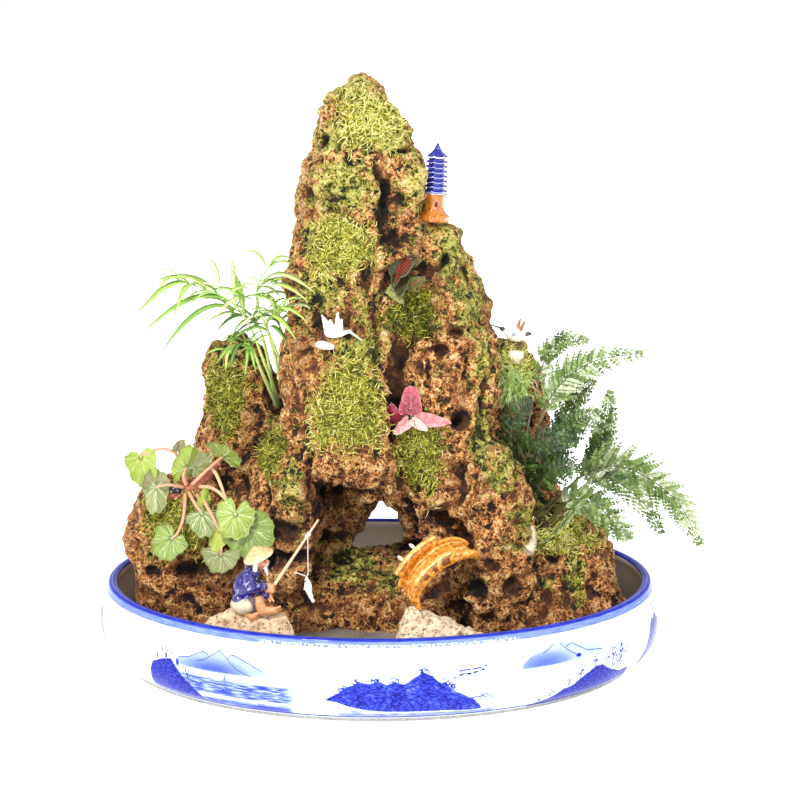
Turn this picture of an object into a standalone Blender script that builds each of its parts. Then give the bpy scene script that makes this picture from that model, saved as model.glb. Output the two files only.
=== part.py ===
"""A tufa rock landscape in an oval porcelain tray: rock, water, moss, plants and glazed miniatures.

Every length below is in millimetres and is turned into metres where a mesh is made. X runs to the
right, Y away from the viewer and Z up; the origin is the middle of the tray's foot.
"""

import math

import bmesh
import bpy
import numpy as np
from mathutils import Euler, Matrix, Vector

MM = 0.001
GAP = 0.35  # clearance between pieces that touch

TRAY_RIM_HALF_WIDTH = 193.5
TRAY_DEPTH_SHARE = 0.84  # the oval's depth over its width
TRAY_HEIGHT = 58.0
TRAY_FLOOR = 8.0
WATER_LEVEL = 24.0
TRAY_SIDES = 32

ROCK_VOXEL = 4.0
ROCK_TRIANGLES = 2100
ROCK_BASE = TRAY_FLOOR + GAP

MATERIALS = {  # colour, roughness
    "tufa": ((0.36, 0.23, 0.12), 0.95),
    "pale_tufa": ((0.72, 0.58, 0.42), 0.95),
    "porcelain": ((0.86, 0.87, 0.90), 0.12),
    "water": ((0.30, 0.33, 0.33), 0.05),
    "moss": ((0.36, 0.38, 0.08), 0.95),
    "leaf": ((0.22, 0.42, 0.10), 0.5),
    "red_leaf": ((0.62, 0.10, 0.17), 0.5),
    "stem": ((0.45, 0.25, 0.16), 0.6),
    "blue_glaze": ((0.05, 0.04, 0.35), 0.12),
    "amber_glaze": ((0.66, 0.27, 0.04), 0.15),
    "white_glaze": ((0.88, 0.85, 0.78), 0.25),
    "bamboo": ((0.78, 0.62, 0.38), 0.6),
    "wire": ((0.25, 0.08, 0.06), 0.4),
    "thread": ((0.80, 0.78, 0.80), 0.8),
}


# ---------------------------------------------------------------- scene and mesh helpers


def clear_scene():
    for obj in list(bpy.data.objects):
        bpy.data.objects.remove(obj)


def collection(name):
    made = bpy.data.collections.new(name)
    bpy.context.scene.collection.children.link(made)
    return made


def material(name):
    found = bpy.data.materials.get(name)
    if found:
        return found
    (red, green, blue), roughness = MATERIALS[name]
    made = bpy.data.materials.new(name)
    made.use_nodes = True
    shader = made.node_tree.nodes["Principled BSDF"]
    shader.inputs["Base Color"].default_value = (red, green, blue, 1)
    shader.inputs["Roughness"].default_value = roughness
    made.diffuse_color = (red, green, blue, 1)
    return made


def at(x, y, z):
    """A point given in millimetres, as a vector in metres."""
    return Vector((x, y, z)) * MM


def placed(name, data, slot=None):
    obj = bpy.data.objects.new(name, data)
    PARTS.objects.link(obj)
    if slot:
        data.materials.clear()
        data.materials.append(material(slot))
    return obj


def from_bmesh(name, shape, slot=None):
    mesh = bpy.data.meshes.new(name)
    shape.to_mesh(mesh)
    shape.free()
    return placed(name, mesh, slot)


def frozen(obj):
    """The same object as a plain mesh in world space, with its modifiers applied and its caps welded."""
    bpy.context.view_layer.update()
    graph = bpy.context.evaluated_depsgraph_get()
    mesh = bpy.data.meshes.new_from_object(obj.evaluated_get(graph))
    mesh.transform(obj.matrix_world)
    shape = bmesh.new()
    shape.from_mesh(mesh)
    bmesh.ops.remove_doubles(shape, verts=shape.verts, dist=0.01 * MM)
    shape.to_mesh(mesh)
    shape.free()
    name = obj.name
    bpy.data.objects.remove(obj)
    mesh.name = name
    return placed(name, mesh)


def modified(obj, kind, **settings):
    modifier = obj.modifiers.new(kind.lower(), kind)
    for key, value in settings.items():
        setattr(modifier, key, value)
    return obj


def remeshed(obj, voxel):
    return frozen(modified(obj, "REMESH", mode="VOXEL", voxel_size=voxel * MM))


def thinned(obj, triangles):
    """The object with its mesh collapsed to about this many triangles."""
    count = sum(len(face.vertices) - 2 for face in obj.data.polygons)
    if count <= triangles:
        return obj
    return frozen(modified(obj, "DECIMATE", ratio=triangles / count, use_collapse_triangulate=True))


def largest_body(obj):
    """Deletes every loose body of the mesh except the one with the most faces."""
    shape = bmesh.new()
    shape.from_mesh(obj.data)
    unseen, bodies = set(shape.faces), []
    while unseen:
        body, edge_of_search = set(), [unseen.pop()]
        while edge_of_search:
            face = edge_of_search.pop()
            body.add(face)
            for edge in face.edges:
                for neighbour in edge.link_faces:
                    if neighbour in unseen:
                        unseen.discard(neighbour)
                        edge_of_search.append(neighbour)
        bodies.append(body)
    bodies.sort(key=len)
    extra = [face for body in bodies[:-1] for face in body]
    bmesh.ops.delete(shape, geom=extra, context="FACES")
    shape.to_mesh(obj.data)
    shape.free()
    return obj


def combined(obj, other, operation="DIFFERENCE"):
    modified(obj, "BOOLEAN", operation=operation, object=other, solver="EXACT")
    return frozen(obj)


def cut(obj, *cutters):
    """The object less each cutter, as one body. The cutters are used up."""
    slot = obj.data.materials[0].name if obj.data.materials else None
    for cutter in cutters:
        obj = combined(obj, cutter)
        bpy.data.objects.remove(cutter)
    largest_body(obj)
    obj.data.materials.clear()
    if slot:
        obj.data.materials.append(material(slot))
    return obj


def swollen(obj, gap=GAP):
    """A copy of the object grown by the gap, as a cutter."""
    copy = placed("swollen_" + obj.name, obj.data.copy())
    return frozen(modified(copy, "DISPLACE", strength=gap * MM, mid_level=0))


def bounds(obj):
    points = np.array([vertex.co for vertex in obj.data.vertices])
    return points.min(axis=0), points.max(axis=0)


def near(obj, other, reach=1.0):
    (low, high), (other_low, other_high) = bounds(obj), bounds(other)
    return bool(np.all(low < other_high + reach * MM) and np.all(other_low < high + reach * MM))


def kept_clear(obj, *neighbours):
    """The object cut back to leave a gap to each of its neighbours."""
    for neighbour in neighbours:
        if near(obj, neighbour):
            obj = cut(obj, swollen(neighbour))
    return obj


def ball(centre, radii, turn=(0, 0, 0), detail=2):
    shape = bmesh.new()
    bmesh.ops.create_icosphere(shape, subdivisions=detail, radius=1)
    rotation = Euler([math.radians(angle) for angle in turn]).to_matrix().to_4x4()
    size = Matrix.Diagonal((*[r * MM for r in radii], 1))
    shape.transform(Matrix.Translation(at(*centre)) @ rotation @ size)
    return from_bmesh("ball", shape)


def bar(start, end, start_radius, end_radius=None, sides=10):
    """A round bar between two points, tapered if it has two radii."""
    a, b = at(*start), at(*end)
    shape = bmesh.new()
    bmesh.ops.create_cone(
        shape,
        cap_ends=True,
        segments=sides,
        radius1=start_radius * MM,
        radius2=(start_radius if end_radius is None else end_radius) * MM,
        depth=(b - a).length,
    )
    turn = (b - a).to_track_quat("Z", "Y").to_matrix().to_4x4()
    shape.transform(Matrix.Translation((a + b) / 2) @ turn)
    return from_bmesh("bar", shape)


def block(low, high, turn=(0, 0, 0)):
    """A box between two corners, turned about its middle."""
    centre = [(a + b) / 2 for a, b in zip(low, high)]
    sides = [(b - a) * MM for a, b in zip(low, high)]
    shape = bmesh.new()
    bmesh.ops.create_cube(shape, size=1)
    rotation = Euler([math.radians(angle) for angle in turn]).to_matrix().to_4x4()
    shape.transform(Matrix.Translation(at(*centre)) @ rotation @ Matrix.Diagonal((*sides, 1)))
    return from_bmesh("block", shape)


def joined(name, shapes):
    """One object holding all these meshes, which may still cross each other."""
    whole = bmesh.new()
    for shape in shapes:
        shape.data.transform(shape.matrix_world)
        whole.from_mesh(shape.data)
        bpy.data.objects.remove(shape)
    return from_bmesh(name, whole)


def sculpted(name, shapes, voxel, triangles, slot):
    """One closed body around these shapes, as a modelled figure is one piece of clay."""
    body = thinned(remeshed(joined(name, shapes), voxel), triangles)
    body.data.materials.append(material(slot))
    return largest_body(body)


def turned(name, profile, steps, slot, depth_share=1.0, turn=0.0):
    """A profile of (radius, height) turned round Z. It runs down its outer side."""
    mesh = bpy.data.meshes.new(name)
    points = [at(radius, 0, height) for radius, height in profile]
    mesh.from_pydata(points, [(i, i + 1) for i in range(len(points) - 1)], [])
    obj = placed(name, mesh)
    modified(
        obj,
        "SCREW",
        steps=steps,
        render_steps=steps,
        use_merge_vertices=True,
        merge_threshold=0.00001,
    )
    obj.rotation_euler.z = turn
    obj = frozen(obj)
    obj.data.transform(Matrix.Diagonal((1, depth_share, 1, 1)))
    obj.data.materials.append(material(slot))
    return outward(obj)


def outward(obj):
    shape = bmesh.new()
    shape.from_mesh(obj.data)
    bmesh.ops.recalc_face_normals(shape, faces=shape.faces)
    shape.to_mesh(obj.data)
    shape.free()
    return obj


def moved(obj, x, y, z, turn=(0, 0, 0)):
    rotation = Euler([math.radians(angle) for angle in turn]).to_matrix().to_4x4()
    obj.data.transform(Matrix.Translation(at(x, y, z)) @ rotation)
    return obj


def bezier(controls, share):
    """The point at this share of a Bezier curve through its first and last control points."""
    points = [Vector(point) for point in controls]
    while len(points) > 1:
        points = [a.lerp(b, share) for a, b in zip(points, points[1:])]
    return points[0]


def front_of(obj, x, z):
    """The y, in millimetres, where the object's front is met at this x and z."""
    hit, place, _, _ = obj.ray_cast(at(x, -400, z), Vector((0, 1, 0)))
    return place.y / MM if hit else 0.0


def top_of(obj, x, y):
    """The z, in millimetres, of the object's top at this x and y."""
    hit, place, _, _ = obj.ray_cast(at(x, y, 600), Vector((0, 0, -1)))
    return place.z / MM if hit else 0.0


# ---------------------------------------------------------------- tray and water


def inner_half_width(height):
    """The tray's inner half width at a height, from its mouth down to its floor."""
    heights = [8, 10, 20, 34, 45, 53, 58]
    widths = [165, 178, 190, 192.5, 191, 187, 186.5]
    return float(np.interp(height, heights, widths))


def make_tray():
    outside = [
        (TRAY_RIM_HALF_WIDTH - 3, TRAY_HEIGHT),
        (TRAY_RIM_HALF_WIDTH, TRAY_HEIGHT - 2.5),
        (197, 46),
        (199.5, 34),
        (198, 20),
        (192, 9),
        (184, 3.5),
        (182, 0),
        (0, 0),
    ]
    inside = [(0, TRAY_FLOOR)] + [(inner_half_width(z), z) for z in (8, 10, 20, 34, 45, 53, 58)]
    return turned("tray", inside + outside, TRAY_SIDES, "porcelain", TRAY_DEPTH_SHARE)


def make_water(rock, stones):
    wall_gap = 1.2
    bottom = TRAY_FLOOR + GAP
    profile = [(0, WATER_LEVEL)]
    for height in (WATER_LEVEL, 17, bottom):
        profile.append((inner_half_width(height) - wall_gap, height))
    profile.append((0, bottom))
    water = turned("water", profile, TRAY_SIDES, "water", TRAY_DEPTH_SHARE)
    coarse_rock = thinned(placed("coarse_rock", rock.data.copy()), 760)
    water = cut(water, swollen(coarse_rock, 4.2))
    bpy.data.objects.remove(coarse_rock)
    return kept_clear(water, *stones)


# ---------------------------------------------------------------- rock

# Each boulder is an upright outline (x, z), the y of its middle, its half depth at the foot, the
# share of that depth left at its top, and how far its top leans back.
BOULDERS = {
    "main_pillar": dict(
        outline=[
            (-13, 410), (-6, 409), (-2, 399), (6, 389), (12, 385), (17, 372), (22, 361), (26, 349),
            (28, 336), (28, 312), (30, 282), (22, 258), (17, 226), (14, 183), (15, 147), (12, 122),
            (4, 112), (-14, 119), (-32, 131), (-48, 124), (-57, 133), (-64, 154), (-67, 183),
            (-67, 226), (-64, 256), (-60, 280), (-58, 304), (-55, 326), (-50, 349), (-46, 362),
            (-43, 380), (-39, 391), (-31, 400), (-22, 408),
        ],
        middle=8, half_depth=62, top_share=0.36, lean=14,
    ),
    "second_pillar": dict(
        outline=[
            (30, 306), (50, 307), (58, 297), (61, 281), (67, 265), (73, 246), (78, 225), (82, 195),
            (84, 162), (82, 140), (80, 107), (72, 70), (36, 70), (16, 93), (12, 129), (9, 180),
            (6, 231), (9, 262), (18, 282), (23, 297),
        ],
        middle=22, half_depth=58, top_share=0.5, lean=4,
    ),
    "buttress": dict(
        outline=[
            (-62, 222), (-52, 190), (-47, 150), (-44, 119), (-46, 88), (-54, 64), (-66, 54),
            (-79, 76), (-88, 109), (-82, 142), (-72, 172), (-66, 200),
        ],
        middle=-22, half_depth=34, top_share=0.5, lean=14,
    ),
    "left_peak": dict(
        outline=[
            (-119, 212), (-111, 220), (-100, 226), (-89, 216), (-81, 193), (-72, 170), (-62, 150),
            (-62, 60), (-126, 60), (-128, 140), (-125, 160), (-122, 186), (-123, 200),
        ],
        middle=38, half_depth=46, top_share=0.55, lean=6,
    ),
    "left_block": dict(
        outline=[
            (-178, 96), (-170, 110), (-152, 119), (-127, 125), (-92, 116), (-66, 88), (-55, 40),
            (-58, 0), (-150, 0), (-166, 18), (-174, 37), (-179, 56), (-180, 78),
        ],
        middle=14, half_depth=62, top_share=0.78, lean=4, edge=0.72,
    ),
    "ledge": dict(
        outline=[(-88, 62), (-57, 56), (-21, 62), (14, 62), (66, 76), (84, 40), (80, 0), (-86, 0)],
        middle=20, half_depth=62, top_share=0.7, lean=8,
    ),
    "right_block": dict(
        outline=[
            (66, 86), (86, 97), (118, 97), (134, 102), (147, 91), (158, 84), (165, 67), (167, 51),
            (172, 36), (168, 12), (158, 0), (66, 0),
        ],
        middle=8, half_depth=72, top_share=0.72, lean=6, edge=0.66,
    ),
    "small_peak": dict(
        outline=[
            (55, 60), (58, 124), (66, 146), (75, 155), (86, 154), (95, 143), (99, 128), (105, 117),
            (106, 100), (102, 62), (88, 40), (66, 40),
        ],
        middle=-30, half_depth=38, top_share=0.55, lean=6, edge=0.72,
    ),
    "right_back_peak": dict(
        outline=[
            (66, 219), (85, 218), (97, 215), (107, 209), (113, 201), (118, 190), (121, 159),
            (130, 84), (130, 20), (60, 20),
        ],
        middle=54, half_depth=40, top_share=0.55, lean=4,
    ),
    "cave_back_left": dict(
        outline=[(-64, 142), (0, 142), (-4, 106), (-14, 88), (-23, 70), (-31, 52), (-66, 52)],
        middle=42, half_depth=34, top_share=0.9, lean=0,
    ),
    "rear_left_foot": dict(
        outline=[(-140, 0), (-146, 60), (-132, 96), (-96, 104), (-60, 84), (-34, 46), (-32, 0)],
        middle=72, half_depth=42, top_share=0.6, lean=-8,
    ),
    "rear_right_foot": dict(
        outline=[(18, 0), (20, 60), (30, 104), (70, 118), (108, 100), (132, 60), (134, 0)],
        middle=70, half_depth=42, top_share=0.6, lean=-8,
    ),
    "rear_spine": dict(
        outline=[(-46, 110), (-44, 220), (-34, 300), (-14, 340), (8, 322), (26, 250), (34, 110)],
        middle=48, half_depth=34, top_share=0.5, lean=-14,
    ),
}

EDGE_ROUNDING = 34.0  # how far in from the outline it reaches its full depth


def edge_distance(points, outline):
    """How far each (x, z) point lies from the outline's sides."""
    start = np.array(outline, float)
    side = np.roll(start, -1, axis=0) - start
    reach = points[:, None, :] - start[None]
    share = np.clip((reach * side).sum(2) / (side * side).sum(1), 0, 1)
    return np.linalg.norm(reach - share[..., None] * side, axis=2).min(axis=1)


def make_boulder(name, outline, middle, half_depth, top_share, lean, edge=0.42):
    """An outline stood upright, given a depth, and rounded off towards its edges like a pillow.

    The edge is the share of its depth that is left at the outline.
    """
    curve = bpy.data.curves.new(name, "CURVE")
    curve.dimensions = "2D"
    curve.fill_mode = "BOTH"
    curve.extrude = half_depth * MM
    spline = curve.splines.new("POLY")
    spline.points.add(len(outline) - 1)
    for point, (x, z) in zip(spline.points, outline):
        point.co = (x * MM, z * MM, 0, 1)
    spline.use_cyclic_u = True
    slab = bpy.data.objects.new(name, curve)
    PARTS.objects.link(slab)
    slab.rotation_euler.x = math.pi / 2
    slab = remeshed(frozen(slab), ROCK_VOXEL)
    points = np.array([vertex.co for vertex in slab.data.vertices]) / MM
    inward = np.clip(edge_distance(points[:, [0, 2]], outline) / EDGE_ROUNDING, 0, 1)
    pillow = edge + (1 - edge) * np.sqrt(1 - (1 - inward) ** 2)
    foot, top = min(z for _, z in outline), max(z for _, z in outline)
    height = np.clip((points[:, 2] - foot) / (top - foot), 0, 1)
    taper = 1 + (top_share - 1) * height
    points[:, 1] = middle + lean * height + points[:, 1] * pillow * taper
    for vertex, point in zip(slab.data.vertices, points):
        vertex.co = Vector(point) * MM
    return slab


def texture(name, kind, scale):
    made = bpy.data.textures.new(name, kind)
    made.noise_scale = scale * MM
    return made


def arch_cutter():
    """The way through under the main pillar, which falls to the back as a stream bed does."""
    outline = [(-21, -24), (-4, -20), (6, -14), (10, 4), (6, 18), (1, 22), (-7, 16), (-13, 4), (-24, -10)]
    fall = 14
    curve = bpy.data.curves.new("arch", "CURVE")
    curve.dimensions = "2D"
    curve.fill_mode = "BOTH"
    curve.extrude = 200 * MM
    spline = curve.splines.new("POLY")
    spline.points.add(len(outline) - 1)
    for point, (x, z) in zip(spline.points, outline):
        point.co = (x * MM, z * MM, 0, 1)
    spline.use_cyclic_u = True
    obj = bpy.data.objects.new("arch", curve)
    PARTS.objects.link(obj)
    obj.rotation_euler.x = math.radians(90 - fall)
    obj.location = at(0, 0, 95)
    return frozen(obj)


def make_rock(tray):
    rock = joined("tufa_rock", [make_boulder(name, **spec) for name, spec in BOULDERS.items()])
    rock = remeshed(rock, ROCK_VOXEL)
    hollows = [
        arch_cutter(),
        ball((-16, -40, 88), (34, 44, 26)),  # the cave in front of the arch
        ball((14, -36, 92), (26, 34, 22)),
        ball((54, -34, 92), (20, 26, 12), (0, 12, 0)),  # under the second pillar
        ball((20, -30, 262), (17, 26, 17)),  # the pocket that holds the dark plant
        ball((12, -34, 206), (9, 26, 46)),  # the valley between the pillars
        ball((50, -42, 214), (12, 14, 14), (0, 25, 0)),  # niche in the second pillar
        ball((6, -30, 334), (6, 24, 20), (0, -14, 0)),  # the crack in the main pillar
        ball((16, -26, 352), (22, 16, 4), (0, 8, 0)),  # the undercut below its top
        ball((-72, 12, 178), (14, 40, 20), (0, -15, 0)),  # the crevice that holds the palm
        ball((108, -6, 108), (16, 24, 16)),  # the pocket that holds the fern
        ball((-30, -60, 8), (22, 42, 30)),  # the bay in the foot of the ledge
    ]
    for hollow in hollows:
        rock = combined(rock, hollow)
        bpy.data.objects.remove(hollow)
    rock = remeshed(rock, ROCK_VOXEL)
    modified(rock, "SMOOTH", factor=0.5, iterations=3)
    coarse, fine = texture("lumps", "CLOUDS", 34), texture("knobs", "CLOUDS", 13)
    for pattern, strength in ((coarse, 9), (fine, 6)):
        modified(rock, "DISPLACE", texture=pattern, strength=strength * MM, mid_level=0.5)
    rock = largest_body(remeshed(frozen(rock), ROCK_VOXEL))
    rock = thinned(rock, ROCK_TRIANGLES)
    rock.data.materials.append(material("tufa"))
    return cut(rock, block((-300, -300, -60), (300, 300, ROCK_BASE)), swollen(tray))


# ---------------------------------------------------------------- stones and moss

MOSS_PADS = {  # middle x and z, half width, half height, how proud it stands
    "moss_summit": (-6, 377, 21, 20, 5),
    "moss_upper_face": (-25, 294, 20, 21, 5),
    "moss_middle_face": (-23, 184, 25, 31, 6),
    "moss_valley": (25, 250, 18, 15, 5),
    "moss_right_face": (28, 146, 17, 22, 5),
    "moss_left_peak": (-111, 172, 12, 19, 5),
    "moss_palm_foot": (-76, 157, 12, 15, 4),
    "moss_left_block": (-136, 101, 30, 20, 6),
    "moss_right_block": (130, 92, 23, 14, 5),
    "moss_back_peak": (94, 203, 14, 12, 5),
}


def make_moss(name, x, z, half_width, half_height, proud, rock):
    """A low cushion that lies against the rock's front."""
    pad = ball((x, front_of(rock, x, z), z), (half_width, proud, half_height), detail=1)
    pad.name = name
    pad = modified(pad, "DISPLACE", texture=texture(name, "CLOUDS", 9), strength=5 * MM, mid_level=0.5)
    pad = frozen(pad)
    pad.data.materials.append(material("moss"))
    return kept_clear(pad, rock)


def make_stone(name, lumps, triangles, tray):
    """A loose piece of pale tufa that stands on the tray's floor."""
    stone = sculpted(name, [ball(*lump) for lump in lumps], 3, 2000, "pale_tufa")
    modified(stone, "DISPLACE", texture=texture(name, "CLOUDS", 12), strength=6 * MM, mid_level=0.5)
    stone = thinned(frozen(stone), triangles)
    stone.data.materials.clear()
    stone.data.materials.append(material("pale_tufa"))
    return cut(stone, block((-300, -300, -60), (300, 300, ROCK_BASE)))


# ---------------------------------------------------------------- miniatures


def make_fisherman(stone):
    """A seated figure facing right, his arms held out to a rod."""
    shapes = [
        ball((-87, -105, 77), (9.5, 8.5, 13), (0, 14, 0)),  # back and chest
        ball((-84, -105, 87), (6.5, 7, 6)),  # shoulders
        ball((-79, -105, 95), (4.6, 4.6, 5.4)),
        ball((-74.2, -105, 87.5), (1.9, 2.4, 5), (0, 12, 0)),  # beard
        bar((-79.6, -105, 96.6), (-77.8, -105, 102.6), 9.6, 2.4, 14),  # hat
        bar((-84, -112, 85), (-80, -114, 76), 3.6, 3.2),
        bar((-80, -114, 76), (-72.6, -107.5, 75.5), 3.4, 2.4),
        bar((-84, -98, 85), (-80, -97, 77), 3.6, 3.2),
        bar((-80, -97, 77), (-72.6, -103, 76), 3.4, 2.4),
        ball((-70.8, -105, 75.8), (3.2, 4.2, 2.8)),  # both fists round the rod
        ball((-89, -105, 66), (8, 9, 6.5)),  # seat
        bar((-88, -110, 65), (-79, -113, 66.5), 5, 4),
        bar((-79, -113, 66.5), (-75, -111, 60.5), 3.8, 2.6),
        bar((-76, -111, 60.2), (-66, -110, 60.4), 2.6, 2.2),
        bar((-88, -100, 65), (-80, -97, 66.5), 5, 4),
        bar((-80, -97, 66.5), (-81, -100, 60), 3.8, 2.8),
        bar((-83, -100, 60), (-76, -100, 59), 2.6, 2.2),
    ]
    return kept_clear(sculpted("fisherman", shapes, 1.1, 380, "blue_glaze"), stone)


ROD_BUTT = (-71.6, -105, 74.0)
ROD_TIP = (-39.4, -105, 122.6)

LINE_DIAMETER = 0.6
LINE_ROUTE = [  # from its wrap on the rod down to the fish's eye, then its stiff free end
    (-46.4, -106.5, 111.6), (-46.4, -106.6, 109.0), (-46.4, -106.6, 106.0), (-46.4, -106.6, 103.0),
    (-46.4, -106.6, 100.0), (-46.4, -106.6, 97.0), (-46.4, -106.6, 94.0), (-46.4, -106.6, 91.0),
    (-46.4, -106.6, 88.0), (-46.5, -106.6, 86.0), (-46.9, -106.7, 85.0), (-47.7, -106.8, 84.6),
    (-48.7, -106.8, 84.9), (-50.6, -106.7, 85.7), (-53.0, -106.4, 86.5), (-55.6, -106.0, 86.9),
]


def tube(name, route, radius, slot, resolution=2, end_share=1.0):
    """A round tube along a route, thinning evenly to this share of its radius."""
    curve = bpy.data.curves.new(name, "CURVE")
    curve.dimensions = "3D"
    curve.bevel_depth = radius * MM
    curve.bevel_resolution = resolution
    curve.use_fill_caps = True
    spline = curve.splines.new("POLY")
    spline.points.add(len(route) - 1)
    last = len(route) - 1
    for index, (point, place) in enumerate(zip(spline.points, route)):
        point.co = (*at(*place), 1)
        point.radius = 1 + (end_share - 1) * index / last
    obj = bpy.data.objects.new(name, curve)
    PARTS.objects.link(obj)
    obj = frozen(obj)
    obj.data.materials.append(material(slot))
    return obj


def make_fish():
    shapes = [
        ball((-46.0, -106.6, 76.5), (2.6, 1.7, 6), (0, -10, 0)),
        ball((-44.6, -106.6, 70), (1.9, 1.3, 3), (0, -14, 0)),
        ball((-47.2, -106.6, 81.6), (1.4, 1.2, 2.2)),
    ]
    return sculpted("fish", shapes, 0.6, 72, "white_glaze")


BRIDGE_MIDDLE = (40.4, -67.0, 75.4)
BRIDGE_SPAN = 52.0
BRIDGE_RISE = 13.0
BRIDGE_WIDTH = 19.0


def bridge_pose():
    """The bridge's own axes: along it, across it away from the viewer, and out of its deck."""
    along = Vector((40, 3.6, 29)).normalized()
    across = Vector((-8.5, 13.7, 10)).normalized()
    up = along.cross(across)
    turn = Matrix((along, across, up)).transposed().to_4x4()
    return Matrix.Translation(at(*BRIDGE_MIDDLE)) @ turn


def make_bridge(rock):
    """An arched foot bridge with a solid rail on each side, leaning on the rock."""
    steps = 10
    shape = bmesh.new()
    half_width, rail, rail_height, deck = BRIDGE_WIDTH / 2, 2.4, 4.5, 4.2
    section = [
        (-half_width, -deck), (-half_width, rail_height), (-half_width + rail, rail_height),
        (-half_width + rail, 0), (half_width - rail, 0), (half_width - rail, rail_height),
        (half_width, rail_height), (half_width, -deck),
    ]
    rings = []
    for step in range(steps + 1):
        angle = math.pi * step / steps
        along = BRIDGE_SPAN / 2 * -math.cos(angle) * (0.94 + 0.06 * abs(math.cos(angle)))
        rise = BRIDGE_RISE * math.sin(angle) - 2
        rings.append([shape.verts.new(at(along, y, rise + z)) for y, z in section])
    for a, b in zip(rings, rings[1:]):
        for i in range(len(section)):
            j = (i + 1) % len(section)
            shape.faces.new((a[i], a[j], b[j], b[i]))
    shape.faces.new(rings[0])
    shape.faces.new(reversed(rings[-1]))
    shape.transform(bridge_pose())
    bridge = outward(from_bmesh("bridge", shape, "amber_glaze"))
    return kept_clear(bridge, rock)


PAGODA_FOOT = (40.0, 8.0, 307.0)
PAGODA_TIERS = 7


def make_pagoda(rock):
    """A seven-tiered, six-sided tower on a flared foot."""
    profile = [(0, 55)]
    profile += [(0.9, 54), (0.9, 50.5), (2.2, 48), (3.2, 45)]
    tier = 23.5 / PAGODA_TIERS
    for index in range(PAGODA_TIERS):
        eave = 41.5 - index * tier
        half = 7.3 + 0.5 * index / PAGODA_TIERS
        profile += [(half, eave), (half - 1.6, eave - 1.2)]
    profile += [(7.9, 16.6), (7.9, 15), (6.6, 9), (7.2, 4), (10.2, 1.2), (10.2, -3), (0, -3)]
    pagoda = turned("pagoda", profile, 6, "blue_glaze", 1.0)
    moved(pagoda, *PAGODA_FOOT, (0, 3, 0))
    return kept_clear(pagoda, rock)


def make_crane(name, body, leg, base_lump, leg_radius, rock):
    """A bird on a bent wire leg, and the plaster foot that the wire stands in."""
    bird = sculpted(name + "_body", body, 0.55, 130, "white_glaze")
    base = sculpted(name + "_foot", [ball(*base_lump)], 0.9, 60, "white_glaze")
    base = kept_clear(base, rock)
    wire = tube(name + "_leg", leg, leg_radius, "wire", 1)
    return bird, kept_clear(base, wire), kept_clear(wire, bird)


def make_flying_crane(rock):
    y = front_of(rock, -37, 228) - 2.5
    body = [
        ball((-30.6, y, 236.8), (6.6, 3.1, 3.9), (0, -6, 0)),
        bar((-25.6, y, 236), (-20, y, 237.4), 1.9, 1.1),
        bar((-20, y, 237.4), (-11.2, y, 231.1), 1.2, 0.5),
        bar((-34.2, y + 1, 237.4), (-39.2, y + 3, 248), 3.4, 0.6, 8),
        bar((-33.6, y + 1, 239), (-31, y + 1, 241), 3, 2, 8),
        bar((-28, y - 1, 238), (-27.9, y - 3, 251.2), 3.2, 0.6, 8),
    ]
    leg = [
        (-35, y + 1, 237.6), (-38, y + 1, 238.4), (-39.6, y + 1, 236), (-39.6, y + 1, 233.4),
        (-38.4, y + 1, 231), (-38, y + 1, 228.6),
    ]
    return make_crane("flying_crane", body, leg, ((-36.8, y + 1, 227.8), (6.7, 6, 2.8)), 0.45, rock)


def make_standing_crane(rock):
    y = front_of(rock, 98, 207) - 3
    body = [
        ball((97, y, 222.6), (6.6, 3.4, 4), (0, 20, 0)),
        bar((93, y, 222), (88, y, 227.6), 2.2, 1.1),
        bar((88.4, y, 227.6), (80.6, y, 230.4), 1.1, 0.45),
        bar((96, y + 1, 225), (100, y + 2.5, 233.6), 2.6, 0.5, 8),
        bar((99, y - 1, 225), (103, y - 2.5, 233), 2.6, 0.5, 8),
        bar((101, y, 223.6), (107, y, 224.4), 2.4, 1.2, 8),
    ]
    leg = [(101, y, 221), (101.2, y, 218), (99.6, y, 214.6), (98.4, y, 211), (98, y, 208)]
    return make_crane("standing_crane", body, leg, ((98, y, 208), (5.7, 5.4, 5)), 0.5, rock)


# ---------------------------------------------------------------- plants

SQUARE = ((1, 1), (-1, 1), (-1, -1), (1, -1))
LENS = ((1, 0), (0, 1), (-1, 0), (0, -1))


def frames_along(spine, side):
    """For each point of the spine: its place, the way across it and the way out of it."""
    points = [at(*point) for point in spine]
    frames = []
    for index, point in enumerate(points):
        ahead = points[min(index + 1, len(points) - 1)] - points[max(index - 1, 0)]
        across = (Vector(side) - ahead * (Vector(side).dot(ahead) / ahead.length_squared)).normalized()
        frames.append((point, across, across.cross(ahead).normalized()))
    return frames


def ring(shape, frame, half_width, half_thickness, corners):
    point, across, out = frame
    return [
        shape.verts.new(point + (across * half_width * a + out * half_thickness * b) * MM)
        for a, b in corners
    ]


def band(shape, a, b):
    """The four faces between two rings. Face i lies between corners i and i + 1."""
    return [shape.faces.new((a[i], a[(i + 1) % 4], b[(i + 1) % 4], b[i])) for i in range(4)]


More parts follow.
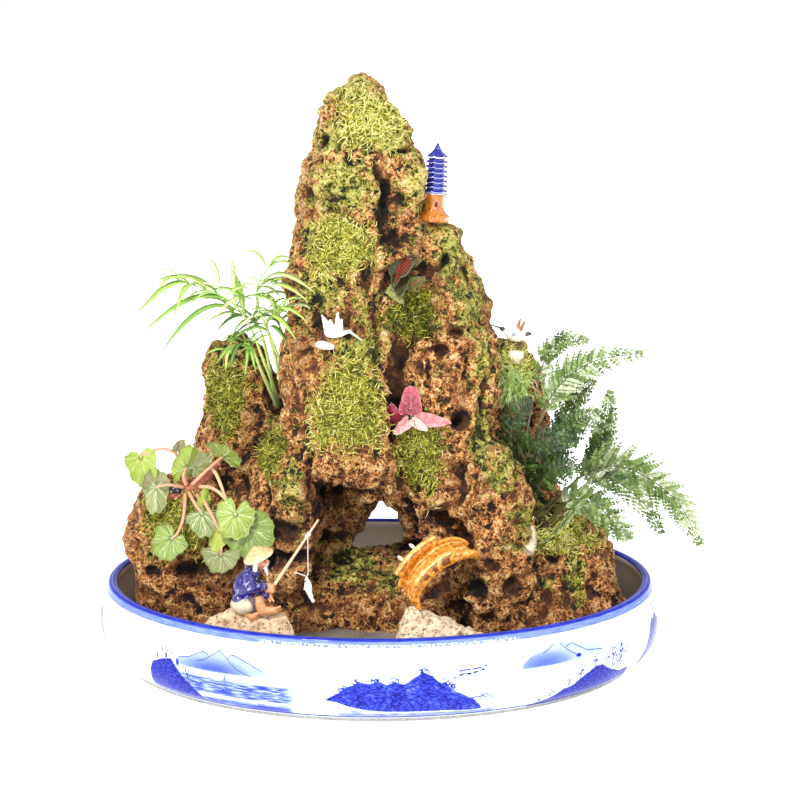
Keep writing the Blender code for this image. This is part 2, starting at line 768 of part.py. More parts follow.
def add_leaflet(shape, face, tip, half_width, arch):
    """Grows a pointed leaflet out of one face, arching up by this much on its way to its tip."""
    foot = [vertex for vertex in face.verts]
    start = face.calc_center_median()
    end = at(*tip)
    shape.faces.remove(face)
    rings = [foot]
    for share, width in ((0.4, 1.0),):
        place = start.lerp(end, share) + Vector((0, 0, arch * MM))
        spread = [(vertex.co - start) for vertex in foot]
        edge = max(vector.length for vector in spread)
        heading = (end - start).normalized()
        flat = [vector - heading * vector.dot(heading) for vector in spread]
        long_way = (foot[3].co + foot[2].co - foot[0].co - foot[1].co)
        long_way = (long_way - heading * long_way.dot(heading)).normalized()
        thin_way = heading.cross(long_way)
        corners = []
        for vector in flat:
            a = 1 if vector.dot(long_way) > 0 else -1
            b = 1 if vector.dot(thin_way) > 0 else -1
            corners.append(place + (long_way * a * half_width * width + thin_way * b * 0.45) * MM)
        rings.append([shape.verts.new(corner) for corner in corners])
    for a, b in zip(rings, rings[1:]):
        for i in range(4):
            shape.faces.new((a[i], a[(i + 1) % 4], b[(i + 1) % 4], b[i]))
    point = shape.verts.new(end)
    for i in range(4):
        shape.faces.new((rings[-1][i], rings[-1][(i + 1) % 4], point))


def make_frond(name, spine, side, radius, leaflets, half_width, arch, root, slot="leaf", stem_steps=3):
    """A stem with leaflets on both sides. Each leaflet is (left or right, step on the stem, tip).

    Root is how far the stem runs on below its spine, into what it grows from.
    """
    steps = max(step for _, step, _ in leaflets) + 2
    shares = [0.45 * i / stem_steps for i in range(stem_steps)]
    shares += [0.45 + 0.55 * i / (steps - 1) for i in range(steps)]
    route = [bezier(spine, share) for share in shares]
    route[0] += Vector(root)
    frames = frames_along(route, side)
    shape = bmesh.new()
    rings = []
    for share, frame in zip(shares, frames):
        half = radius * (1 - 0.55 * share)
        rings.append(ring(shape, frame, half, half, SQUARE))
    faces = [band(shape, a, b) for a, b in zip(rings, rings[1:])]
    shape.faces.new(rings[0])
    shape.faces.new(reversed(rings[-1]))
    for which, step, tip in leaflets:
        face = faces[stem_steps + step][3 if which == "right" else 1]
        add_leaflet(shape, face, tip, half_width, arch)
    return outward(from_bmesh(name, shape, slot))


def make_leaf(name, petiole, tip, side, half_width, slot, fold=0.0, radius=1.1):
    """A petiole that widens into one blade, folded along its middle by this much."""
    blade = [Vector(petiole[-1]).lerp(Vector(tip), share) for share in (0.16, 0.45, 0.78, 1.0)]
    widths = [radius] * len(petiole) + [half_width * w for w in (0.72, 1.0, 0.72, 0.16)]
    thickness = [radius] * len(petiole) + [0.8, 0.8, 0.7, 0.4]
    folds = [0] * len(petiole) + [fold * w for w in (0.7, 1.0, 0.8, 0.2)]
    frames = frames_along([*petiole, *blade], side)
    shape = bmesh.new()
    rings = []
    for frame, half, thick, sink in zip(frames, widths, thickness, folds):
        vertices = ring(shape, frame, half, thick, LENS)
        for index in (1, 3):
            vertices[index].co -= frame[2] * sink * MM
        rings.append(vertices)
    for a, b in zip(rings, rings[1:]):
        band(shape, a, b)
    shape.faces.new(rings[0])
    shape.faces.new(reversed(rings[-1]))
    return outward(from_bmesh(name, shape, slot))


PALM_FRONDS = {  # spine, then each leaflet's side, step and tip
    "palm_frond_long": (
        [(-77, 6, 162), (-80, 6, 206), (-100, -2, 250), (-142, -14, 272)],
        [
            ("left", 0, (-149, -38, 222)), ("left", 1, (-164, -30, 233)), ("left", 2, (-155, -22, 272)),
            ("left", 4, (-168, -30, 246)), ("right", 0, (-104, -20, 280)), ("right", 1, (-103, 8, 283)),
            ("right", 2, (-123, 14, 284)), ("right", 3, (-146, 8, 240)), ("right", 4, (-158, 0, 252)),
        ],
    ),
    "palm_frond_tall": (
        [(-70, 12, 164), (-76, 8, 222), (-88, 4, 262), (-70, -4, 286)],
        [
            ("left", 0, (-112, -24, 246)), ("left", 1, (-108, -30, 258)), ("left", 2, (-100, 18, 256)),
            ("left", 3, (-98, -2, 289)), ("right", 0, (-48, -34, 258)), ("right", 1, (-42, -26, 262)),
            ("right", 2, (-58, -10, 280)), ("right", 3, (-55, 14, 274)),
        ],
    ),
    "palm_frond_right": (
        [(-66, 4, 164), (-70, 2, 210), (-80, -10, 244), (-62, -32, 254)],
        [
            ("left", 0, (-92, -26, 234)), ("left", 1, (-86, -34, 246)), ("left", 3, (-72, -44, 262)),
            ("right", 0, (-60, -24, 222)), ("right", 1, (-56, -42, 237)), ("right", 2, (-49, -46, 247)),
            ("right", 3, (-45, -50, 256)),
        ],
    ),
    "palm_frond_back": (
        [(-68, 22, 164), (-64, 24, 212), (-74, 28, 240), (-58, 30, 262)],
        [
            ("left", 0, (-96, 26, 232)), ("left", 1, (-92, 34, 252)), ("left", 2, (-74, 32, 272)),
            ("right", 0, (-50, 40, 232)), ("right", 1, (-44, 38, 246)), ("right", 2, (-46, 34, 264)),
        ],
    ),
    "palm_frond_low": (
        [(-80, -2, 162), (-82, -4, 212), (-88, -18, 232), (-102, -34, 225)],
        [
            ("left", 0, (-90, -38, 207)), ("left", 1, (-101, -44, 215)), ("left", 2, (-110, -46, 219)),
            ("left", 3, (-116, -44, 225)), ("right", 1, (-98, -26, 236)), ("right", 2, (-106, -30, 234)),
        ],
    ),
    "palm_frond_middle": (
        [(-74, 16, 162), (-80, 14, 214), (-88, 12, 240), (-108, 10, 243)],
        [
            ("left", 0, (-104, -2, 230)), ("left", 1, (-112, 2, 234)), ("left", 2, (-124, 4, 238)),
            ("right", 0, (-86, 18, 252)), ("right", 1, (-100, 20, 250)), ("right", 2, (-120, 16, 247)),
        ],
    ),
}

FERN_FRONDS = {  # spine, how far its pinnae reach at its widest, which way is across it
    "fern_frond_curl": ([(100, 4, 101), (110, 26, 180), (124, 32, 214), (148, 16, 222)], 13, (1, 0, -0.5)),
    "fern_frond_top": ([(104, -4, 100), (122, 12, 172), (128, 12, 206), (186, -2, 216)], 17, (0.5, 0.2, -1)),
    "fern_frond_middle": ([(107, -9, 100), (146, 2, 126), (158, 4, 156), (163, 6, 188)], 15, (1, -0.5, -0.3)),
    "fern_frond_right": ([(112, -15, 99), (142, -14, 164), (188, -24, 144), (225, -28, 84)], 24, (0, 1, 0.5)),
    "fern_frond_low": ([(116, -21, 98), (136, -34, 146), (160, -44, 130), (170, -46, 100)], 15, (0.7, 0.5, 1)),
    "fern_frond_front": ([(119, -26, 96), (122, -42, 142), (126, -56, 132), (112, -58, 104)], 12, (1, 0, 0)),
    "fern_frond_core": ([(103, -9, 102), (98, -20, 150), (108, -40, 176), (136, -42, 172)], 15, (0, 0.4, 1)),
}

SAXIFRAGE_LEAVES = {  # petiole, tip of the blade, way across it, half width, fold
    "saxifrage_leaf_big": ([(-124, -19, 129), (-113, -35, 132), (-101, -49, 121)], (-92, -60, 98), (1, 0, 0.35), 14, 2),
    "saxifrage_leaf_right": ([(-121, -15, 129), (-104, -25, 127), (-92, -39, 111)], (-84, -47, 85), (1, 0.3, 0.5), 15, 3),
    "saxifrage_leaf_front": ([(-131, -23, 125), (-128, -35, 125), (-122, -43, 118)], (-118, -49, 100), (1, 0, 0.1), 11, 2),
    "saxifrage_leaf_low": ([(-134, -23, 124), (-134, -39, 117), (-139, -51, 104)], (-147, -59, 90), (1, 0, -0.4), 12, 3),
    "saxifrage_leaf_silver": ([(-144, -23, 127), (-150, -31, 137), (-152, -37, 137)], (-154, -41, 118), (1, 0, 0), 9, 2),
    "saxifrage_leaf_yellow": ([(-136, -21, 128), (-142, -25, 150), (-160, -27, 152)], (-170, -29, 137), (0.6, 0.3, 0.7), 10, 3),
    "saxifrage_leaf_curled": ([(-130, -20, 128), (-134, -25, 141), (-131, -29, 147)], (-129, -33, 162), (1, 0, -0.2), 9, -3),
    "saxifrage_leaf_back": ([(-117, -3, 128), (-113, -9, 141), (-108, -13, 146)], (-101, -19, 163), (1, 0, 0.6), 10, -2),
    "saxifrage_leaf_under": ([(-127, -21, 126), (-120, -47, 115), (-112, -57, 100)], (-103, -65, 83), (1, 0, -0.3), 11, 3),
    "saxifrage_leaf_small": ([(-126, -21, 128), (-122, -29, 130), (-120, -32, 129)], (-119, -35, 117), (1, 0, 0), 6, 1),
}

FITTONIA_LEAVES = {
    "dark_fittonia_leaf_top": ([(17, 4, 256), (16, -12, 263), (15, -18, 269)], (12, -28, 288), (1, 0, 0.2), 6.5, 1.5),
    "dark_fittonia_leaf_left": ([(12, 4, 254), (11, -14, 261), (8, -20, 265)], (-3, -33, 271), (0.3, 0.4, 1), 6.5, 1.5),
    "dark_fittonia_leaf_right": ([(22, 4, 254), (21, -14, 261), (23, -20, 266)], (33, -31, 273), (-0.4, 0, 1), 6.5, 1.5),
    "red_fittonia_leaf_top": ([(20, -2, 180), (20, -18, 183), (20, -26, 187)], (22, -36, 201), (1, 0, 0.1), 5.5, 1.2),
    "red_fittonia_leaf_right": ([(24, -2, 178), (24, -20, 181), (28, -28, 183)], (47, -37, 182), (0, 0.5, 1), 5.5, 1.2),
    "red_fittonia_leaf_left": ([(16, -2, 178), (16, -20, 180), (14, -27, 181)], (2, -33, 172), (0.5, 0.4, 1), 5.5, 1.2),
}


def make_fern_frond(name, spine, reach, side, teeth=7):
    """A stalk that widens into a thin toothed blade, one tooth for each pair of its leaflets."""
    shares, widths, thickness = [0.0, 0.15, 0.3], [1.3, 1.2, 1.1], [1.3, 1.2, 1.1]
    for index in range(2 * teeth + 1):
        along = index / (2 * teeth)
        full = reach * (1 - abs(along - 0.3) * 1.1)
        shares.append(0.38 + 0.62 * along)
        widths.append(max(1.0, full * (1.0 if index % 2 else 0.55)))
        thickness.append(1.0 - 0.4 * along)
    frames = frames_along([bezier(spine, share) for share in shares], side)
    shape = bmesh.new()
    rings = [ring(shape, frame, half, thick, LENS) for frame, half, thick in zip(frames, widths, thickness)]
    for a, b in zip(rings, rings[1:]):
        band(shape, a, b)
    shape.faces.new(rings[0])
    shape.faces.new(reversed(rings[-1]))
    bmesh.ops.triangulate(shape, faces=shape.faces)
    return outward(from_bmesh(name, shape, "leaf"))


def kept_apart(pieces):
    """Each piece cut clear of the ones before it."""
    apart = []
    for piece in pieces:
        apart.append(kept_clear(piece, *apart))
    return apart


def make_palm(rock):
    fronds = []
    for name, (spine, leaflets) in PALM_FRONDS.items():
        frond = make_frond(name, spine, (1, 0.3, 0), 1.5, leaflets, 2.2, 4, (4, 6, -22))
        fronds.append(kept_clear(frond, rock))
    return fronds


def make_fern(rock, rhizome):
    fronds = []
    for name, (spine, reach, side) in FERN_FRONDS.items():
        frond = make_fern_frond(name, spine, reach, side)
        fronds.append(kept_clear(frond, rock, rhizome))
    return fronds


def make_rhizome(name, route, radius, rock, slot="stem"):
    return kept_clear(tube(name, route, radius, slot, 1, 0.8), rock)


def make_leaves(leaves, slot, *neighbours):
    made = []
    for name, (petiole, tip, side, half_width, fold) in leaves.items():
        colour = "red_leaf" if name.startswith("red") else slot
        made.append(kept_clear(make_leaf(name, petiole, tip, side, half_width, colour, fold), *neighbours))
    return made


def make_grass(rock):
    """A tuft of fine grass: one fan of blades from a common foot."""
    shapes = []
    for tip in ((82, 8, 200), (88, 6, 204), (95, 4, 206), (102, 6, 204), (109, 8, 196), (92, 2, 186)):
        shapes.append(bar((96, 30, 180), tip, 5, 0.8, 6))
    return kept_clear(sculpted("grass_tuft", shapes, 2.2, 100, "leaf"), rock)


PARTS = collection("tufa_rock_landscape")


def main():
    clear_scene()
    tray = make_tray()
    rock = make_rock(tray)
    seat = make_stone(
        "fisherman_stone",
        [((-88, -103, 36), (28, 17, 27)), ((-70, -102, 40), (14, 13, 18)), ((-104, -100, 24), (18, 16, 22))],
        150, tray,
    )
    prop = make_stone(
        "bridge_stone",
        [((25, -74, 30), (12, 13, 27)), ((40, -74, 18), (26, 13, 20)), ((20, -74, 18), (10, 12, 18))],
        130, tray,
    )
    seat, prop = kept_clear(seat, rock, tray), kept_clear(prop, rock, tray)
    rod = bar(ROD_BUTT, ROD_TIP, 1.45, 0.7, 8)
    rod.name = "fishing_rod"
    rod.data.materials.append(material("bamboo"))
    fisherman = kept_clear(make_fisherman(seat), rod)
    line = tube("fishing_line", LINE_ROUTE, LINE_DIAMETER / 2, "thread")
    fish = kept_clear(make_fish(), line)
    bridge = make_bridge(rock)
    prop = kept_clear(prop, bridge)
    make_pagoda(rock)
    birds = [*make_flying_crane(rock), *make_standing_crane(rock)]
    pads = [make_moss(name, *sizes, rock) for name, sizes in MOSS_PADS.items()]
    palm = kept_apart(make_palm(rock))
    crown = make_rhizome(
        "saxifrage_rhizome",
        [(-148, -21, 126), (-136, -22, 124), (-126, -18, 124), (-119, -10, 126), (-114, 2, 130), (-108, 14, 124)],
        4.4, rock,
    )
    saxifrage = kept_apart(make_leaves(SAXIFRAGE_LEAVES, "leaf", rock, crown))
    root = make_rhizome(
        "fern_rhizome", [(98, 8, 99), (104, -5, 98), (111, -14, 97), (117, -24, 95), (122, -30, 90)], 5, rock
    )
    fern = kept_apart(make_fern(rock, root))
    fittonia = kept_apart(make_leaves(FITTONIA_LEAVES, "leaf", rock))
    grass = make_grass(rock)
    grown = [*birds, *palm, crown, *saxifrage, root, *fern, *fittonia, grass]
    pads = [kept_clear(pad, *grown) for pad in pads]
    water = make_water(rock, (seat, prop))


main()
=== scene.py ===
import functools
import math

import bmesh
import bpy
import numpy as np
from mathutils import Matrix, Vector
from mathutils.bvhtree import BVHTree


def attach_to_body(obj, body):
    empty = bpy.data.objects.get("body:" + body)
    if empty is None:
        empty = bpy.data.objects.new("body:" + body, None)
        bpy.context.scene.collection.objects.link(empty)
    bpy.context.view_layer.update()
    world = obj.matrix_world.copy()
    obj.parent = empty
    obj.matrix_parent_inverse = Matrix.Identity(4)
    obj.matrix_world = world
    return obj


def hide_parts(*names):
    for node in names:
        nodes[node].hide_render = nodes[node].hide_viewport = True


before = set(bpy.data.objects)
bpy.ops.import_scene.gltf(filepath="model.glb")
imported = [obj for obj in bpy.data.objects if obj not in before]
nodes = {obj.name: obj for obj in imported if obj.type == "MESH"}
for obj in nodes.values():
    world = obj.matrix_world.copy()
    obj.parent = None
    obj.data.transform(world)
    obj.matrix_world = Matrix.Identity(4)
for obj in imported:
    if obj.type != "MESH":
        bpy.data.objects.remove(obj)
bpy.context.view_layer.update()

scene = bpy.context.scene
mm = 0.001  # lengths in this script are in millimetres, and every mesh is scaled by this at the end

cameraSpec = dict(place=(14.36, -1397.94, 443.06), pitch=10.53, lens=90.86)


def makeCamera():
    data = bpy.data.cameras.new("camera")
    data.lens, data.sensor_width = cameraSpec["lens"], 36
    data.clip_start, data.clip_end = 0.05, 20
    camera = bpy.data.objects.new("camera", data)
    camera.location = Vector(cameraSpec["place"]) * mm
    camera.rotation_euler = (math.radians(90 - cameraSpec["pitch"]), 0, 0)
    scene.collection.objects.link(camera)
    scene.camera = camera


makeCamera()

threadSpec = dict(  # its route runs from its wrap on the rod to the fish, then along its stiff free end
    diameter=0.6,
    route=[
        (-46.4, -106.5, 111.6), (-46.4, -106.6, 109.0), (-46.4, -106.6, 106.0), (-46.4, -106.6, 103.0),
        (-46.4, -106.6, 100.0), (-46.4, -106.6, 97.0), (-46.4, -106.6, 94.0), (-46.4, -106.6, 91.0),
        (-46.4, -106.6, 88.0), (-46.5, -106.6, 86.0), (-46.9, -106.7, 85.0), (-47.7, -106.8, 84.6),
        (-48.7, -106.8, 84.9), (-50.6, -106.7, 85.7), (-53.0, -106.4, 86.5), (-55.6, -106.0, 86.9),
    ],
)


class Field:  # a value, colour or vector that runs through a material's nodes
    def __init__(self, tree, socket=None):
        self.tree, self.socket = tree, socket

    def node(self, kind, settings, values, output=0):
        made = self.tree.nodes.new("ShaderNode" + kind)
        for key, value in settings.items():
            if key == "stops":
                stops = made.color_ramp.elements
                stops[0].position, stops[0].color = value[0][0], (*value[0][1], 1)[:4]
                stops[1].position, stops[1].color = value[-1][0], (*value[-1][1], 1)[:4]
                for place, colour in value[1:-1]:
                    stops.new(place).color = (*colour, 1)[:4]
            else:
                setattr(made, key, value)
        for key, value in values.items():
            socket = made.inputs[key]
            if isinstance(value, Field):
                self.tree.links.new(value.socket, socket)
            elif socket.type == "RGBA" and len(value) == 3:
                socket.default_value = (*value, 1)
            else:
                socket.default_value = value
        return Field(self.tree, made.outputs[output])

    def calc(self, operation, *values):
        vector = any(isinstance(v, Field) and v.socket.type == "VECTOR" for v in values)
        if vector and operation == "MULTIPLY" and not isinstance(values[1], tuple):
            return self.node("VectorMath", {"operation": "SCALE"}, {0: values[0], "Scale": values[1]})
        kind = "VectorMath" if vector else "Math"
        return self.node(kind, {"operation": operation}, dict(enumerate(values)))

    def __add__(self, other): return self.calc("ADD", self, other)
    def __radd__(self, other): return self.calc("ADD", other, self)
    def __sub__(self, other): return self.calc("SUBTRACT", self, other)
    def __rsub__(self, other): return self.calc("SUBTRACT", other, self)
    def __mul__(self, other): return self.calc("MULTIPLY", self, other)
    def __rmul__(self, other): return self.calc("MULTIPLY", self, other)
    def __truediv__(self, other): return self.calc("DIVIDE", self, other)
    def __pow__(self, other): return self.calc("POWER", self, other)
    def __abs__(self): return self.calc("ABSOLUTE", self)
    def least(self, other): return self.calc("MINIMUM", self, other)
    def most(self, other): return self.calc("MAXIMUM", self, other)
    def sine(self): return self.calc("SINE", self)
    def wrap(self, low, high): return self.calc("WRAP", self, high, low)

    def step(self, low, high):  # 0 below low and 1 above high, smooth between them; low may be the greater
        if low > high:
            return 1 - self.step(high, low)
        return self.node(
            "MapRange", {"interpolation_type": "SMOOTHSTEP"}, {"Value": self, "From Min": low, "From Max": high}
        )

    def ramp(self, *stops): return self.node("ValToRGB", {"stops": stops}, {0: self})

    def mix(self, share, other):  # this colour going over to the other
        return self.node("Mix", {"data_type": "RGBA"}, {0: share, 6: self, 7: other}, 2)

    def place(self):  # where the point is on the piece, in millimetres
        return self.node("TexCoord", {}, {}, 3) * 1000.0

    def axis(self, index): return self.node("SeparateXYZ", {}, {0: self}, index)
    def held(self, name): return self.node("Attribute", {"attribute_name": name}, {}, 2)
    def shade(self, name): return self.node("Attribute", {"attribute_name": name}, {}, 0)

    def noise(self, size, detail=2.0, rough=0.5, warp=0.0, output=0):
        values = {"Vector": self, "Scale": 1 / size, "Detail": detail, "Roughness": rough, "Distortion": warp}
        return self.node("TexNoise", {}, values, output)

    def cells(self, size, feature="F1", output=0):
        return self.node("TexVoronoi", {"feature": feature}, {"Vector": self, "Scale": 1 / size}, output)

    def bump(self, height, depth):
        return self.node("Bump", {}, {"Height": height, "Distance": depth * mm})


def finish(name, build, **fixed):  # a material; build gives what varies, and fixed sets plain socket values
    made = bpy.data.materials.new(name)
    made.use_nodes = True
    tree = made.node_tree
    shader = tree.nodes["Principled BSDF"]
    fixed = {key.replace("_", " "): value for key, value in fixed.items()}
    for key, value in {**fixed, **build(Field(tree))}.items():
        socket = shader.inputs[key]
        if isinstance(value, Field):
            tree.links.new(value.socket, socket)
        else:
            socket.default_value = (*value, 1) if socket.type == "RGBA" else value
    return made


# in what follows, points are numpy rows of x, y, z


def meshFrom(name, points, faces):
    faces = [np.asarray(block, np.int32) for block in faces if len(block)]
    mesh = bpy.data.meshes.new(name)
    mesh.vertices.add(len(points))
    mesh.vertices.foreach_set("co", (np.asarray(points, np.float64) * mm).ravel())
    corners = np.concatenate([block.ravel() for block in faces])
    counts = np.concatenate([np.full(len(block), block.shape[1]) for block in faces])
    mesh.loops.add(len(corners))
    mesh.loops.foreach_set("vertex_index", corners)
    mesh.polygons.add(len(counts))
    mesh.polygons.foreach_set("loop_start", np.concatenate([[0], np.cumsum(counts)[:-1]]).astype(np.int32))
    mesh.update(calc_edges=True)
    mesh.validate()
    return mesh


def piece(name, mesh, look, slot, stands=(), smooth=True, **shades):
    # a finished piece of the object; shades are numbers kept on each of its points for its material
    for key, values in shades.items():
        values = np.asarray(values, np.float32)
        kind = "FLOAT" if values.ndim == 1 else "FLOAT_VECTOR"
        mesh.attributes.new(key, kind, "POINT").data.foreach_set(
            "value" if values.ndim == 1 else "vector", values.ravel()
        )
    mesh.polygons.foreach_set("use_smooth", np.full(len(mesh.polygons), smooth))
    mesh.materials.clear()
    mesh.materials.append(look)
    obj = bpy.data.objects.new(name, mesh)
    scene.collection.objects.link(obj)
    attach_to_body(obj, "root")
    if stands:
        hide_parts(*stands)
    return obj


def applied(mesh, *steps):  # the mesh after these modifiers, each a kind and its settings
    obj = bpy.data.objects.new("work", mesh)
    scene.collection.objects.link(obj)
    for kind, settings in steps:
        modifier = obj.modifiers.new(kind.lower(), kind)
        for key, value in settings.items():
            setattr(modifier, key, value)
    graph = bpy.context.evaluated_depsgraph_get()
    made = bpy.data.meshes.new_from_object(obj.evaluated_get(graph))
    bpy.data.objects.remove(obj)
    return made


def pointsOf(mesh):
    points = np.empty(len(mesh.vertices) * 3, np.float32)
    mesh.vertices.foreach_get("co", points)
    return points.reshape(-1, 3).astype(np.float64) / mm


def normalsOf(mesh):
    normals = np.empty(len(mesh.vertices) * 3, np.float32)
    mesh.vertex_normals.foreach_get("vector", normals)
    return normals.reshape(-1, 3).astype(np.float64)


def setPoints(mesh, points):
    mesh.vertices.foreach_set("co", (points * mm).astype(np.float32).ravel())
    mesh.update()


def unit(vectors):
    return vectors / np.maximum(np.linalg.norm(vectors, axis=-1, keepdims=True), 1e-9)


def rise(values, low, high):  # the same smooth step as a material's, on numbers
    share = np.clip((np.asarray(values, float) - low) / (high - low), 0, 1)
    return share * share * (3 - 2 * share)


def scattered(cells, seed):  # three numbers from 0 to 1 for each lattice cell
    x, y, z = (cells[..., i].astype(np.int64) for i in range(3))
    h = (x * 73856093) ^ (y * 19349663) ^ (z * 83492791) ^ (seed * 2654435761)
    out = []
    for turn in (1, 2, 3):
        h = (h ^ (h >> 15)) * (2246822519 + turn * 2) & 0xFFFFFFFF
        h = (h ^ (h >> 13)) * 3266489917 & 0xFFFFFFFF
        out.append(((h ^ (h >> 16)) & 0xFFFFFF) / float(0xFFFFFF))
    return np.stack(out, -1)


def cloud(points, size, seed=0, octaves=1):  # soft lumps from -1 to 1
    total, weight = 0.0, 0.0
    for octave in range(octaves):
        place = points / (size * 0.5**octave) + seed * 17.3
        cell = np.floor(place)
        share = place - cell
        share = share * share * (3 - 2 * share)
        value = 0.0
        for corner in np.ndindex(2, 2, 2):
            near = np.prod(np.where(corner, share, 1 - share), axis=-1)
            value = value + near * scattered(cell + corner, seed + octave)[..., 0]
        total, weight = total + (2 * value - 1) * 0.5**octave, weight + 0.5**octave
    return total / weight


def cobbles(points, size, seed=0):  # distances to the nearest two stones' middles, and the nearest's own numbers
    place = points / size
    cell = np.floor(place)
    first = np.full(len(points), 9.0)
    second, own = first.copy(), np.zeros((len(points), 3))
    for corner in np.ndindex(3, 3, 3):
        there = cell + np.array(corner) - 1
        spot = scattered(there, seed)
        away = np.linalg.norm(there + spot - place, axis=1)
        closer = away < first
        second = np.where(closer, first, np.minimum(second, away))
        own[closer] = scattered(there[closer], seed + 91)
        first = np.where(closer, away, first)
    return first * size, second * size, own


def rows(count, size, start=0, closed=True):  # the quads between rings of points, size points to a ring
    ring = np.arange(size if closed else size - 1)
    a = start + np.arange(count - 1)[:, None] * size + ring[None]
    b = start + np.arange(count - 1)[:, None] * size + (ring[None] + 1) % size
    return np.stack([a, b, b + size, a + size], -1).reshape(-1, 4)


def bent(controls, count):  # points along a smooth curve through the controls
    controls = np.asarray(controls, float)
    padded = np.vstack([2 * controls[0] - controls[1], controls, 2 * controls[-1] - controls[-2]])
    shares = np.linspace(0, len(controls) - 1, count)
    index = np.minimum(shares.astype(int), len(controls) - 2)
    t = (shares - index)[:, None]
    a, b, c, d = (padded[index + i] for i in range(4))
    return 0.5 * (2 * b + (c - a) * t + (2 * a - 5 * b + 4 * c - d) * t**2 + (3 * b - a - 3 * c + d) * t**3)


def tubes(paths, radii, sides=3):
    # many closed tubes at once: paths are n by k points, radii n by k; returns points, faces and each point's share
    paths, radii = np.asarray(paths, float), np.asarray(radii, float)
    n, k = paths.shape[:2]
    first, last = paths[:, 1:2] - paths[:, :1], paths[:, -1:] - paths[:, -2:-1]
    ahead = unit(np.concatenate([first, paths[:, 2:] - paths[:, :-2], last], 1))
    across = np.empty_like(paths)
    across[:, 0] = unit(np.cross(ahead[:, 0], (0.31, 0.77, 0.55)))  # any way that no path runs
    for i in range(1, k):
        before = across[:, i - 1]
        across[:, i] = unit(before - ahead[:, i] * (before * ahead[:, i]).sum(-1, keepdims=True))
    out = np.cross(ahead, across)
    angle = np.arange(sides) * 2 * math.pi / sides
    ring = across[:, :, None] * np.cos(angle)[:, None] + out[:, :, None] * np.sin(angle)[:, None]
    points = (paths[:, :, None] + ring * radii[:, :, None, None]).reshape(n, -1, 3)
    points = np.concatenate([points, paths[:, :1], paths[:, -1:]], 1)
    one = rows(k, sides)
    turn = np.arange(sides)
    onward, last = (turn + 1) % sides, (k - 1) * sides
    caps = [
        np.stack([np.full(sides, k * sides), onward, turn], -1),
        np.stack([np.full(sides, k * sides + 1), last + turn, last + onward], -1),
    ]
    step = (np.arange(n) * (k * sides + 2))[:, None, None]
    share = np.concatenate([np.repeat(np.linspace(0, 1, k), sides), [0, 1]])
    faces = [(one[None] + step).reshape(-1, 4), (np.concatenate(caps)[None] + step).reshape(-1, 3)]
    return points.reshape(-1, 3), faces, np.tile(share, n)


def gathered(parts):  # several point and face sets as one
    points, faces, start = [], [], 0
    for some, blocks in parts:
        faces += [np.asarray(block) + start for block in blocks if len(block)]
        points.append(some)
        start += len(some)
    return np.concatenate(points), faces


def trianglesOf(faces):
    return sum((block.shape[1] - 2) * len(block) for block in map(np.asarray, faces))


def turnedOval(profile, share, turns):  # a profile of radii and heights turned round, share times as deep as wide
    rings = [(r, z) for r, z in profile if r > 0]
    a = np.arange(turns) * 2 * math.pi / turns
    points = np.concatenate([np.stack([r * np.sin(a), -r * share * np.cos(a), a * 0 + z], 1) for r, z in rings])
    faces = rows(len(rings), turns)
    ends = [list(range(turns))[::-1], list(range(len(points) - turns, len(points)))]
    return points, faces, ends


def cloudBall(middle, halves, turns, rings, rough, lean=0.0):  # a lumpy closed ball
    v = np.linspace(0, math.pi, rings + 2)[1:-1, None]
    a = np.arange(turns)[None] * 2 * math.pi / turns
    way = np.stack([np.sin(v) * np.cos(a), np.sin(v) * np.sin(a), np.cos(v) + a * 0], -1).reshape(-1, 3)
    way = np.vstack([way, [0, 0, 1], [0, 0, -1]])
    halves = np.array(halves, float)
    points = way * halves * (1 + rough * 0.35 * cloud(way * 9, 6, 3, 2))[:, None]
    spin = math.radians(lean)
    turned = [[math.cos(spin), math.sin(spin)], [-math.sin(spin), math.cos(spin)]]
    points[:, [0, 2]] = points[:, [0, 2]] @ np.array(turned)
    turn = np.arange(turns)
    n = turns * rings
    top = np.stack([np.full(turns, n), turn, (turn + 1) % turns], -1)
    low = np.stack([np.full(turns, n + 1), n - turns + (turn + 1) % turns, n - turns + turn], -1)
    return points + np.array(middle, float), [rows(rings, turns)[:, ::-1], top, low]


print("frame loaded")


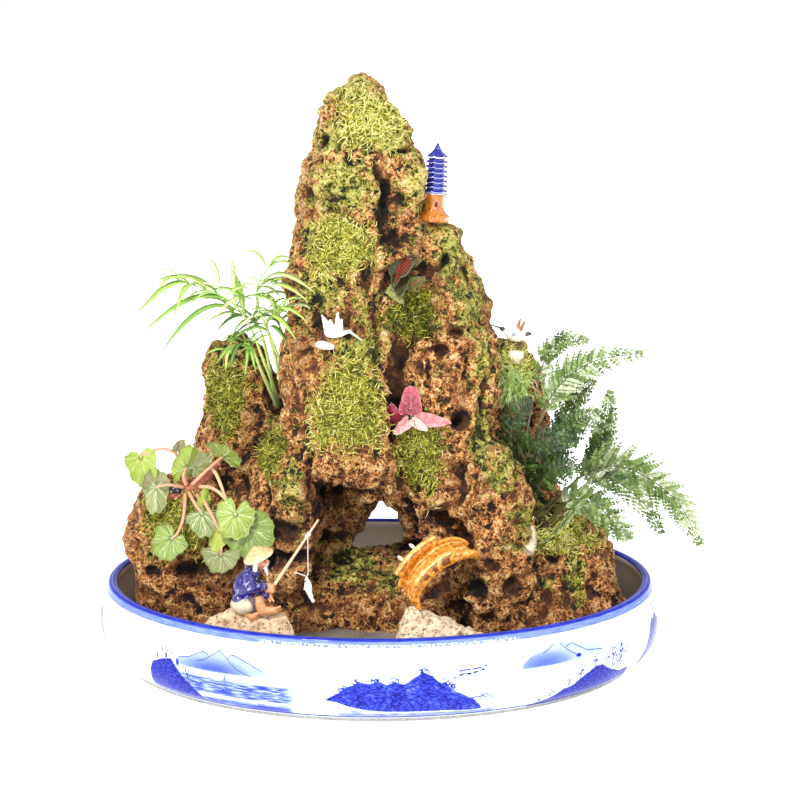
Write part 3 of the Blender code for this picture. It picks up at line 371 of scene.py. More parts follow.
class Clay:  # lumps pressed together into one smooth body, each with its own glaze
    def __init__(self, soft, low, high):
        self.soft, self.lumps = soft, []
        self.low, self.high = np.array(low, float), np.array(high, float)

    def ball(self, tint, middle, halves, turn=0):  # turn leans it about the front-to-back axis
        spin = np.array(Matrix.Rotation(math.radians(turn), 3, "Y"))
        middle, halves = np.array(middle, float), np.array(halves, float)

        def away(points):
            local = ((points - middle) @ spin) / halves
            length = np.linalg.norm(local, axis=1)
            slope = np.linalg.norm(local / halves, axis=1)
            return length * (length - 1) / np.maximum(slope, 1e-6)

        self.lumps.append((away, tint))

    def limb(self, tint, start, end, first, last, flat=1.0):
        start, end = np.array(start, float), np.array(end, float)
        ahead, side = end - start, np.array((0.0, 1.0, 0.0))

        def away(points):
            there = points - start
            share = np.clip(there @ ahead / (ahead @ ahead), 0, 1)
            off = there - share[:, None] * ahead
            if flat != 1.0:
                off = off + (off @ side)[:, None] * side * (1 / flat - 1)
            return np.linalg.norm(off, axis=1) - (first + (last - first) * share)

        self.lumps.append((away, tint))

    def body(self, step):
        axes = [np.arange(self.low[i], self.high[i] + step, step) for i in range(3)]
        grid = np.stack(np.meshgrid(*axes, indexing="ij"), -1).reshape(-1, 3)
        value = self.joined(self.each(grid))
        points, faces = netted(value.reshape([len(a) for a in axes]), axes)
        nudge, fullStep, blend = 0.05, 0.9, 0.22
        for _ in range(3):  # brings the points onto the smooth surface
            there = self.joined(self.each(points))
            slope = [self.joined(self.each(points + np.eye(3)[i] * nudge)) - there for i in range(3)]
            slope = np.stack(slope, 1) / nudge
            points -= slope * (there / np.maximum((slope * slope).sum(1), 0.2))[:, None] * fullStep
        each = self.each(points)
        near = np.exp(-(each - each.min(1, keepdims=True)) / blend)
        colours = (near / near.sum(1, keepdims=True)) @ np.array([tint for _, tint in self.lumps])
        return points, faces, colours

    def each(self, points):  # how far the points lie outside each lump
        return np.stack([away(points) for away, _ in self.lumps], 1)

    def joined(self, each):
        low = each.min(1)
        return low - self.soft * 0.25 * np.log(np.exp(-(each - low[:, None]) * 4 / self.soft).sum(1))


def netted(value, axes):
    # the surface where the grid's value passes through 0: one point in each cell it crosses
    inside = value < 0
    nx, ny, nz = value.shape
    count = np.zeros((nx - 1, ny - 1, nz - 1))
    total = np.zeros((nx - 1, ny - 1, nz - 1, 3))
    coords = np.stack(np.meshgrid(*axes, indexing="ij"), -1)
    for axis in range(3):
        ahead, back = [slice(None)] * 3, [slice(None)] * 3
        ahead[axis], back[axis] = slice(1, None), slice(None, -1)
        cross = inside[tuple(ahead)] != inside[tuple(back)]
        a, b = value[tuple(back)], value[tuple(ahead)]
        share = np.where(cross, a / np.where(cross, a - b, 1), 0)[..., None]
        spot = coords[tuple(back)] * (1 - share) + coords[tuple(ahead)] * share
        others = [i for i in range(3) if i != axis]
        for du, dv in np.ndindex(2, 2):
            cut = [slice(None)] * 3
            cut[others[0]] = slice(du, value.shape[others[0]] - 1 + du)
            cut[others[1]] = slice(dv, value.shape[others[1]] - 1 + dv)
            mark = cross[tuple(cut)]
            count += mark
            total += spot[tuple(cut)] * mark[..., None]
    used = count > 0
    number = np.full(used.shape, -1)
    number[used] = np.arange(used.sum())
    points = total[used] / count[used][:, None]
    faces = []
    for axis in range(3):
        ahead, back = [slice(None)] * 3, [slice(None)] * 3
        ahead[axis], back[axis] = slice(1, None), slice(None, -1)
        others = [i for i in range(3) if i != axis]
        for i in others:
            ahead[i] = back[i] = slice(1, -1)
        a, b = inside[tuple(back)], inside[tuple(ahead)]
        spots = np.argwhere(a != b)
        if not len(spots):
            continue
        outward = a[tuple(spots.T)]
        spots[:, others] += 1
        ring = []
        for du, dv in ((-1, -1), (0, -1), (0, 0), (-1, 0)):
            cell = spots.copy()
            cell[:, others[0]] += du
            cell[:, others[1]] += dv
            ring.append(number[tuple(cell.T)])
        ring = np.stack(ring, 1)
        flip = outward if axis != 1 else ~outward
        ring[~flip] = ring[~flip][:, ::-1]
        faces.append(ring)
    return points, [np.concatenate(faces)]


glazes = {  # colour, then how glossy it is
    # the pale glaze after robe is a painted highlight, laid on as the robe's glints
    "robe": ((0.010, 0.003, 0.15), 1.0), "paintedGlint": ((0.62, 0.66, 0.90), 1.0), "skin": ((0.70, 0.31, 0.13), 0.55),
    # face is the skin glaze darkened: painted shade under the hat
    "face": ((0.46, 0.16, 0.06), 0.5), "hat": ((0.70, 0.46, 0.22), 0.5),
    "brim": ((0.78, 0.58, 0.34), 0.5), "hair": ((0.88, 0.87, 0.85), 0.6), "cloth": ((0.62, 0.53, 0.38), 0.6),
    "shade": ((0.10, 0.05, 0.07), 0.4),
    "white": ((0.88, 0.86, 0.82), 0.5), "cream": ((0.78, 0.70, 0.58), 0.35), "black": ((0.015, 0.012, 0.012), 0.5),
    "brown": ((0.33, 0.11, 0.03), 0.4),
    "wire": ((0.10, 0.012, 0.014), 0.4), "eye": ((0.03, 0.02, 0.015), 0.6), "pink": ((0.80, 0.62, 0.56), 0.5),
    "blueGrey": ((0.25, 0.30, 0.42), 0.8),
}


def tinted(name):
    return (*glazes[name][0], glazes[name][1])


def figureLook(p):
    place = p.place()
    base, gloss = p.shade("glaze"), p.held("gloss")
    mottle = place.noise(2.2, 3)
    speck = place.noise(0.7, 2).step(0.62, 0.70) * 0.18
    pooled = place.noise(3.5, 2).step(0.55, 0.35) * 0.22
    colour = base.mix(speck, (0.10, 0.06, 0.03)).mix((mottle - 0.5).most(0.0) * 0.35, (0.9, 0.88, 0.86))
    colour = colour.mix(pooled * gloss, (0.01, 0.008, 0.02))
    return {
        "Base Color": colour, "Roughness": 0.62 - gloss * 0.5 + mottle * 0.08, "Coat Weight": gloss * 0.6,
        "Normal": p.bump(mottle, 0.35),
    }


def stepped(place, step, i):  # the place i steps on in y and z
    return place[0], place[1] + i * step[0], place[2] + i * step[1]


def moulded(spec, y=0.0):
    # one clay body; each lump is its glaze, then a ball's middle, halves and turn,
    # or a limb's two ends and radii, then how flat it is or how many stand in a row and their steps
    low, high = ((x, y + beside, z) for x, beside, z in spec["room"])
    body = Clay(spec["soft"], low, high)
    for glaze, first, second, *rest in spec["lumps"]:
        first = (first[0], y + first[1], first[2])
        if len(rest) < 2:
            body.ball(tinted(glaze), first, second, *rest)
            continue
        second = (second[0], y + second[1], second[2])
        count, firstStep, secondStep = 1, (0, 0), (0, 0)
        if len(rest) > 3:  # a row of fingers or toes
            rest, (count, firstStep, secondStep) = rest[:2], rest[2:]
        for i in range(count):
            body.limb(tinted(glaze), stepped(first, firstStep, i), stepped(second, secondStep, i), *rest)
    return body.body(spec["step"])


def figurePiece(name, parts, look, slot, stands):
    # parts: points, faces and a colour with gloss for each point, or one for all
    points, faces = gathered([part[:2] for part in parts])
    colours = np.concatenate([np.broadcast_to(np.array(part[2], float), (len(part[0]), 4)) for part in parts])
    return piece(name, meshFrom(name, points, faces), look, slot, stands, glaze=colours[:, :3], gloss=colours[:, 3])


fishSpec = dict(
    soft=0.9, step=0.408, room=((-54, -111, 64), (-38, -102, 88)),
    lumps=[
        ("white", (-46.4, -106.6, 77.2), (2.5, 1.8, 5.4), -6), ("white", (-45.0, -106.6, 71.6), (1.7, 1.3, 3.4), -16),
        ("white", (-47.4, -106.6, 82.0), (-47.3, -106.6, 83.6), 1.4, 0.8),
        ("white", (-44.0, -106.6, 69.0), (-43.3, -106.6, 67.6), 0.9, 1.3),
        ("pink", (-48.4, -106.6, 77.5), (-49.2, -106.6, 75.2), 0.6, 0.4),
        ("eye", (-47.9, -108.0, 81.4), (0.45, 0.45, 0.45)),
    ],
)


def makeFish(look):
    points, faces, colours = moulded(fishSpec)
    scales = 0.12 * np.sin(points[:, 2] * 3.2) * (points[:, 2] < 80)
    parts = [(points + (0, 1, 0) * scales[:, None], faces, colours)]
    return figurePiece("fish_body", parts, look, "white_glaze", ["fish"])


figureFinish = finish("figure_glaze", figureLook, Coat_Roughness=0.1)
fish = makeFish(figureFinish)



def threadLook(p):
    place = p.place()
    twist = (place.axis(2) * 9.0 + place.axis(0) * 5.0).sine() * 0.5 + 0.5
    fluff = place.noise(0.5, 2)
    colour = (twist * 0.4 + fluff * 0.6).ramp((0.3, (0.58, 0.54, 0.57)), (0.65, (0.86, 0.83, 0.86)))
    return {"Base Color": colour, "Roughness": fluff * 0.2 + 0.6, "Normal": p.bump(twist, 0.08)}


def makeThread():
    route = np.array(threadSpec["route"])
    tube = tubes([route], np.full((1, len(route)), threadSpec["diameter"] / 2), 12)
    mesh = meshFrom("fishing_thread", tube[0], tube[1])
    obj = piece("fishing_thread", mesh, finish("twisted_thread", threadLook), "thread", ["fishing_line"])


makeThread()


rockSpec = dict(
    coarseVoxel=2.0, fineVoxel=1.3, triangles=162000,
    lumps=((28, 3.6), (13, 2.4), (6.5, 1.0)),  # width of the lumps and how far they stand out
    crags=((21, 3.4), (9, 2.4), (5, 1.3)),
    pores=((10.0, 0.23, 0.22, 3.4), (5.2, 0.29, 0.34, 2.2), (3.3, 0.35, 0.45, 1.5)),  # spacing, radius, share, depth
    # no lumps where pieces stand
    quiet=((40, 8, 306, 15), (-36.8, -40, 226, 7), (98, 34, 206, 7), (-88, -103, 30, 10)),
    # the tray's half width and depth, how near the left foot comes to its wall
    oval=(198, 154), nearWall=(0.88, 0.13),
    wall=(186.8, 0.84, 0.965),  # the wall's narrowest half width, its share in depth, and how near any of it comes
    hollows=(  # x, z, half width, half height, turn, how deep; a negative one stands out
        (-37, 365, 4, 5, 0, 7), (-24, 366.5, 3, 3, 0, 4), (-8, 359.5, 4.5, 4, 20, 9), (-20, 350, 5, 3, -30, 4),
        (-13, 353, 3, 3, 0, 4), (14, 357, 10, 2.6, 8, 8), (-1, 344, 3, 9, 20, 9), (5, 331, 4, 10, 0, 14),
        (3, 312, 6, 16, 5, 10), (9, 296, 8, 12, 0, 8), (24, 336, 9, 15, 0, -5), (15.7, 288, 10, 5, 30, -5),
        (-46, 330, 5, 4, 0, 4), (-52, 300, 5, 6, 0, 4), (-38, 320, 6, 4, 20, -3), (46, 283, 3.4, 6, 0, 8),
        (53, 234, 6, 4, 0, 9), (43.5, 221, 5, 5, 0, 8), (34, 205, 2.4, 12, 5, 6), (31.6, 225, 5, 5, 0, -7),
        (55, 170, 5, 5, 0, 9), (49.5, 277, 7, 6, 0, -4), (-28, 212, 9, 5, 0, -4), (-20, 206, 3, 8, 0, 4),
        (-2, 250, 4, 22, 0, 5), (-1, 215, 3, 20, 0, 4), (12, 205, 9, 34, 0, 6), (-158, 69, 6, 4, 0, 7),
        (-122, 72, 26, 7, 5, 9), (-71, 78, 12, 8, 0, 9), (-15, 143, 26, 13, 0, -8), (-19, 126, 24, 5, 0, 11),
        (43, 103, 14, 7, 0, 14), (42, 118, 13, 6, 10, -6), (-45, 80, 26, 5, 0, 12), (-43, 112, 3, 24, -6, 9),
        (-60, 120, 10, 26, 0, -4), (67, 62, 8, 9, 30, 11), (77, 79, 6, 4, -20, 8),
        (92, 64, 7, 8, 40, 11), (120, 80, 5, 5, 0, 9), (103, 86, 12, 3, -5, -5), (84, 89, 9, 3, 20, -4),
        (119, 90, 8, 3, -20, -5), (39, 50, 20, 2.4, 35, 5), (52, 56, 18, 2.4, 38, 5), (62, 48, 20, 2.6, 30, 5),
        (84, 143, 5, 4, 0, 4), (92, 126, 4, 4, 0, 5), (78, 120, 5, 5, 0, 4), (104, 60, 10, 2.5, 70, 4),
        (128, 60, 3, 16, 0, 4), (147, 62, 4, 14, 0, 4), (-112, 95, 3, 10, 0, 4), (-90, 118, 4, 8, 10, 5),
        (-62, 120, 8, 20, 0, -3), (-48, 140, 3, 24, -4, 5), (-76, 120, 3, 22, 6, 5), (-100, 190, 3, 14, 0, 4),
        (-116, 205, 4, 6, 0, 4), (72, 190, 3, 20, -3, 3), (66, 140, 3, 24, 0, 4), (58, 128, 3, 16, 0, 4),
        (20, 110, 3, 10, 0, 4), (26, 92, 3, 16, 0, 5), (34, 98, 2.5, 14, 0, 4),
        (18, 276, 15, 11, 0, 12), (5, 268, 5, 9, -20, 7), (57, 173, 7, 8, 20, 13), (12, 164, 8, 6, 0, 9),
        (-36, 118, 13, 20, 0, 9),
        (15, 300, 12, 7, -20, 7), (10, 322, 9, 12, 0, 6), (-66, 99, 13, 9, -20, 12), (-86, 94, 9, 6, 10, 10),
    ),
    dust=(  # x, z, half width, half height and strength of each green patch
        (-25, 398, 22, 12, 0.9), (0, 380, 26, 16, 1.1), (-30, 366, 24, 10, 0.9), (12, 366, 14, 12, 0.9),
        (-22, 334, 24, 18, 1.0), (24, 334, 12, 22, 0.8), (-47, 300, 9, 14, 0.7), (-12, 310, 12, 14, 0.5),
        (-42, 262, 18, 18, 0.9), (-14, 252, 14, 20, 0.6), (-14, 222, 18, 14, 0.9), (-8, 196, 14, 20, 0.7),
        (50, 286, 12, 20, 1.0), (63, 250, 12, 26, 0.8), (71, 212, 10, 28, 0.6), (72, 165, 9, 28, 0.8),
        (44, 240, 8, 10, 0.4), (-110, 195, 16, 26, 0.9), (-73, 150, 10, 22, 0.7), (-61, 132, 12, 24, 0.6),
        (-60, 98, 8, 12, 0.5), (-22, 62, 18, 9, 0.9), (6, 56, 14, 9, 0.6), (-44, 74, 10, 8, 0.4),
        (84, 140, 16, 15, 0.8),
        (98, 112, 10, 10, 0.8), (118, 98, 24, 9, 1.1), (136, 72, 7, 20, 1.0), (92, 92, 12, 5, 0.6),
        (66, 66, 8, 8, 0.6),
        (116, 62, 10, 10, 0.4), (96, 208, 18, 12, 0.9), (-135, 108, 30, 10, 0.7), (10, 280, 12, 6, 0.5),
        (30, 300, 14, 8, 0.5),
    ),
)


def rockShape():
    mesh = nodes["tufa_rock"].data.copy()
    coarse, fine = rockSpec["coarseVoxel"] * mm, rockSpec["fineVoxel"] * mm
    mesh = applied(
        mesh,
        ("REMESH", dict(mode="VOXEL", voxel_size=coarse)),
        ("SMOOTH", dict(factor=0.5, iterations=10)),
    )
    points, normals = pointsOf(mesh), normalsOf(mesh)
    calm = np.ones(len(points))
    for x, y, z, reach in rockSpec["quiet"]:
        calm *= rise(np.linalg.norm(points - (x, y, z), axis=1), reach * 0.7, reach * 1.9)
    calm *= rise(points[:, 2], 8.5, 22)  # its foot stays on the tray's floor
    swirl = np.stack([cloud(points, 26, 3 + i, 2) for i in range(3)], 1) * 7
    moved = 0.0
    for number, (size, stand) in enumerate(rockSpec["lumps"]):
        first, second, own = cobbles((points + swirl) * (1, 1, 0.8), size, 11 + number)
        crown = 1 - (first / (size * 0.62)) ** 2
        crease = rise(second - first, 0, size * 0.16) - 1
        moved = moved + stand * (0.4 * crown + 0.6 * crease + (own[:, 0] - 0.5) * 0.9)
    for number, (size, stand) in enumerate(rockSpec["crags"]):
        sharp = 1 - 2 * np.abs(cloud((points + swirl) * (1, 1, 0.75), size, 71 + number))
        moved = moved + stand * sharp * 0.8
    front = rise(-normals[:, 1], 0.05, 0.45) * (points[:, 1] < 45)
    moved = moved - front * sum(deep * there for there, deep in hollowsAt(points))
    points = points + normals * (moved * calm)[:, None]
    wide, deep = rockSpec["oval"]
    reach = np.hypot(points[:, 0] / wide, points[:, 1] / deep)  # 1 at the tray's wall
    near, nearer = rockSpec["nearWall"]
    free = near - nearer * rise(points[:, 0], -172, -105)
    low = rise(-points[:, 0], 62, 88) * rise(-points[:, 1], -60, -28) * rise(-points[:, 2], -84, -64)
    points[:, :2] *= 1 + low[:, None] * (np.minimum(1, free / reach) - 1)[:, None]
    wide, share, most = rockSpec["wall"]
    reach = np.hypot(points[:, 0], points[:, 1] / share) / wide  # 1 at the wall where it is narrowest
    points[:, :2] *= 1 + rise(-points[:, 2], -92, -72)[:, None] * (np.minimum(1, most / reach) - 1)[:, None]
    setPoints(mesh, points)
    mesh = applied(mesh, ("REMESH", dict(mode="VOXEL", voxel_size=fine)), ("SMOOTH", dict(factor=0.5, iterations=1)))
    mesh.calc_loop_triangles()
    points, normals = pointsOf(mesh), normalsOf(mesh)
    foot = rise(points[:, 2], 8.2, 14)
    swirl = swirlOf(points)
    strands = np.minimum(np.abs(cloud(points + 1.5 * swirl, 3.4, 9)), 1.2 * np.abs(cloud(points + swirl, 5.5, 19)))
    moved = 0.5 * cloud(points, 3.0, 7) + 0.4 * cloud(points, 5.2, 8) - 1.2 * np.minimum(strands, 0.45) + 0.2
    busy = 0.5 + 0.9 * rise(cloud(points, 30, 5, 2), -0.5, 0.4)  # some of it is far more open than the rest
    for number, (size, radius, share, deep) in enumerate(rockSpec["pores"]):
        first, _, own = cobbles(points + 0.5 * swirl * (1, 1, 1.6), size, 31 + number)
        wide = size * radius * (0.55 + 0.6 * own[:, 1])
        pore = (own[:, 0] < share * busy) * np.sqrt(np.clip(1 - (first / wide) ** 2, 0, 1))
        moved = moved - pore * deep * (0.6 + 0.6 * own[:, 2])
    setPoints(mesh, points + normals * (moved * foot)[:, None])
    count = len(mesh.loop_triangles)
    ratio = min(1, rockSpec["triangles"] / count)
    return largestPart(applied(mesh, ("DECIMATE", dict(ratio=ratio, use_collapse_triangulate=True))))


def hollowsAt(points):  # how much of each hollow lies at each point, with its depth
    for x, z, wide, high, turn, deep in rockSpec["hollows"]:
        a = math.radians(turn)
        right, up = points[:, 0] - x, points[:, 2] - z
        along, across = right * math.cos(a) + up * math.sin(a), up * math.cos(a) - right * math.sin(a)
        yield np.clip(1.15 - ((along / wide) ** 2 + (across / high) ** 2), 0, 1), deep


def swirlOf(points):
    return np.stack([cloud(points, 5, 43 + i) for i in range(3)], 1) * 3


def edgesOf(mesh):  # the points at each edge's start, and those at its end
    edges = np.empty(len(mesh.edges) * 2, np.int32)
    mesh.edges.foreach_get("vertices", edges)
    return edges.reshape(-1, 2).T


def largestPart(mesh):  # the mesh without any loose crumbs
    a, b = edgesOf(mesh)
    label = np.arange(len(mesh.vertices))
    while True:
        low = np.minimum(label[a], label[b])
        before = label.copy()
        np.minimum.at(label, a, low)
        np.minimum.at(label, b, low)
        label = label[label]
        if (label == before).all():
            break
    names, counts = np.unique(label, return_counts=True)
    extra = np.flatnonzero(label != names[counts.argmax()])
    if len(extra):
        shape = bmesh.new()
        shape.from_mesh(mesh)
        shape.verts.ensure_lookup_table()
        bmesh.ops.delete(shape, geom=[shape.verts[i] for i in extra], context="VERTS")
        shape.to_mesh(mesh)
        shape.free()
    return mesh


def sunkBelow(mesh, rounds):  # how far each point lies under the surface evened out around it
    points, normals = pointsOf(mesh), normalsOf(mesh)
    a, b = edgesOf(mesh)
    count = np.bincount(a, minlength=len(points)) + np.bincount(b, minlength=len(points))
    even = points.copy()
    for _ in range(rounds):
        total = np.stack(
            [np.bincount(a, even[b, i], len(points)) + np.bincount(b, even[a, i], len(points)) for i in range(3)], 1
        )
        even = 0.35 * even + 0.65 * total / np.maximum(count, 1)[:, None]
    return ((even - points) * normals).sum(1)


def dustOn(points, normals):
    green = 0.02 + 0.26 * rise(points[:, 2], 90, 300)
    for x, z, wide, high, strength in rockSpec["dust"]:
        reach = ((points[:, 0] - x) / wide) ** 2 + ((points[:, 2] - z) / high) ** 2
        green = np.maximum(green, strength * np.exp(-reach * 0.8))
    green += 0.26 * cloud(points, 12, 61, 3) + 0.12 * rise(normals[:, 2], 0, 0.8)
    return np.clip(green, 0, 1.2)


def rockLook(p):
    place = p.place()
    pit, hollow, green, damp = p.held("pit"), p.held("hollow"), p.held("green"), p.held("damp")
    swirl = place.noise(3.6, 2, 0.6, 0, 1)
    curl = p.node("VectorMath", {"operation": "MULTIPLY_ADD"}, {0: swirl, 1: (5.0, 5.0, 5.0), 2: place})
    grain = place.noise(1.5, 3, 0.75)
    strands = abs(curl.noise(4.6, 2, 0.6) - 0.5).step(0.055, 0.015)  # pale roots and reeds turned to stone
    openness = place.noise(9, 3, 0.65).step(0.40, 0.60)
    gaps = curl.cells(2.5).step(0.46, 0.24) * (openness * 0.55 + 0.45)
    holes = curl.cells(6.4).step(0.40, 0.27) * (openness * 0.8 + 0.2)
    broad = place.noise(20, 3, 0.65)
    # painted shade: the stone is darkened in the shader's gaps and holes, in pits and hollows, more deeply in the
    # carved hollows, and a little low down
    level = (  # 0 where the stone is darkest and 1 where it is palest
        0.48 + place.axis(2).step(230, 370) * 0.11 - place.axis(2).step(120, 60) * 0.03 + strands * 0.22
        + (grain - 0.5) * 1.5 + (openness - 0.5) * -0.12 - gaps * 0.42 - holes * 0.42
        - pit * 0.15 - hollow.step(0.3, 3.6) * 0.40 - damp * 0.44
    )
    stone = level.ramp(
        (0.06, (0.010, 0.003, 0.001)), (0.26, (0.085, 0.024, 0.006)), (0.44, (0.34, 0.115, 0.026)),
        (0.60, (0.66, 0.26, 0.062)), (0.76, (0.92, 0.50, 0.17)), (0.94, (1.0, 0.80, 0.46)),
    )
    stone = stone.mix(broad.step(0.54, 0.38) * 0.5, (0.24, 0.075, 0.018))
    speck = (grain - 0.5) * 1.2 + (place.noise(5.5, 3, 0.7) - 0.5) * 2.2 + strands * 0.08
    mossy = (green + speck - gaps * 0.1).step(0.42, 0.66)
    leafy = (level + (place.noise(9, 3, 0.6) - 0.5) * 0.9).ramp(
        (0.10, (0.008, 0.011, 0.001)), (0.30, (0.06, 0.10, 0.005)), (0.47, (0.22, 0.31, 0.012)),
        (0.62, (0.44, 0.45, 0.05)), (0.82, (0.82, 0.74, 0.22)),
    )
    deepGreen = level.ramp((0.1, (0.006, 0.012, 0.001)), (0.4, (0.08, 0.17, 0.006)), (0.75, (0.36, 0.48, 0.06)))
    leafy = leafy.mix(place.noise(13, 2).step(0.46, 0.60) * 0.65, deepGreen)
    colour = stone.mix(mossy * 0.76, leafy)
    height = strands * 0.6 + grain * 1.3 - gaps * 1.3 - holes * 1.6 + (place.noise(3.6, 3, 0.7) - 0.5) * 2.4
    return {"Base Color": colour, "Normal": p.bump(height, 1.8)}


def makeRock():
    mesh = rockShape()
    points, normals = pointsOf(mesh), normalsOf(mesh)
    # how sunk each point is, and how deep in a carved hollow: the look paints shade by these
    pit, hollow = sunkBelow(mesh, 6), sunkBelow(mesh, 60)
    deepest = sum(there * (deep - 4) / 7 for there, deep in hollowsAt(points) if deep > 5)
    damp = np.clip(deepest, 0, 1) * (normals[:, 1] < 0.3)
    print("rock:", len(mesh.polygons), "triangles")
    return piece(
        "tufa_rock_surface", mesh, finish("tufa", rockLook, Roughness=0.95), "tufa", ["tufa_rock"],
        pit=pit, hollow=hollow, green=dustOn(points, normals), damp=damp,
    )


rock = makeRock()
rockTree = BVHTree.FromPolygons(pointsOf(rock.data).tolist(), [tuple(f.vertices) for f in rock.data.polygons])


def frontOf(x, z):  # the rock's surface straight behind this place, and the way it faces
    spot, normal, _, _ = rockTree.ray_cast(Vector((x, -400, z)), Vector((0, 1, 0)))
    return (np.array(spot), np.array(normal)) if spot else (None, None)


mossSpec = {  # x, z, half width, half height, how proud, strands, how bright from 0 to 1
    "moss_summit": (-6, 378, 25, 20, 2.4, 1104, 0.80),
    "moss_upper_face": (-26, 294, 21, 21, 4.5, 1564, 0.58),
    "moss_middle_face": (-22, 184, 26, 33, 4.0, 2208, 0.56),
    # the valley's and the palm foot's pads are painted dark: painted shade
    "moss_valley": (22, 246, 19, 17, 5.0, 1242, 0.20),
    "moss_right_face": (28, 148, 17, 24, 5.0, 1380, 0.42),
    "moss_left_peak": (-110, 178, 14, 24, 3.5, 920, 0.38),
    "moss_palm_foot": (-76, 155, 12, 17, 3.5, 598, 0.24),
    "moss_left_block": (-134, 101, 32, 19, 5.5, 1610, 0.42),
    "moss_right_block": (126, 95, 25, 13, 3.5, 966, 0.62),
    "moss_back_peak": (95, 203, 15, 12, 4.0, 598, 0.76),
}


def mossEdge(angle, seed):  # how far out a pad's ragged edge lies
    return 1 + 0.22 * np.sin(3 * angle + seed) + 0.13 * np.sin(7 * angle + 2 * seed)


def mossPad(x, z, wide, high, proud, count, bright, seed):
    rng = np.random.default_rng(seed)
    angle, reach = rng.uniform(0, 2 * math.pi, count), rng.uniform(0, 1, count) ** 0.6
    edge = mossEdge(angle, seed) + 0.22 * rng.normal(0, 1, count) * reach**2
    roots, normals, heights = [], [], []
    for a, r, e in zip(angle, reach, edge):
        spot, normal = frontOf(x + wide * r * e * math.cos(a), z + high * r * e * math.sin(a))
        if spot is not None:
            roots.append(spot)
            normals.append(normal)
            heights.append(proud * (1 - r * r) * rng.uniform(0, 1))
    roots, normals = np.array(roots), np.array(normals)
    middle = np.median(roots[:, 1])
    near = np.abs(roots[:, 1] - middle) < 16
    roots, normals, heights = roots[near], unit(normals[near] + (0, -0.5, 0.1)), np.array(heights)[near]
    n = len(roots)
    length = rng.uniform(1.4, 2.7, n)[:, None]
    heading = unit(normals * 0.55 + rng.normal(0, 0.75, (n, 3)))
    axis = unit(rng.normal(0, 1, (n, 3)) + normals * 0.6)
    curl = rng.uniform(0.25, 0.85, n)[:, None] * rng.choice((-1, 1), n)[:, None]
    path = [roots + normals * (heights[:, None] - 0.6)]
    for _ in range(3):
        path.append(path[-1] + heading * length)
        heading = unit(heading + np.cross(axis, heading) * curl + normals * 0.06 + rng.normal(0, 0.16, (n, 3)))
        heading -= normals * np.minimum(0, (heading * normals).sum(1) + 0.35)[:, None]  # it never dives into the rock
    thick = rng.uniform(0.24, 0.42, n)[:, None] * np.array((0.95, 1.0, 0.9, 0.45))
    points, faces, share = tubes(np.stack(path, 1), thick, 3)
    tint = np.repeat(np.clip(bright + rng.normal(0, 0.25, n), 0, 1), len(points) // n)
    return (points, faces), tint * (0.72 + 0.28 * np.sin(share * 2.2)), middle


def mossBed(x, z, wide, high, proud, middle, seed):  # the matted cushion that the strands grow from
    rings, turns = 8, 28
    front = np.zeros((rings, turns, 3))
    for j in range(turns):
        a = 2 * math.pi * j / turns
        edge = mossEdge(a, seed)
        end, last = 1.0, middle
        for i in range(12):  # as far out as the rock goes on
            r = i / 11
            spot, _ = frontOf(x + wide * r * edge * math.cos(a), z + high * r * edge * math.sin(a))
            if spot is None or abs(spot[1] - last) > 9:
                end = max(r - 0.16, 0.05)
                break
            last = spot[1]
        for i in range(rings):
            r = (i + 0.02) / (rings - 1) * end
            px, pz = x + wide * r * edge * math.cos(a), z + high * r * edge * math.sin(a)
            spot, _ = frontOf(px, pz)
            y = middle if spot is None else spot[1]
            front[i, j] = px, y - proud * 0.7 * (1 - r**2.5) * (1 - (r / end) ** 4) + 2.2 * (r / end) ** 6, pz
    front = front.reshape(-1, 3)
    front[:, 1] += 0.9 * cloud(front, 3.5, seed)
    back = front + (0, 4.5, 0)
    band = rows(rings, turns)
    rim = (rings - 1) * turns + np.arange(turns)
    n = len(front)
    nextRim = np.roll(rim, -1)
    side = np.stack([rim, nextRim, nextRim + n, rim + n], 1)
    ends = [list(range(turns))], [list(range(turns + n - 1, n - 1, -1))]
    return np.vstack([front, back]), [band[:, ::-1], band + n, side, *ends]


def mossLook(p):
    tint, place = p.held("tint"), p.place()
    tint = tint + (place.noise(3, 2) - 0.5) * 0.5 + (place.noise(14, 2) - 0.5) * 0.5
    colour = tint.ramp(
        (0.0, (0.05, 0.05, 0.004)), (0.25, (0.22, 0.23, 0.012)), (0.48, (0.49, 0.49, 0.04)),
        (0.68, (0.76, 0.72, 0.15)), (0.9, (0.94, 0.87, 0.38)),
    )
    return {"Base Color": colour, "Normal": p.bump(place.noise(0.6, 2), 0.3)}


def makeMoss():
    look, total = finish("sheet_moss", mossLook, Roughness=0.85), 0
    for number, (name, spec) in enumerate(mossSpec.items()):
        strands, tint, middle = mossPad(*spec, seed=number + 1)
        bed = mossBed(*spec[:5], middle, number + 1)
        points, faces = gathered([strands, bed])
        tint = np.concatenate([tint, np.full(len(bed[0]), spec[6] * 0.2)])
        mesh = meshFrom(name + "_strands", points, faces)
        piece(name + "_strands", mesh, look, "moss", [name], tint=tint)
        total += trianglesOf(faces)
    print("moss:", total, "triangles")


makeMoss()


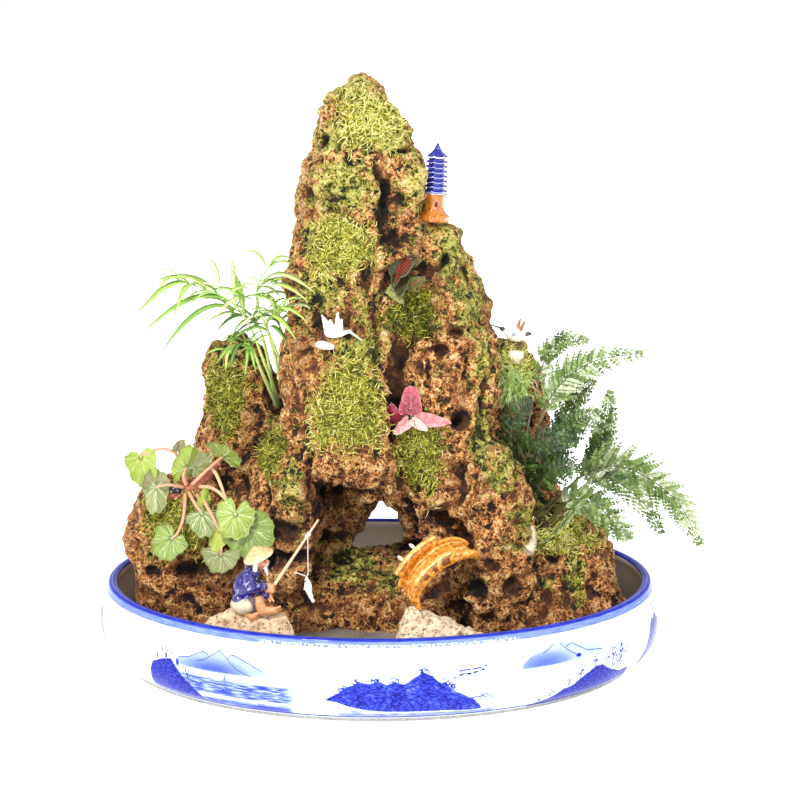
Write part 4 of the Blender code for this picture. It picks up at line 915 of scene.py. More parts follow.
palmFronds = {  # the stem's line, then each leaflet's place on it, its tip and how high it arches
    "palm_frond_long": (
        [(-73, 12, 140), (-77, 6, 162), (-80, 6, 206), (-100, -2, 250), (-142, -14, 272)],
        [
            (0.62, (-149, -38, 222), 16), (0.68, (-164, -30, 233), 14), (0.76, (-155, -22, 270), 8),
            (0.92, (-168, -28, 246), 8), (0.60, (-106, -20, 281), 9), (0.66, (-103, 8, 283), 7),
            (0.76, (-123, 14, 283), 6), (0.84, (-146, 8, 240), 12), (0.97, (-160, -6, 254), 7),
            (0.88, (-140, -30, 246), 8),
        ],
    ),
    "palm_frond_tall": (
        [(-68, 16, 140), (-70, 12, 164), (-76, 8, 222), (-86, 4, 258), (-72, -4, 285)],
        [
            (0.58, (-112, -24, 246), 9), (0.64, (-108, -30, 258), 8), (0.74, (-100, 14, 256), 8),
            (0.88, (-96, -2, 288), 6), (0.62, (-48, -38, 258), 12), (0.70, (-43, -40, 264), 12),
            (0.80, (-60, -10, 284), 4), (0.9, (-55, 14, 277), 7), (0.97, (-64, -8, 289), 3),
        ],
    ),
    "palm_frond_right": (
        [(-63, 8, 140), (-66, 4, 164), (-70, 2, 210), (-78, -10, 240), (-62, -32, 252)],
        [
            (0.60, (-92, -26, 234), 5), (0.68, (-86, -34, 246), 6), (0.84, (-74, -44, 260), 5),
            (0.60, (-60, -24, 222), 7), (0.70, (-56, -46, 233), 8), (0.80, (-49, -48, 246), 7),
            (0.92, (-46, -50, 255), 4), (0.9, (-52, -52, 262), 3),
        ],
    ),
    "palm_frond_back": (
        [(-66, 26, 142), (-68, 22, 164), (-64, 24, 212), (-72, 26, 238), (-58, 30, 262)],
        [
            (0.60, (-96, 24, 232), 7), (0.70, (-92, 30, 252), 8), (0.84, (-74, 30, 272), 5),
            (0.62, (-50, 30, 232), 7), (0.72, (-46, 34, 246), 6), (0.86, (-46, 32, 266), 6),
        ],
    ),
    "palm_frond_low": (
        [(-76, 2, 142), (-80, -2, 162), (-83, -6, 206), (-90, -20, 226), (-104, -36, 224)],
        [
            (0.66, (-92, -36, 206), 5), (0.74, (-101, -42, 212), 5), (0.84, (-110, -46, 217), 4),
            (0.95, (-117, -44, 223), 2), (0.72, (-98, -26, 238), 3), (0.86, (-108, -32, 234), 3),
            (0.64, (-84, -36, 208), 5), (0.9, (-104, -46, 212), 4),
        ],
    ),
    "palm_frond_middle": (
        [(-71, 20, 140), (-74, 16, 162), (-80, 14, 214), (-88, 10, 238), (-106, 6, 243)],
        [
            (0.62, (-104, -6, 228), 7), (0.72, (-114, -6, 232), 6), (0.86, (-124, 0, 236), 5),
            (0.64, (-84, 16, 252), 4), (0.78, (-100, 18, 252), 4), (0.92, (-119, 12, 247), 4),
        ],
    ),
}


def ribbons(paths, widths, thick, fold, out):
    # leaf blades along many paths at once: n by k points; out points away from their upper side
    paths = np.asarray(paths, float)
    n, k = paths.shape[:2]
    ahead = unit(np.gradient(paths, axis=1))
    across = unit(np.cross(ahead, np.broadcast_to(out, paths.shape)))
    up = np.cross(across, ahead)
    half = np.asarray(widths)[:, :, None]
    left, right = paths - across * half + up * half * fold, paths + across * half + up * half * fold
    ring = np.stack([left, paths + up * thick * 0.4, right, paths - up * thick], 2).reshape(n, -1, 3)
    points = np.concatenate([ring, paths[:, :1], paths[:, -1:]], 1)
    turn = np.arange(4)
    one = rows(k, 4)
    onward, last = (turn + 1) % 4, 4 * k - 4
    caps = [
        np.stack([np.full(4, 4 * k), onward, turn], -1),
        np.stack([np.full(4, 4 * k + 1), last + turn, last + onward], -1),
    ]
    step = (np.arange(n) * (4 * k + 2))[:, None, None]
    faces = [(one[None] + step).reshape(-1, 4), (np.concatenate(caps)[None] + step).reshape(-1, 3)]
    return points.reshape(-1, 3), faces


def arched(start, tip, lift, count=11, sway=0.0):
    start, tip = np.array(start, float), np.array(tip, float)
    share = np.linspace(0, 1, count)[:, None]
    path = start + (tip - start) * share
    path[:, 2] += lift * 4 * (share * (1 - share))[:, 0] * (1 + 0.35 * (0.5 - share[:, 0]))
    path[:, :2] += sway * np.sin(share * math.pi) * np.array([[0.6, 0.8]])
    return path


def palmLook(p):
    tint, place = p.held("tint"), p.place()
    streak = p.node("Mapping", {"vector_type": "POINT"}, {0: place, 3: (1, 1, 0.25)}).noise(1.6, 2)
    colour = (tint + (streak - 0.5) * 0.35 + (place.noise(20, 2) - 0.5) * 0.3).ramp(
        (0.0, (0.025, 0.09, 0.012)), (0.32, (0.13, 0.29, 0.035)), (0.6, (0.34, 0.55, 0.10)),
        (0.78, (0.52, 0.70, 0.16)), (0.95, (0.66, 0.76, 0.42)),
    )
    return {"Base Color": colour, "Roughness": streak * 0.2 + 0.36, "Normal": p.bump(streak, 0.15)}


def makePalm():
    look, rng = finish("palm_leaf", palmLook, Coat_Weight=0.15, Coat_Roughness=0.3), np.random.default_rng(4)
    for name, (spine, leaflets) in palmFronds.items():
        foot = (-66.5, 177) if name in ("palm_frond_tall", "palm_frond_right", "palm_frond_back") else (-74.5, 171)
        foot = (foot[0] + rng.uniform(-1.2, 2.0), foot[1] + rng.uniform(-2, 2))
        spot, _ = frontOf(*foot)  # it comes out of the rock here
        y = spine[1][1] if spot is None else max(spot[1], spine[1][1] - 6)
        line = bent([(foot[0], y + 4, foot[1]), *spine[2:]], 61)
        radius = np.interp(np.linspace(0, 1, 61), (0, 0.15, 0.5, 1), (1.5, 1.5, 0.85, 0.42))
        stem = tubes([line], [radius], 7)
        paths, widths, tints, more = [], [], [], []
        for _ in range(8):  # shorter leaflets crowded round the middle
            share, way = rng.uniform(0.55, 0.98), rng.choice((-1, 1))
            root = line[int(share * 60)]
            long = rng.uniform(16, 32) * (0.6 if name == "palm_frond_low" else 1)
            heading = unit(np.array((way * rng.uniform(0.5, 1), rng.uniform(-0.7, 0.1), rng.uniform(-0.45, 0.6))))
            more.append((share, root + heading * long, long * 0.2))
        for share, tip, lift in [*leaflets, *more]:
            root = line[int(round(share * 60))]
            path = arched(root, tip, lift, sway=rng.uniform(-3, 3))
            long = np.linalg.norm(np.diff(path, axis=0), axis=1).sum()
            u = np.linspace(0, 1, 11)
            paths.append(path)
            widest = min(3.0, long * 0.060)
            widths.append(np.maximum(0.12, widest * (1 - np.abs(2 * u**0.8 - 1) ** 2.2) * (1 - 0.2 * u)))
            # painted light and shade: leaflets high up are lighter, those lower down and the back frond's darker
            high, behind = 0.12 if tip[2] > 250 else -0.1, 0.34 if name == "palm_frond_back" else 0
            tints.append(np.clip(0.62 + rng.normal(0, 0.17) + high - behind, 0.05, 1))
        blades = ribbons(paths, widths, 0.22, 0.14, (0, -0.5, 0.86))
        points, faces = gathered([stem[:2], blades])
        tint = np.concatenate([0.95 - 0.45 * stem[2], np.repeat(tints, 46)])
        piece(name + "_leaf", meshFrom(name + "_leaf", points, faces), look, "palm_green", [name], tint=tint)
    print("palm made")


# the stalk's line, where its leaflets start, how far they reach, how many pairs, way across it, how bright
fernFronds = {
    "fern_frond_curl": (
        [(100, 4, 101), (106, 20, 160), (117, 30, 204), (130, 28, 221), (148, 18, 223)], 0.40, 12, 15,
        (0.5, -0.7, -0.5), 0.54,
    ),
    "fern_frond_top": (
        [(104, -4, 100), (112, 10, 160), (128, 12, 192), (152, 6, 210), (186, -2, 217)], 0.34, 19, 20,
        (0.45, -0.5, -0.75), 0.57,
    ),
    "fern_frond_middle": (
        [(107, -9, 100), (136, -2, 122), (154, 3, 144), (160, 5, 166), (163, 6, 189)], 0.34, 15, 18,
        (0.85, -0.5, -0.1), 0.5,
    ),
    "fern_frond_right": (
        [(112, -15, 99), (140, -14, 130), (170, -18, 139), (206, -26, 118), (225, -28, 84)], 0.26, 27, 24,
        (0.5, -0.35, 0.8), 0.62,
    ),
    "fern_frond_low": (
        [(116, -21, 98), (132, -32, 118), (148, -40, 118), (164, -46, 104), (172, -46, 94)], 0.18, 20, 15,
        (0.6, -0.35, 0.75), 0.57,
    ),
    "fern_frond_front": (
        [(119, -26, 96), (130, -38, 112), (134, -50, 116), (124, -58, 106), (112, -60, 96)], 0.25, 13, 13,
        (0.6, -0.5, 0.6), 0.6,
    ),
    # the core's fronds are painted very dark, as painted shade deep inside the fern
    "fern_frond_core": (
        [(103, -9, 102), (100, -18, 128), (104, -28, 152), (118, -38, 164), (136, -42, 160)], 0.16, 19, 17,
        (0.5, -0.5, -0.6), 0.08,
    ),
}
fernExtras = {  # more fronds that grow with the core
    "fern_frond_core": [
        (
            [(101, 0, 101), (96, 0, 130), (92, -10, 158), (96, -18, 178), (104, -22, 188)], 0.2, 16, 15,
            (0.8, -0.5, 0.1), 0.05,
        ),
        (
            [(106, -6, 100), (116, -6, 130), (126, -10, 156), (140, -14, 172), (152, -16, 178)], 0.22, 17, 16,
            (0.6, -0.5, -0.6), 0.16,
        ),
        (
            [(108, -12, 100), (110, -26, 124), (118, -38, 140), (130, -46, 146), (142, -48, 142)], 0.2, 15, 14,
            (0.6, -0.6, -0.4), 0.14,
        ),
        (
            [(104, 6, 100), (118, 16, 130), (132, 18, 160), (140, 16, 184), (152, 12, 196)], 0.3, 17, 16,
            (0.7, -0.4, -0.4), 0.3,
        ),
    ],
    "fern_frond_low": [
        (
            [(118, -24, 98), (140, -34, 128), (160, -34, 134), (184, -38, 116), (196, -38, 96)], 0.3, 14, 15,
            (0.5, -0.4, 0.75), 0.42,
        ),
    ],
}
# one small lobed leaflet: its outline from its foot round to its foot
lobes = np.array([(0.0, 0.12), (0.30, 0.46), (0.68, 0.38), (1.0, 0.0), (0.68, -0.38), (0.30, -0.46), (0.0, -0.12)])


def fernFrond(spine, begin, reach, pairs, side, bright, rng):
    line = bent(spine, 81)
    paths, radii, feet, heads, flats, sizes, tints = [], [], [], [], [], [], []
    ahead = unit(np.gradient(line, axis=0))
    across = unit(np.array(side) - ahead * (ahead @ np.array(side))[:, None])
    up = np.cross(across, ahead)
    up *= np.sign(up @ np.array((0, -0.6, 0.8)))[:, None]
    for i in range(pairs):
        along = (i + 0.5) / pairs
        share = begin + (1 - begin) * along**0.92
        k = int(share * 80)
        long = reach * min(1, 0.45 + along * 4.5) * (1 - along) ** 0.8 + 1.6
        for sign in (-1, 1):
            lean = math.radians(rng.uniform(24, 38))
            lift = up[k] * rng.normal(0.0, 0.10)
            heading = unit(across[k] * sign * math.cos(lean) + ahead[k] * math.sin(lean) + lift)
            own = long * rng.uniform(0.85, 1.08)
            u = np.linspace(0, 1, 7)[:, None]
            bow = up[k] * (u * (1 - u)) * own * 0.22 + ahead[k] * u**2 * own * 0.16
            bow = bow + np.array((0, 0, -1)) * u**2 * own * 0.10
            path = line[k] + heading * own * u + bow
            paths.append(path)
            radii.append(np.linspace(0.36, 0.22, 7))
            # painted shade fading out: a dark frond's leaflets lighten away from the core
            tone = bright + max(0, 0.5 - bright) * np.clip((line[k][0] - 112) / 35, 0, 1) + rng.normal(0, 0.12)
            count = max(2, int(own / 2.2))
            for j in range(count):
                v = (j + 0.7) / (count + 0.4)
                foot = path[0] * (1 - v) + path[-1] * v + up[k] * v * (1 - v) * own * 0.22
                size = min(3.5, 0.9 + own * 0.19) * (1 - v) ** 0.7 + 1.0
                for way in (-1, 1):
                    beside = unit(np.cross(up[k], heading)) * way
                    heads.append(unit(beside * 0.86 + heading * 0.62 + up[k] * rng.normal(0, 0.12)))
                    feet.append(foot)
                    flats.append(unit(up[k] + rng.normal(0, 0.16, 3)))
                    sizes.append(size * rng.uniform(0.85, 1.1))
                    tints.append(tone + rng.normal(0, 0.05))
            feet.append(path[-1] - heading * 0.5)
            heads.append(heading)
            flats.append(up[k])
            sizes.append(1.7)
            tints.append(tone)
    feet, heads, flats = map(np.array, (feet, heads, flats))
    sizes = np.array(sizes)[:, None, None]
    beside = unit(np.cross(flats, heads))
    flat = feet[:, None] + (heads[:, None] * lobes[None, :, :1] + beside[:, None] * lobes[None, :, 1:]) * sizes
    curve = flats[:, None] * (-0.16 * lobes[None, :, :1] ** 2 - 0.18 * np.abs(lobes[None, :, 1:])) * sizes
    n, m, half = len(feet), len(lobes), flats[:, None] * 0.1
    points = np.concatenate([flat + curve + half, flat + curve - half], 1)
    order, tip = np.array([(0, 1, 5, 6), (1, 2, 4, 5)]), np.array([(2, 3, 4)])
    ring = np.arange(m)
    walls = np.stack([ring, ring + m, (ring + 1) % m + m, (ring + 1) % m], -1)
    quads = np.vstack([order[:, ::-1], order + m, walls])
    tris = np.vstack([tip[:, ::-1], tip + m])
    step = (np.arange(n) * 2 * m)[:, None, None]
    leaf = (points.reshape(-1, 3), [(quads[None] + step).reshape(-1, 4), (tris[None] + step).reshape(-1, 3)])
    ribs = tubes(paths, radii, 3)
    stalk = tubes([line], [np.linspace(0.85, 0.3, 81)], 5)
    tint = [np.repeat(tints, 2 * m), np.full(len(ribs[0]), bright * 0.8), np.full(len(stalk[0]), -0.5)]
    return [leaf, ribs[:2], stalk[:2]], np.concatenate(tint)


def fernLook(p):
    tint, place = p.held("tint"), p.place()
    stalk = tint.step(0.0, -0.15)
    spot = place.noise(2.2, 2)
    colour = (tint + (spot - 0.5) * 0.4 + (place.noise(18, 2) - 0.5) * 0.35).ramp(
        (0.0, (0.009, 0.019, 0.003)), (0.3, (0.035, 0.082, 0.010)), (0.55, (0.16, 0.24, 0.05)),
        (0.8, (0.52, 0.57, 0.38)),
    )
    colour = colour.mix(stalk, (0.085, 0.075, 0.025))
    return {"Base Color": colour, "Roughness": spot * 0.25 + 0.3, "Normal": p.bump(place.noise(0.8, 2), 0.25)}


def makeFern():
    look, total = finish("fern_leaf", fernLook, Coat_Weight=0.2, Coat_Roughness=0.25), 0
    for number, (name, spec) in enumerate(fernFronds.items()):
        rng = np.random.default_rng(60 + number)
        parts, tints = fernFrond(*spec, rng)
        for extra in fernExtras.get(name, ()):
            more, shade = fernFrond(*extra, rng)
            parts, tints = parts + more, np.concatenate([tints, shade])
        points, faces = gathered(parts)
        total += trianglesOf(faces)
        mesh = meshFrom(name + "_leaf", points, faces)
        piece(name + "_leaf", mesh, look, "fern_green", [name], smooth=False, tint=tints)
    print("fern:", total, "triangles")


grassSpec = dict(foot=(96, 28, 176), spread=(5, 3, 3), tips=((78, 112), (-6, 12), (178, 211)), count=170, places=9)


def makeGrass():
    rng = np.random.default_rng(8)
    n, k = grassSpec["count"], grassSpec["places"]
    foot = np.array(grassSpec["foot"]) + rng.normal(0, 1, (n, 3)) * grassSpec["spread"]
    tips = np.stack([rng.uniform(low, high, n) for low, high in grassSpec["tips"]], 1)
    u = np.linspace(0, 1, k)[None, :, None]
    path = foot[:, None] * (1 - u) + tips[:, None] * u
    path[:, :, 2] += (4 * u * (1 - u))[:, :, 0] * rng.uniform(2, 12, n)[:, None]
    path[:, :, 0] += np.sin(u[:, :, 0] * 3) * rng.normal(0, 3, n)[:, None]
    width = rng.uniform(0.35, 0.7, n)[:, None] * np.linspace(1, 0.15, k)[None]
    points, faces = ribbons(path, width, 0.15, 0.3, (0, -0.8, 0.6))
    tint = np.repeat(rng.uniform(0.66, 1.0, n), 4 * k + 2)
    look = bpy.data.materials["palm_leaf"]
    mesh = meshFrom("grass_tuft_blades", points, faces)
    piece("grass_tuft_blades", mesh, look, "palm_green", ["grass_tuft"], tint=tint)
    print("grass made")


makePalm()
makeFern()
makeGrass()


saxifrageLeaves = {
    # where the stalk meets the blade, the blade's tip, the way across it, half width, how far its lobes reach back,
    # cup, fold, droop (mm), how bright, how white its veins are
    "saxifrage_leaf_big": (
        (-98.6, -50, 112.9), (-101.5, -56, 96.5), (1, 0.1, 0.1), 12.6, 0.66, -1.6, -1.0, 1.5, 0.66, 1.0,
    ),
    "saxifrage_leaf_right": (
        (-91.5, -43, 102), (-85, -50, 82), (0.9, 0.2, 0.5), 18.5, 0.45, 2.0, 1.5, 3.0, 0.50, 0.8,
    ),
    "saxifrage_leaf_front": (
        (-122.3, -44, 112.0), (-119.5, -53, 99.5), (1, 0, -0.05), 11.4, 0.16, -1.2, -2.0, 1.5, 0.34, 0.95,
    ),
    "saxifrage_leaf_low": (
        (-142.5, -50, 96), (-152, -60, 86), (0.78, -0.1, -0.5), 11.6, 0.4, -1.0, 2.0, 2.5, 0.56, 0.7,
    ),
    "saxifrage_leaf_silver": (
        (-154.5, -34, 128), (-154.5, -42, 112.5), (1, 0.1, 0.1), 8.6, 0.45, -1.8, -2.5, 0.5, 0.27, 0.9,
    ),
    "saxifrage_leaf_yellow": (
        (-165.5, -29, 149), (-161.5, -31, 129), (0.9, 0.1, 0.3), 11.4, 0.25, 1.2, 3.2, 1.0, 0.70, 0.45,
    ),
    "saxifrage_leaf_curled": (
        (-134.6, -27, 140.5), (-128.5, -33, 156.5), (0.75, 0.5, -0.2), 8.6, 0.85, 2.0, -6.0, 2.5, 0.68, 0.6,
    ),
    "saxifrage_leaf_back": (
        (-110.2, -14, 145.2), (-104.0, -26, 153.5), (0.78, 0.0, -0.62), 14.0, 0.2, 0.8, -1.2, 1.5, 0.62, 0.7,
    ),
    "saxifrage_leaf_under": (
        (-108.8, -51, 84.5), (-110.0, -62, 75), (1, -0.05, -0.1), 13.4, 0.3, 2.0, 1.5, 2.0, 0.24, 0.6,
    ),
    "saxifrage_leaf_small": (
        (-122.0, -36, 113.5), (-121, -34, 126.5), (0.8, 0.5, 0), 5.6, 0.3, 1.0, -2.6, -1.0, 0.74, 0.3,
    ),
}
saxifrageMore = {  # smaller leaves that belong with one of those
    "saxifrage_leaf_under": [
        ((-110, -47, 101), (-114, -52, 87), (0.9, -0.1, 0.35), 7.5, 0.3, -1.0, -2.5, 1.0, 0.78, 0.35)
    ],
    "saxifrage_leaf_silver": [
        ((-155.5, -31, 129), (-156, -31, 141), (1, 0.3, 0), 9.0, 0.3, 1.0, 2.5, 2.0, 0.16, 0.3)
    ],
    "saxifrage_leaf_curled": [
        ((-129, -23, 139), (-116.5, -20, 148.5), (0.5, 0.3, -0.6), 7.5, 0.3, 1.0, -2, 1.0, 0.26, 0.4),
        ((-140, -24, 152), (-137, -22, 159), (1, 0.3, 0), 4.5, 0.3, 0.5, 1, 0.5, 0.05, 0.2),
    ],
}
saxifrageStalks = {  # the stalk's line from the root to its blade
    "saxifrage_leaf_big": [
        (-126, -20, 125), (-119, -25, 126), (-112, -32, 124.5), (-106, -38, 120), (-101, -46, 115.5),
        (-98.8, -50, 112.9),
    ],
    "saxifrage_leaf_right": [
        (-118, -13, 137), (-114, -19, 133.5), (-110, -27, 127), (-106, -34, 119), (-98, -40, 109), (-91.5, -43, 102),
    ],
    "saxifrage_leaf_front": [(-133, -24, 122), (-130, -33, 120), (-126, -40, 116), (-122.3, -44, 112.5)],
    "saxifrage_leaf_low": [
        (-135.5, -24, 121), (-135, -34, 114), (-135.8, -43, 106), (-139, -49, 98.5), (-142.5, -50, 96),
    ],
    "saxifrage_leaf_silver": [(-137, -25, 126), (-142, -31, 128.6), (-148, -34, 129.6), (-154.5, -34, 128)],
    "saxifrage_leaf_yellow": [
        (-135, -22, 127), (-137.5, -22, 139), (-142, -24, 150), (-151, -28, 154), (-160, -29.5, 151.8),
        (-165.5, -29, 149),
    ],
    "saxifrage_leaf_curled": [(-135, -23, 127), (-136.5, -25, 133), (-135.5, -26, 137), (-134.6, -27, 140.5)],
    "saxifrage_leaf_back": [(-131, -22, 127), (-124, -21, 134), (-117, -18, 140), (-110.2, -14, 145.2)],
    "saxifrage_leaf_under": [
        (-125, -22, 121), (-120, -38, 117), (-113, -46, 107), (-109, -47, 96), (-108.8, -51, 84.5),
    ],
    "saxifrage_leaf_small": [(-128, -22, 121), (-125, -31, 118), (-122, -36, 113.5)],
}


def leafBlade(
    attach, tip, across, half, back, cup, fold, droop, rings=9, turns=110, teeth=11, deep=0.11, pointed=0.0, seed=0
):
    attach, tip, across = (np.array(v, float) for v in (attach, tip, across))
    long = np.linalg.norm(tip - attach)
    ahead = (tip - attach) / long
    across = unit(across - ahead * (across @ ahead))
    up = np.cross(across, ahead)
    up *= -1 if up @ np.array((0, -0.85, 0.5)) < 0 else 1
    angle = np.arange(turns) * 2 * math.pi / turns - math.pi + 1e-3
    notch = 1 - 0.86 * rise(np.abs(angle), 2.7, 3.13) * (1 - pointed)
    scallops = np.abs(np.sin(angle * teeth / 2)) ** 0.8 - 0.55
    nicks = 0.5 - np.abs(np.sin(angle * teeth * 1.5))
    edge = notch * (1 + deep * scallops + deep * 0.5 * nicks)
    edge *= 1 + 0.05 * np.sin(angle * 2 + seed) + 0.03 * np.sin(angle * 5 + seed * 2)
    wide = np.sin(angle) * half * (1 - pointed * 0.35 * np.clip(np.cos(angle), -1, 1) ** 2)
    high = np.where(np.cos(angle) > 0, np.cos(angle) * long, np.cos(angle) * long * back)
    r = np.linspace(0, 1, rings + 1)[1:, None]
    x, y = (wide * edge) * r, (high * edge) * r
    side, on = np.abs(x) / half, y / long
    height = cup * (side**2 + on**2) + fold * side**1.4 - droop * np.maximum(on, 0) ** 2
    waves, frill = np.sin(angle * 6 + seed) * r**2.5, np.sin(angle * 11 + seed * 3) * r**3
    height += 0.55 * waves * (1 - pointed * 0.5) + 0.35 * frill
    height += 0.32 * np.abs(np.sin(angle * 5.5)) * r * (1 - r) * 3
    top = attach + across * x[..., None] + ahead * y[..., None] + up * height[..., None]
    flat = np.stack([x, y], -1).reshape(-1, 2)
    points = np.concatenate([top.reshape(-1, 3), [attach]])
    count = len(points)
    thick = 0.36 * (1 - 0.6 * np.append(np.repeat(r[:, 0], turns), 0)[:, None])
    points = np.concatenate([points + up * thick / 2, points - up * thick / 2])
    quads = rows(rings, turns)
    turn = np.arange(turns)
    fan = np.stack([turn, (turn + 1) % turns, np.full(turns, count - 1)], -1)
    rim = (rings - 1) * turns + turn
    nextRim = (rings - 1) * turns + (turn + 1) % turns
    wall = np.stack([rim, rim + count, nextRim + count, nextRim], -1)
    faces = [quads[:, ::-1], quads + count, wall[:, ::-1], fan[:, ::-1], fan + count]
    if np.cross(points[1] - points[0], points[turns] - points[0]) @ up > 0:
        faces = [block[:, ::-1] for block in faces]
    flat = np.concatenate([flat, [[0, 0]]])
    rim = np.append(np.repeat(r[:, 0], turns), 0)
    both = lambda values: np.concatenate([values, values])
    under = np.concatenate([np.zeros(count), np.ones(count)])
    return (points, faces), both(flat[:, 0]), both(flat[:, 1]), both(rim), under


def veins(x, y, wander, count, low, high):  # 1 on the lines that run out from the stalk, count to a full turn
    away = (x * x + y * y) ** 0.5
    angle = x.calc("ARCTAN2", x, y) + (wander - 0.5) * 0.5
    turn = abs((angle * (count / (2 * math.pi))).wrap(-0.5, 0.5)) * (2 * math.pi / count)
    main = (turn * away).step(high, low)
    for start, slant, strength in ((3.0, 0.34, 0.75), (7.5, 0.22, 0.65)):  # where a vein forks and how wide it opens
        fork = abs(turn * away - (away - start).most(0.0) * slant).step(high * 0.62, low * 0.4)
        main = main.most(fork * away.step(start, start + 1.5) * strength)
    return main


def saxifrageLook(p):
    place, tint, under = p.place(), p.held("tint"), p.held("under")
    x, y, rim, white, stalk = (p.held(name) for name in ("leafAcross", "leafAlong", "rim", "white", "stalk"))
    patch = place.noise(4.5, 3)
    line = veins(x, y, place.noise(7, 2), 8, 0.12, 0.52) * rim.step(1.0, 0.8) * (place.noise(2.0, 2) * 0.9 + 0.4)
    net = place.cells(1.7, "DISTANCE_TO_EDGE").step(0.14, 0.0)
    green = (tint + (patch - 0.5) * 0.4 - net * 0.05).ramp(
        (0.0, (0.24, 0.19, 0.10)), (0.22, (0.23, 0.25, 0.10)), (0.42, (0.13, 0.205, 0.032)),
        (0.66, (0.25, 0.35, 0.038)), (0.95, (0.50, 0.50, 0.055)),
    )
    colour = green.mix((line * white).least(0.66), (0.60, 0.66, 0.38))
    colour = colour.mix(rim.step(0.93, 1.0) * 0.4, (0.55, 0.62, 0.22)).mix(under * 0.4, (0.33, 0.37, 0.16))
    pink = place.noise(1.2, 2).ramp((0.2, (0.50, 0.19, 0.10)), (0.8, (0.80, 0.48, 0.30)))
    colour = colour.mix(stalk, pink.mix((tint - 0.3).most(0.0), (0.80, 0.62, 0.35)))
    return {
        "Base Color": colour, "Roughness": patch * 0.2 + 0.42,
        "Normal": p.bump(line * -0.5 + net * -0.2 + patch * 0.3, 0.4),
    }


def leafPiece(name, blades, stalks, hairs, look, slot, rng, **shape):
    # blades: what leafBlade takes then two shades; stalks: line, radius at its ends, shade
    parts, held = [], {key: [] for key in ("leafAcross", "leafAlong", "rim", "under", "tint", "white", "stalk")}

    def keep(part, x=0.0, y=0.0, rim=0.5, under=0.0, tint=0.5, white=0.0, stalk=0.0):
        parts.append(part)
        for key, value in zip(held, (x, y, rim, under, tint, white, stalk)):
            held[key].append(np.broadcast_to(value, len(part[0])))

    for number, spec in enumerate(blades):
        part, x, y, rim, under = leafBlade(*spec[:8], seed=number * 2.3 + len(name), **shape)
        keep(part, x, y, rim, under, spec[8], spec[9])
        if hairs:
            edge = part[0][: len(x) // 2][rim[: len(x) // 2] > 0.99]
            out = unit(edge - np.array(spec[0]))
            root = np.repeat(edge, 2, 0)
            out = unit(np.repeat(out, 2, 0) + rng.normal(0, 0.35, (len(root), 3)))
            long = rng.uniform(0.5, 1.1, len(root))[:, None, None]
            path = root[:, None] + out[:, None] * np.linspace(0, 1, 3)[None, :, None] * long
            hair = tubes(path, np.tile([0.07, 0.05, 0.03], (len(root), 1)), 3)
            keep(hair[:2], tint=0.95, white=0.6)
    for line, radii, tint in stalks:
        path = bent(line, 24)
        tube = tubes([path], [np.linspace(*radii, 24)], 9)
        keep(tube[:2], tint=tint, stalk=1.0)
        if hairs:
            pick = rng.integers(1, 22, 50)
            out = unit(rng.normal(0, 1, (50, 3)))
            hair = path[pick][:, None] + out[:, None] * np.linspace(0.6, 1.7, 3)[None, :, None]
            keep(tubes(hair, np.full((50, 3), 0.05), 3)[:2], tint=0.9, stalk=0.6)
    points, faces = gathered(parts)
    mesh = meshFrom(name + "_blade", points, faces)
    piece(name + "_blade", mesh, look, slot, [name], **{key: np.concatenate(value) for key, value in held.items()})


def makeSaxifrage():
    look = finish("saxifrage_leaf", saxifrageLook, Coat_Weight=0.12, Coat_Roughness=0.4)
    rng = np.random.default_rng(21)
    for name, spec in saxifrageLeaves.items():
        line = saxifrageStalks[name]
        warm = 0.75 if name.endswith(("big", "right")) else 0.3
        blades, stalk = [spec, *saxifrageMore.get(name, [])], (line, (1.45, 0.85), warm)
        leafPiece(name, blades, [stalk], True, look, "saxifrage_green", rng)
    print("saxifrage made")


rootSpec = {  # each branch's line, then its radius at both ends
    "saxifrage_rhizome": [
        (
            [
                (-118, -4, 138), (-122, -9, 132), (-127, -15, 126), (-133, -19, 123.5), (-140, -22, 121),
                (-147, -25, 120),
            ],
            (5.2, 3.4),
        ),
        ([(-124, -10, 140), (-123, -12, 134), (-126, -16, 127)], (2.6, 3.2)),
        ([(-113, -6, 139), (-118, -9, 135), (-123, -14, 128)], (2.2, 3.0)),
        ([(-136, -20, 122), (-137, -24, 117), (-138, -28, 112)], (3.2, 1.4)),
        ([(-130, -19, 122), (-128, -22, 115), (-128, -22, 108)], (3.0, 2.0)),
    ],
    "fern_rhizome": [
        ([(98, 8, 99), (104, -5, 98), (111, -14, 97), (117, -24, 95), (122, -30, 90)], (5.5, 4.2)),
        ([(105, -55, 105), (105.5, -60, 102), (105.5, -63.5, 98.5), (104.5, -65, 96)], (0.9, 1.3)),
        ([(105, -65, 97.5), (104, -66.5, 94.5), (102, -67, 92)], (1.8, 3.7)),
    ],
}


def rootLook(p):
    place, tint = p.place(), p.held("tint")
    skin = place.noise(1.6, 3) * 0.6 + place.noise(6, 2) * 0.4
    red = skin.ramp((0.25, (0.16, 0.025, 0.02)), (0.5, (0.42, 0.12, 0.075)), (0.72, (0.66, 0.34, 0.20)))
    brown = skin.ramp((0.25, (0.012, 0.009, 0.006)), (0.7, (0.12, 0.07, 0.03)))
    pale = skin.ramp((0.25, (0.42, 0.30, 0.17)), (0.7, (0.82, 0.72, 0.52)))
    spots = place.cells(1.5).step(0.42, 0.3) * place.noise(2.4, 1).step(0.45, 0.55)
    char = (place * 0 + (0.01, 0.01, 0.012)).mix(spots, (0.75, 0.75, 0.72))
    colour = red.mix(tint.step(0.9, 1.0), brown).mix(tint.step(1.9, 2.0), pale).mix(tint.step(2.9, 3.0), char)
    return {"Base Color": colour, "Roughness": skin * 0.3 + 0.35, "Normal": p.bump(skin, 0.8)}


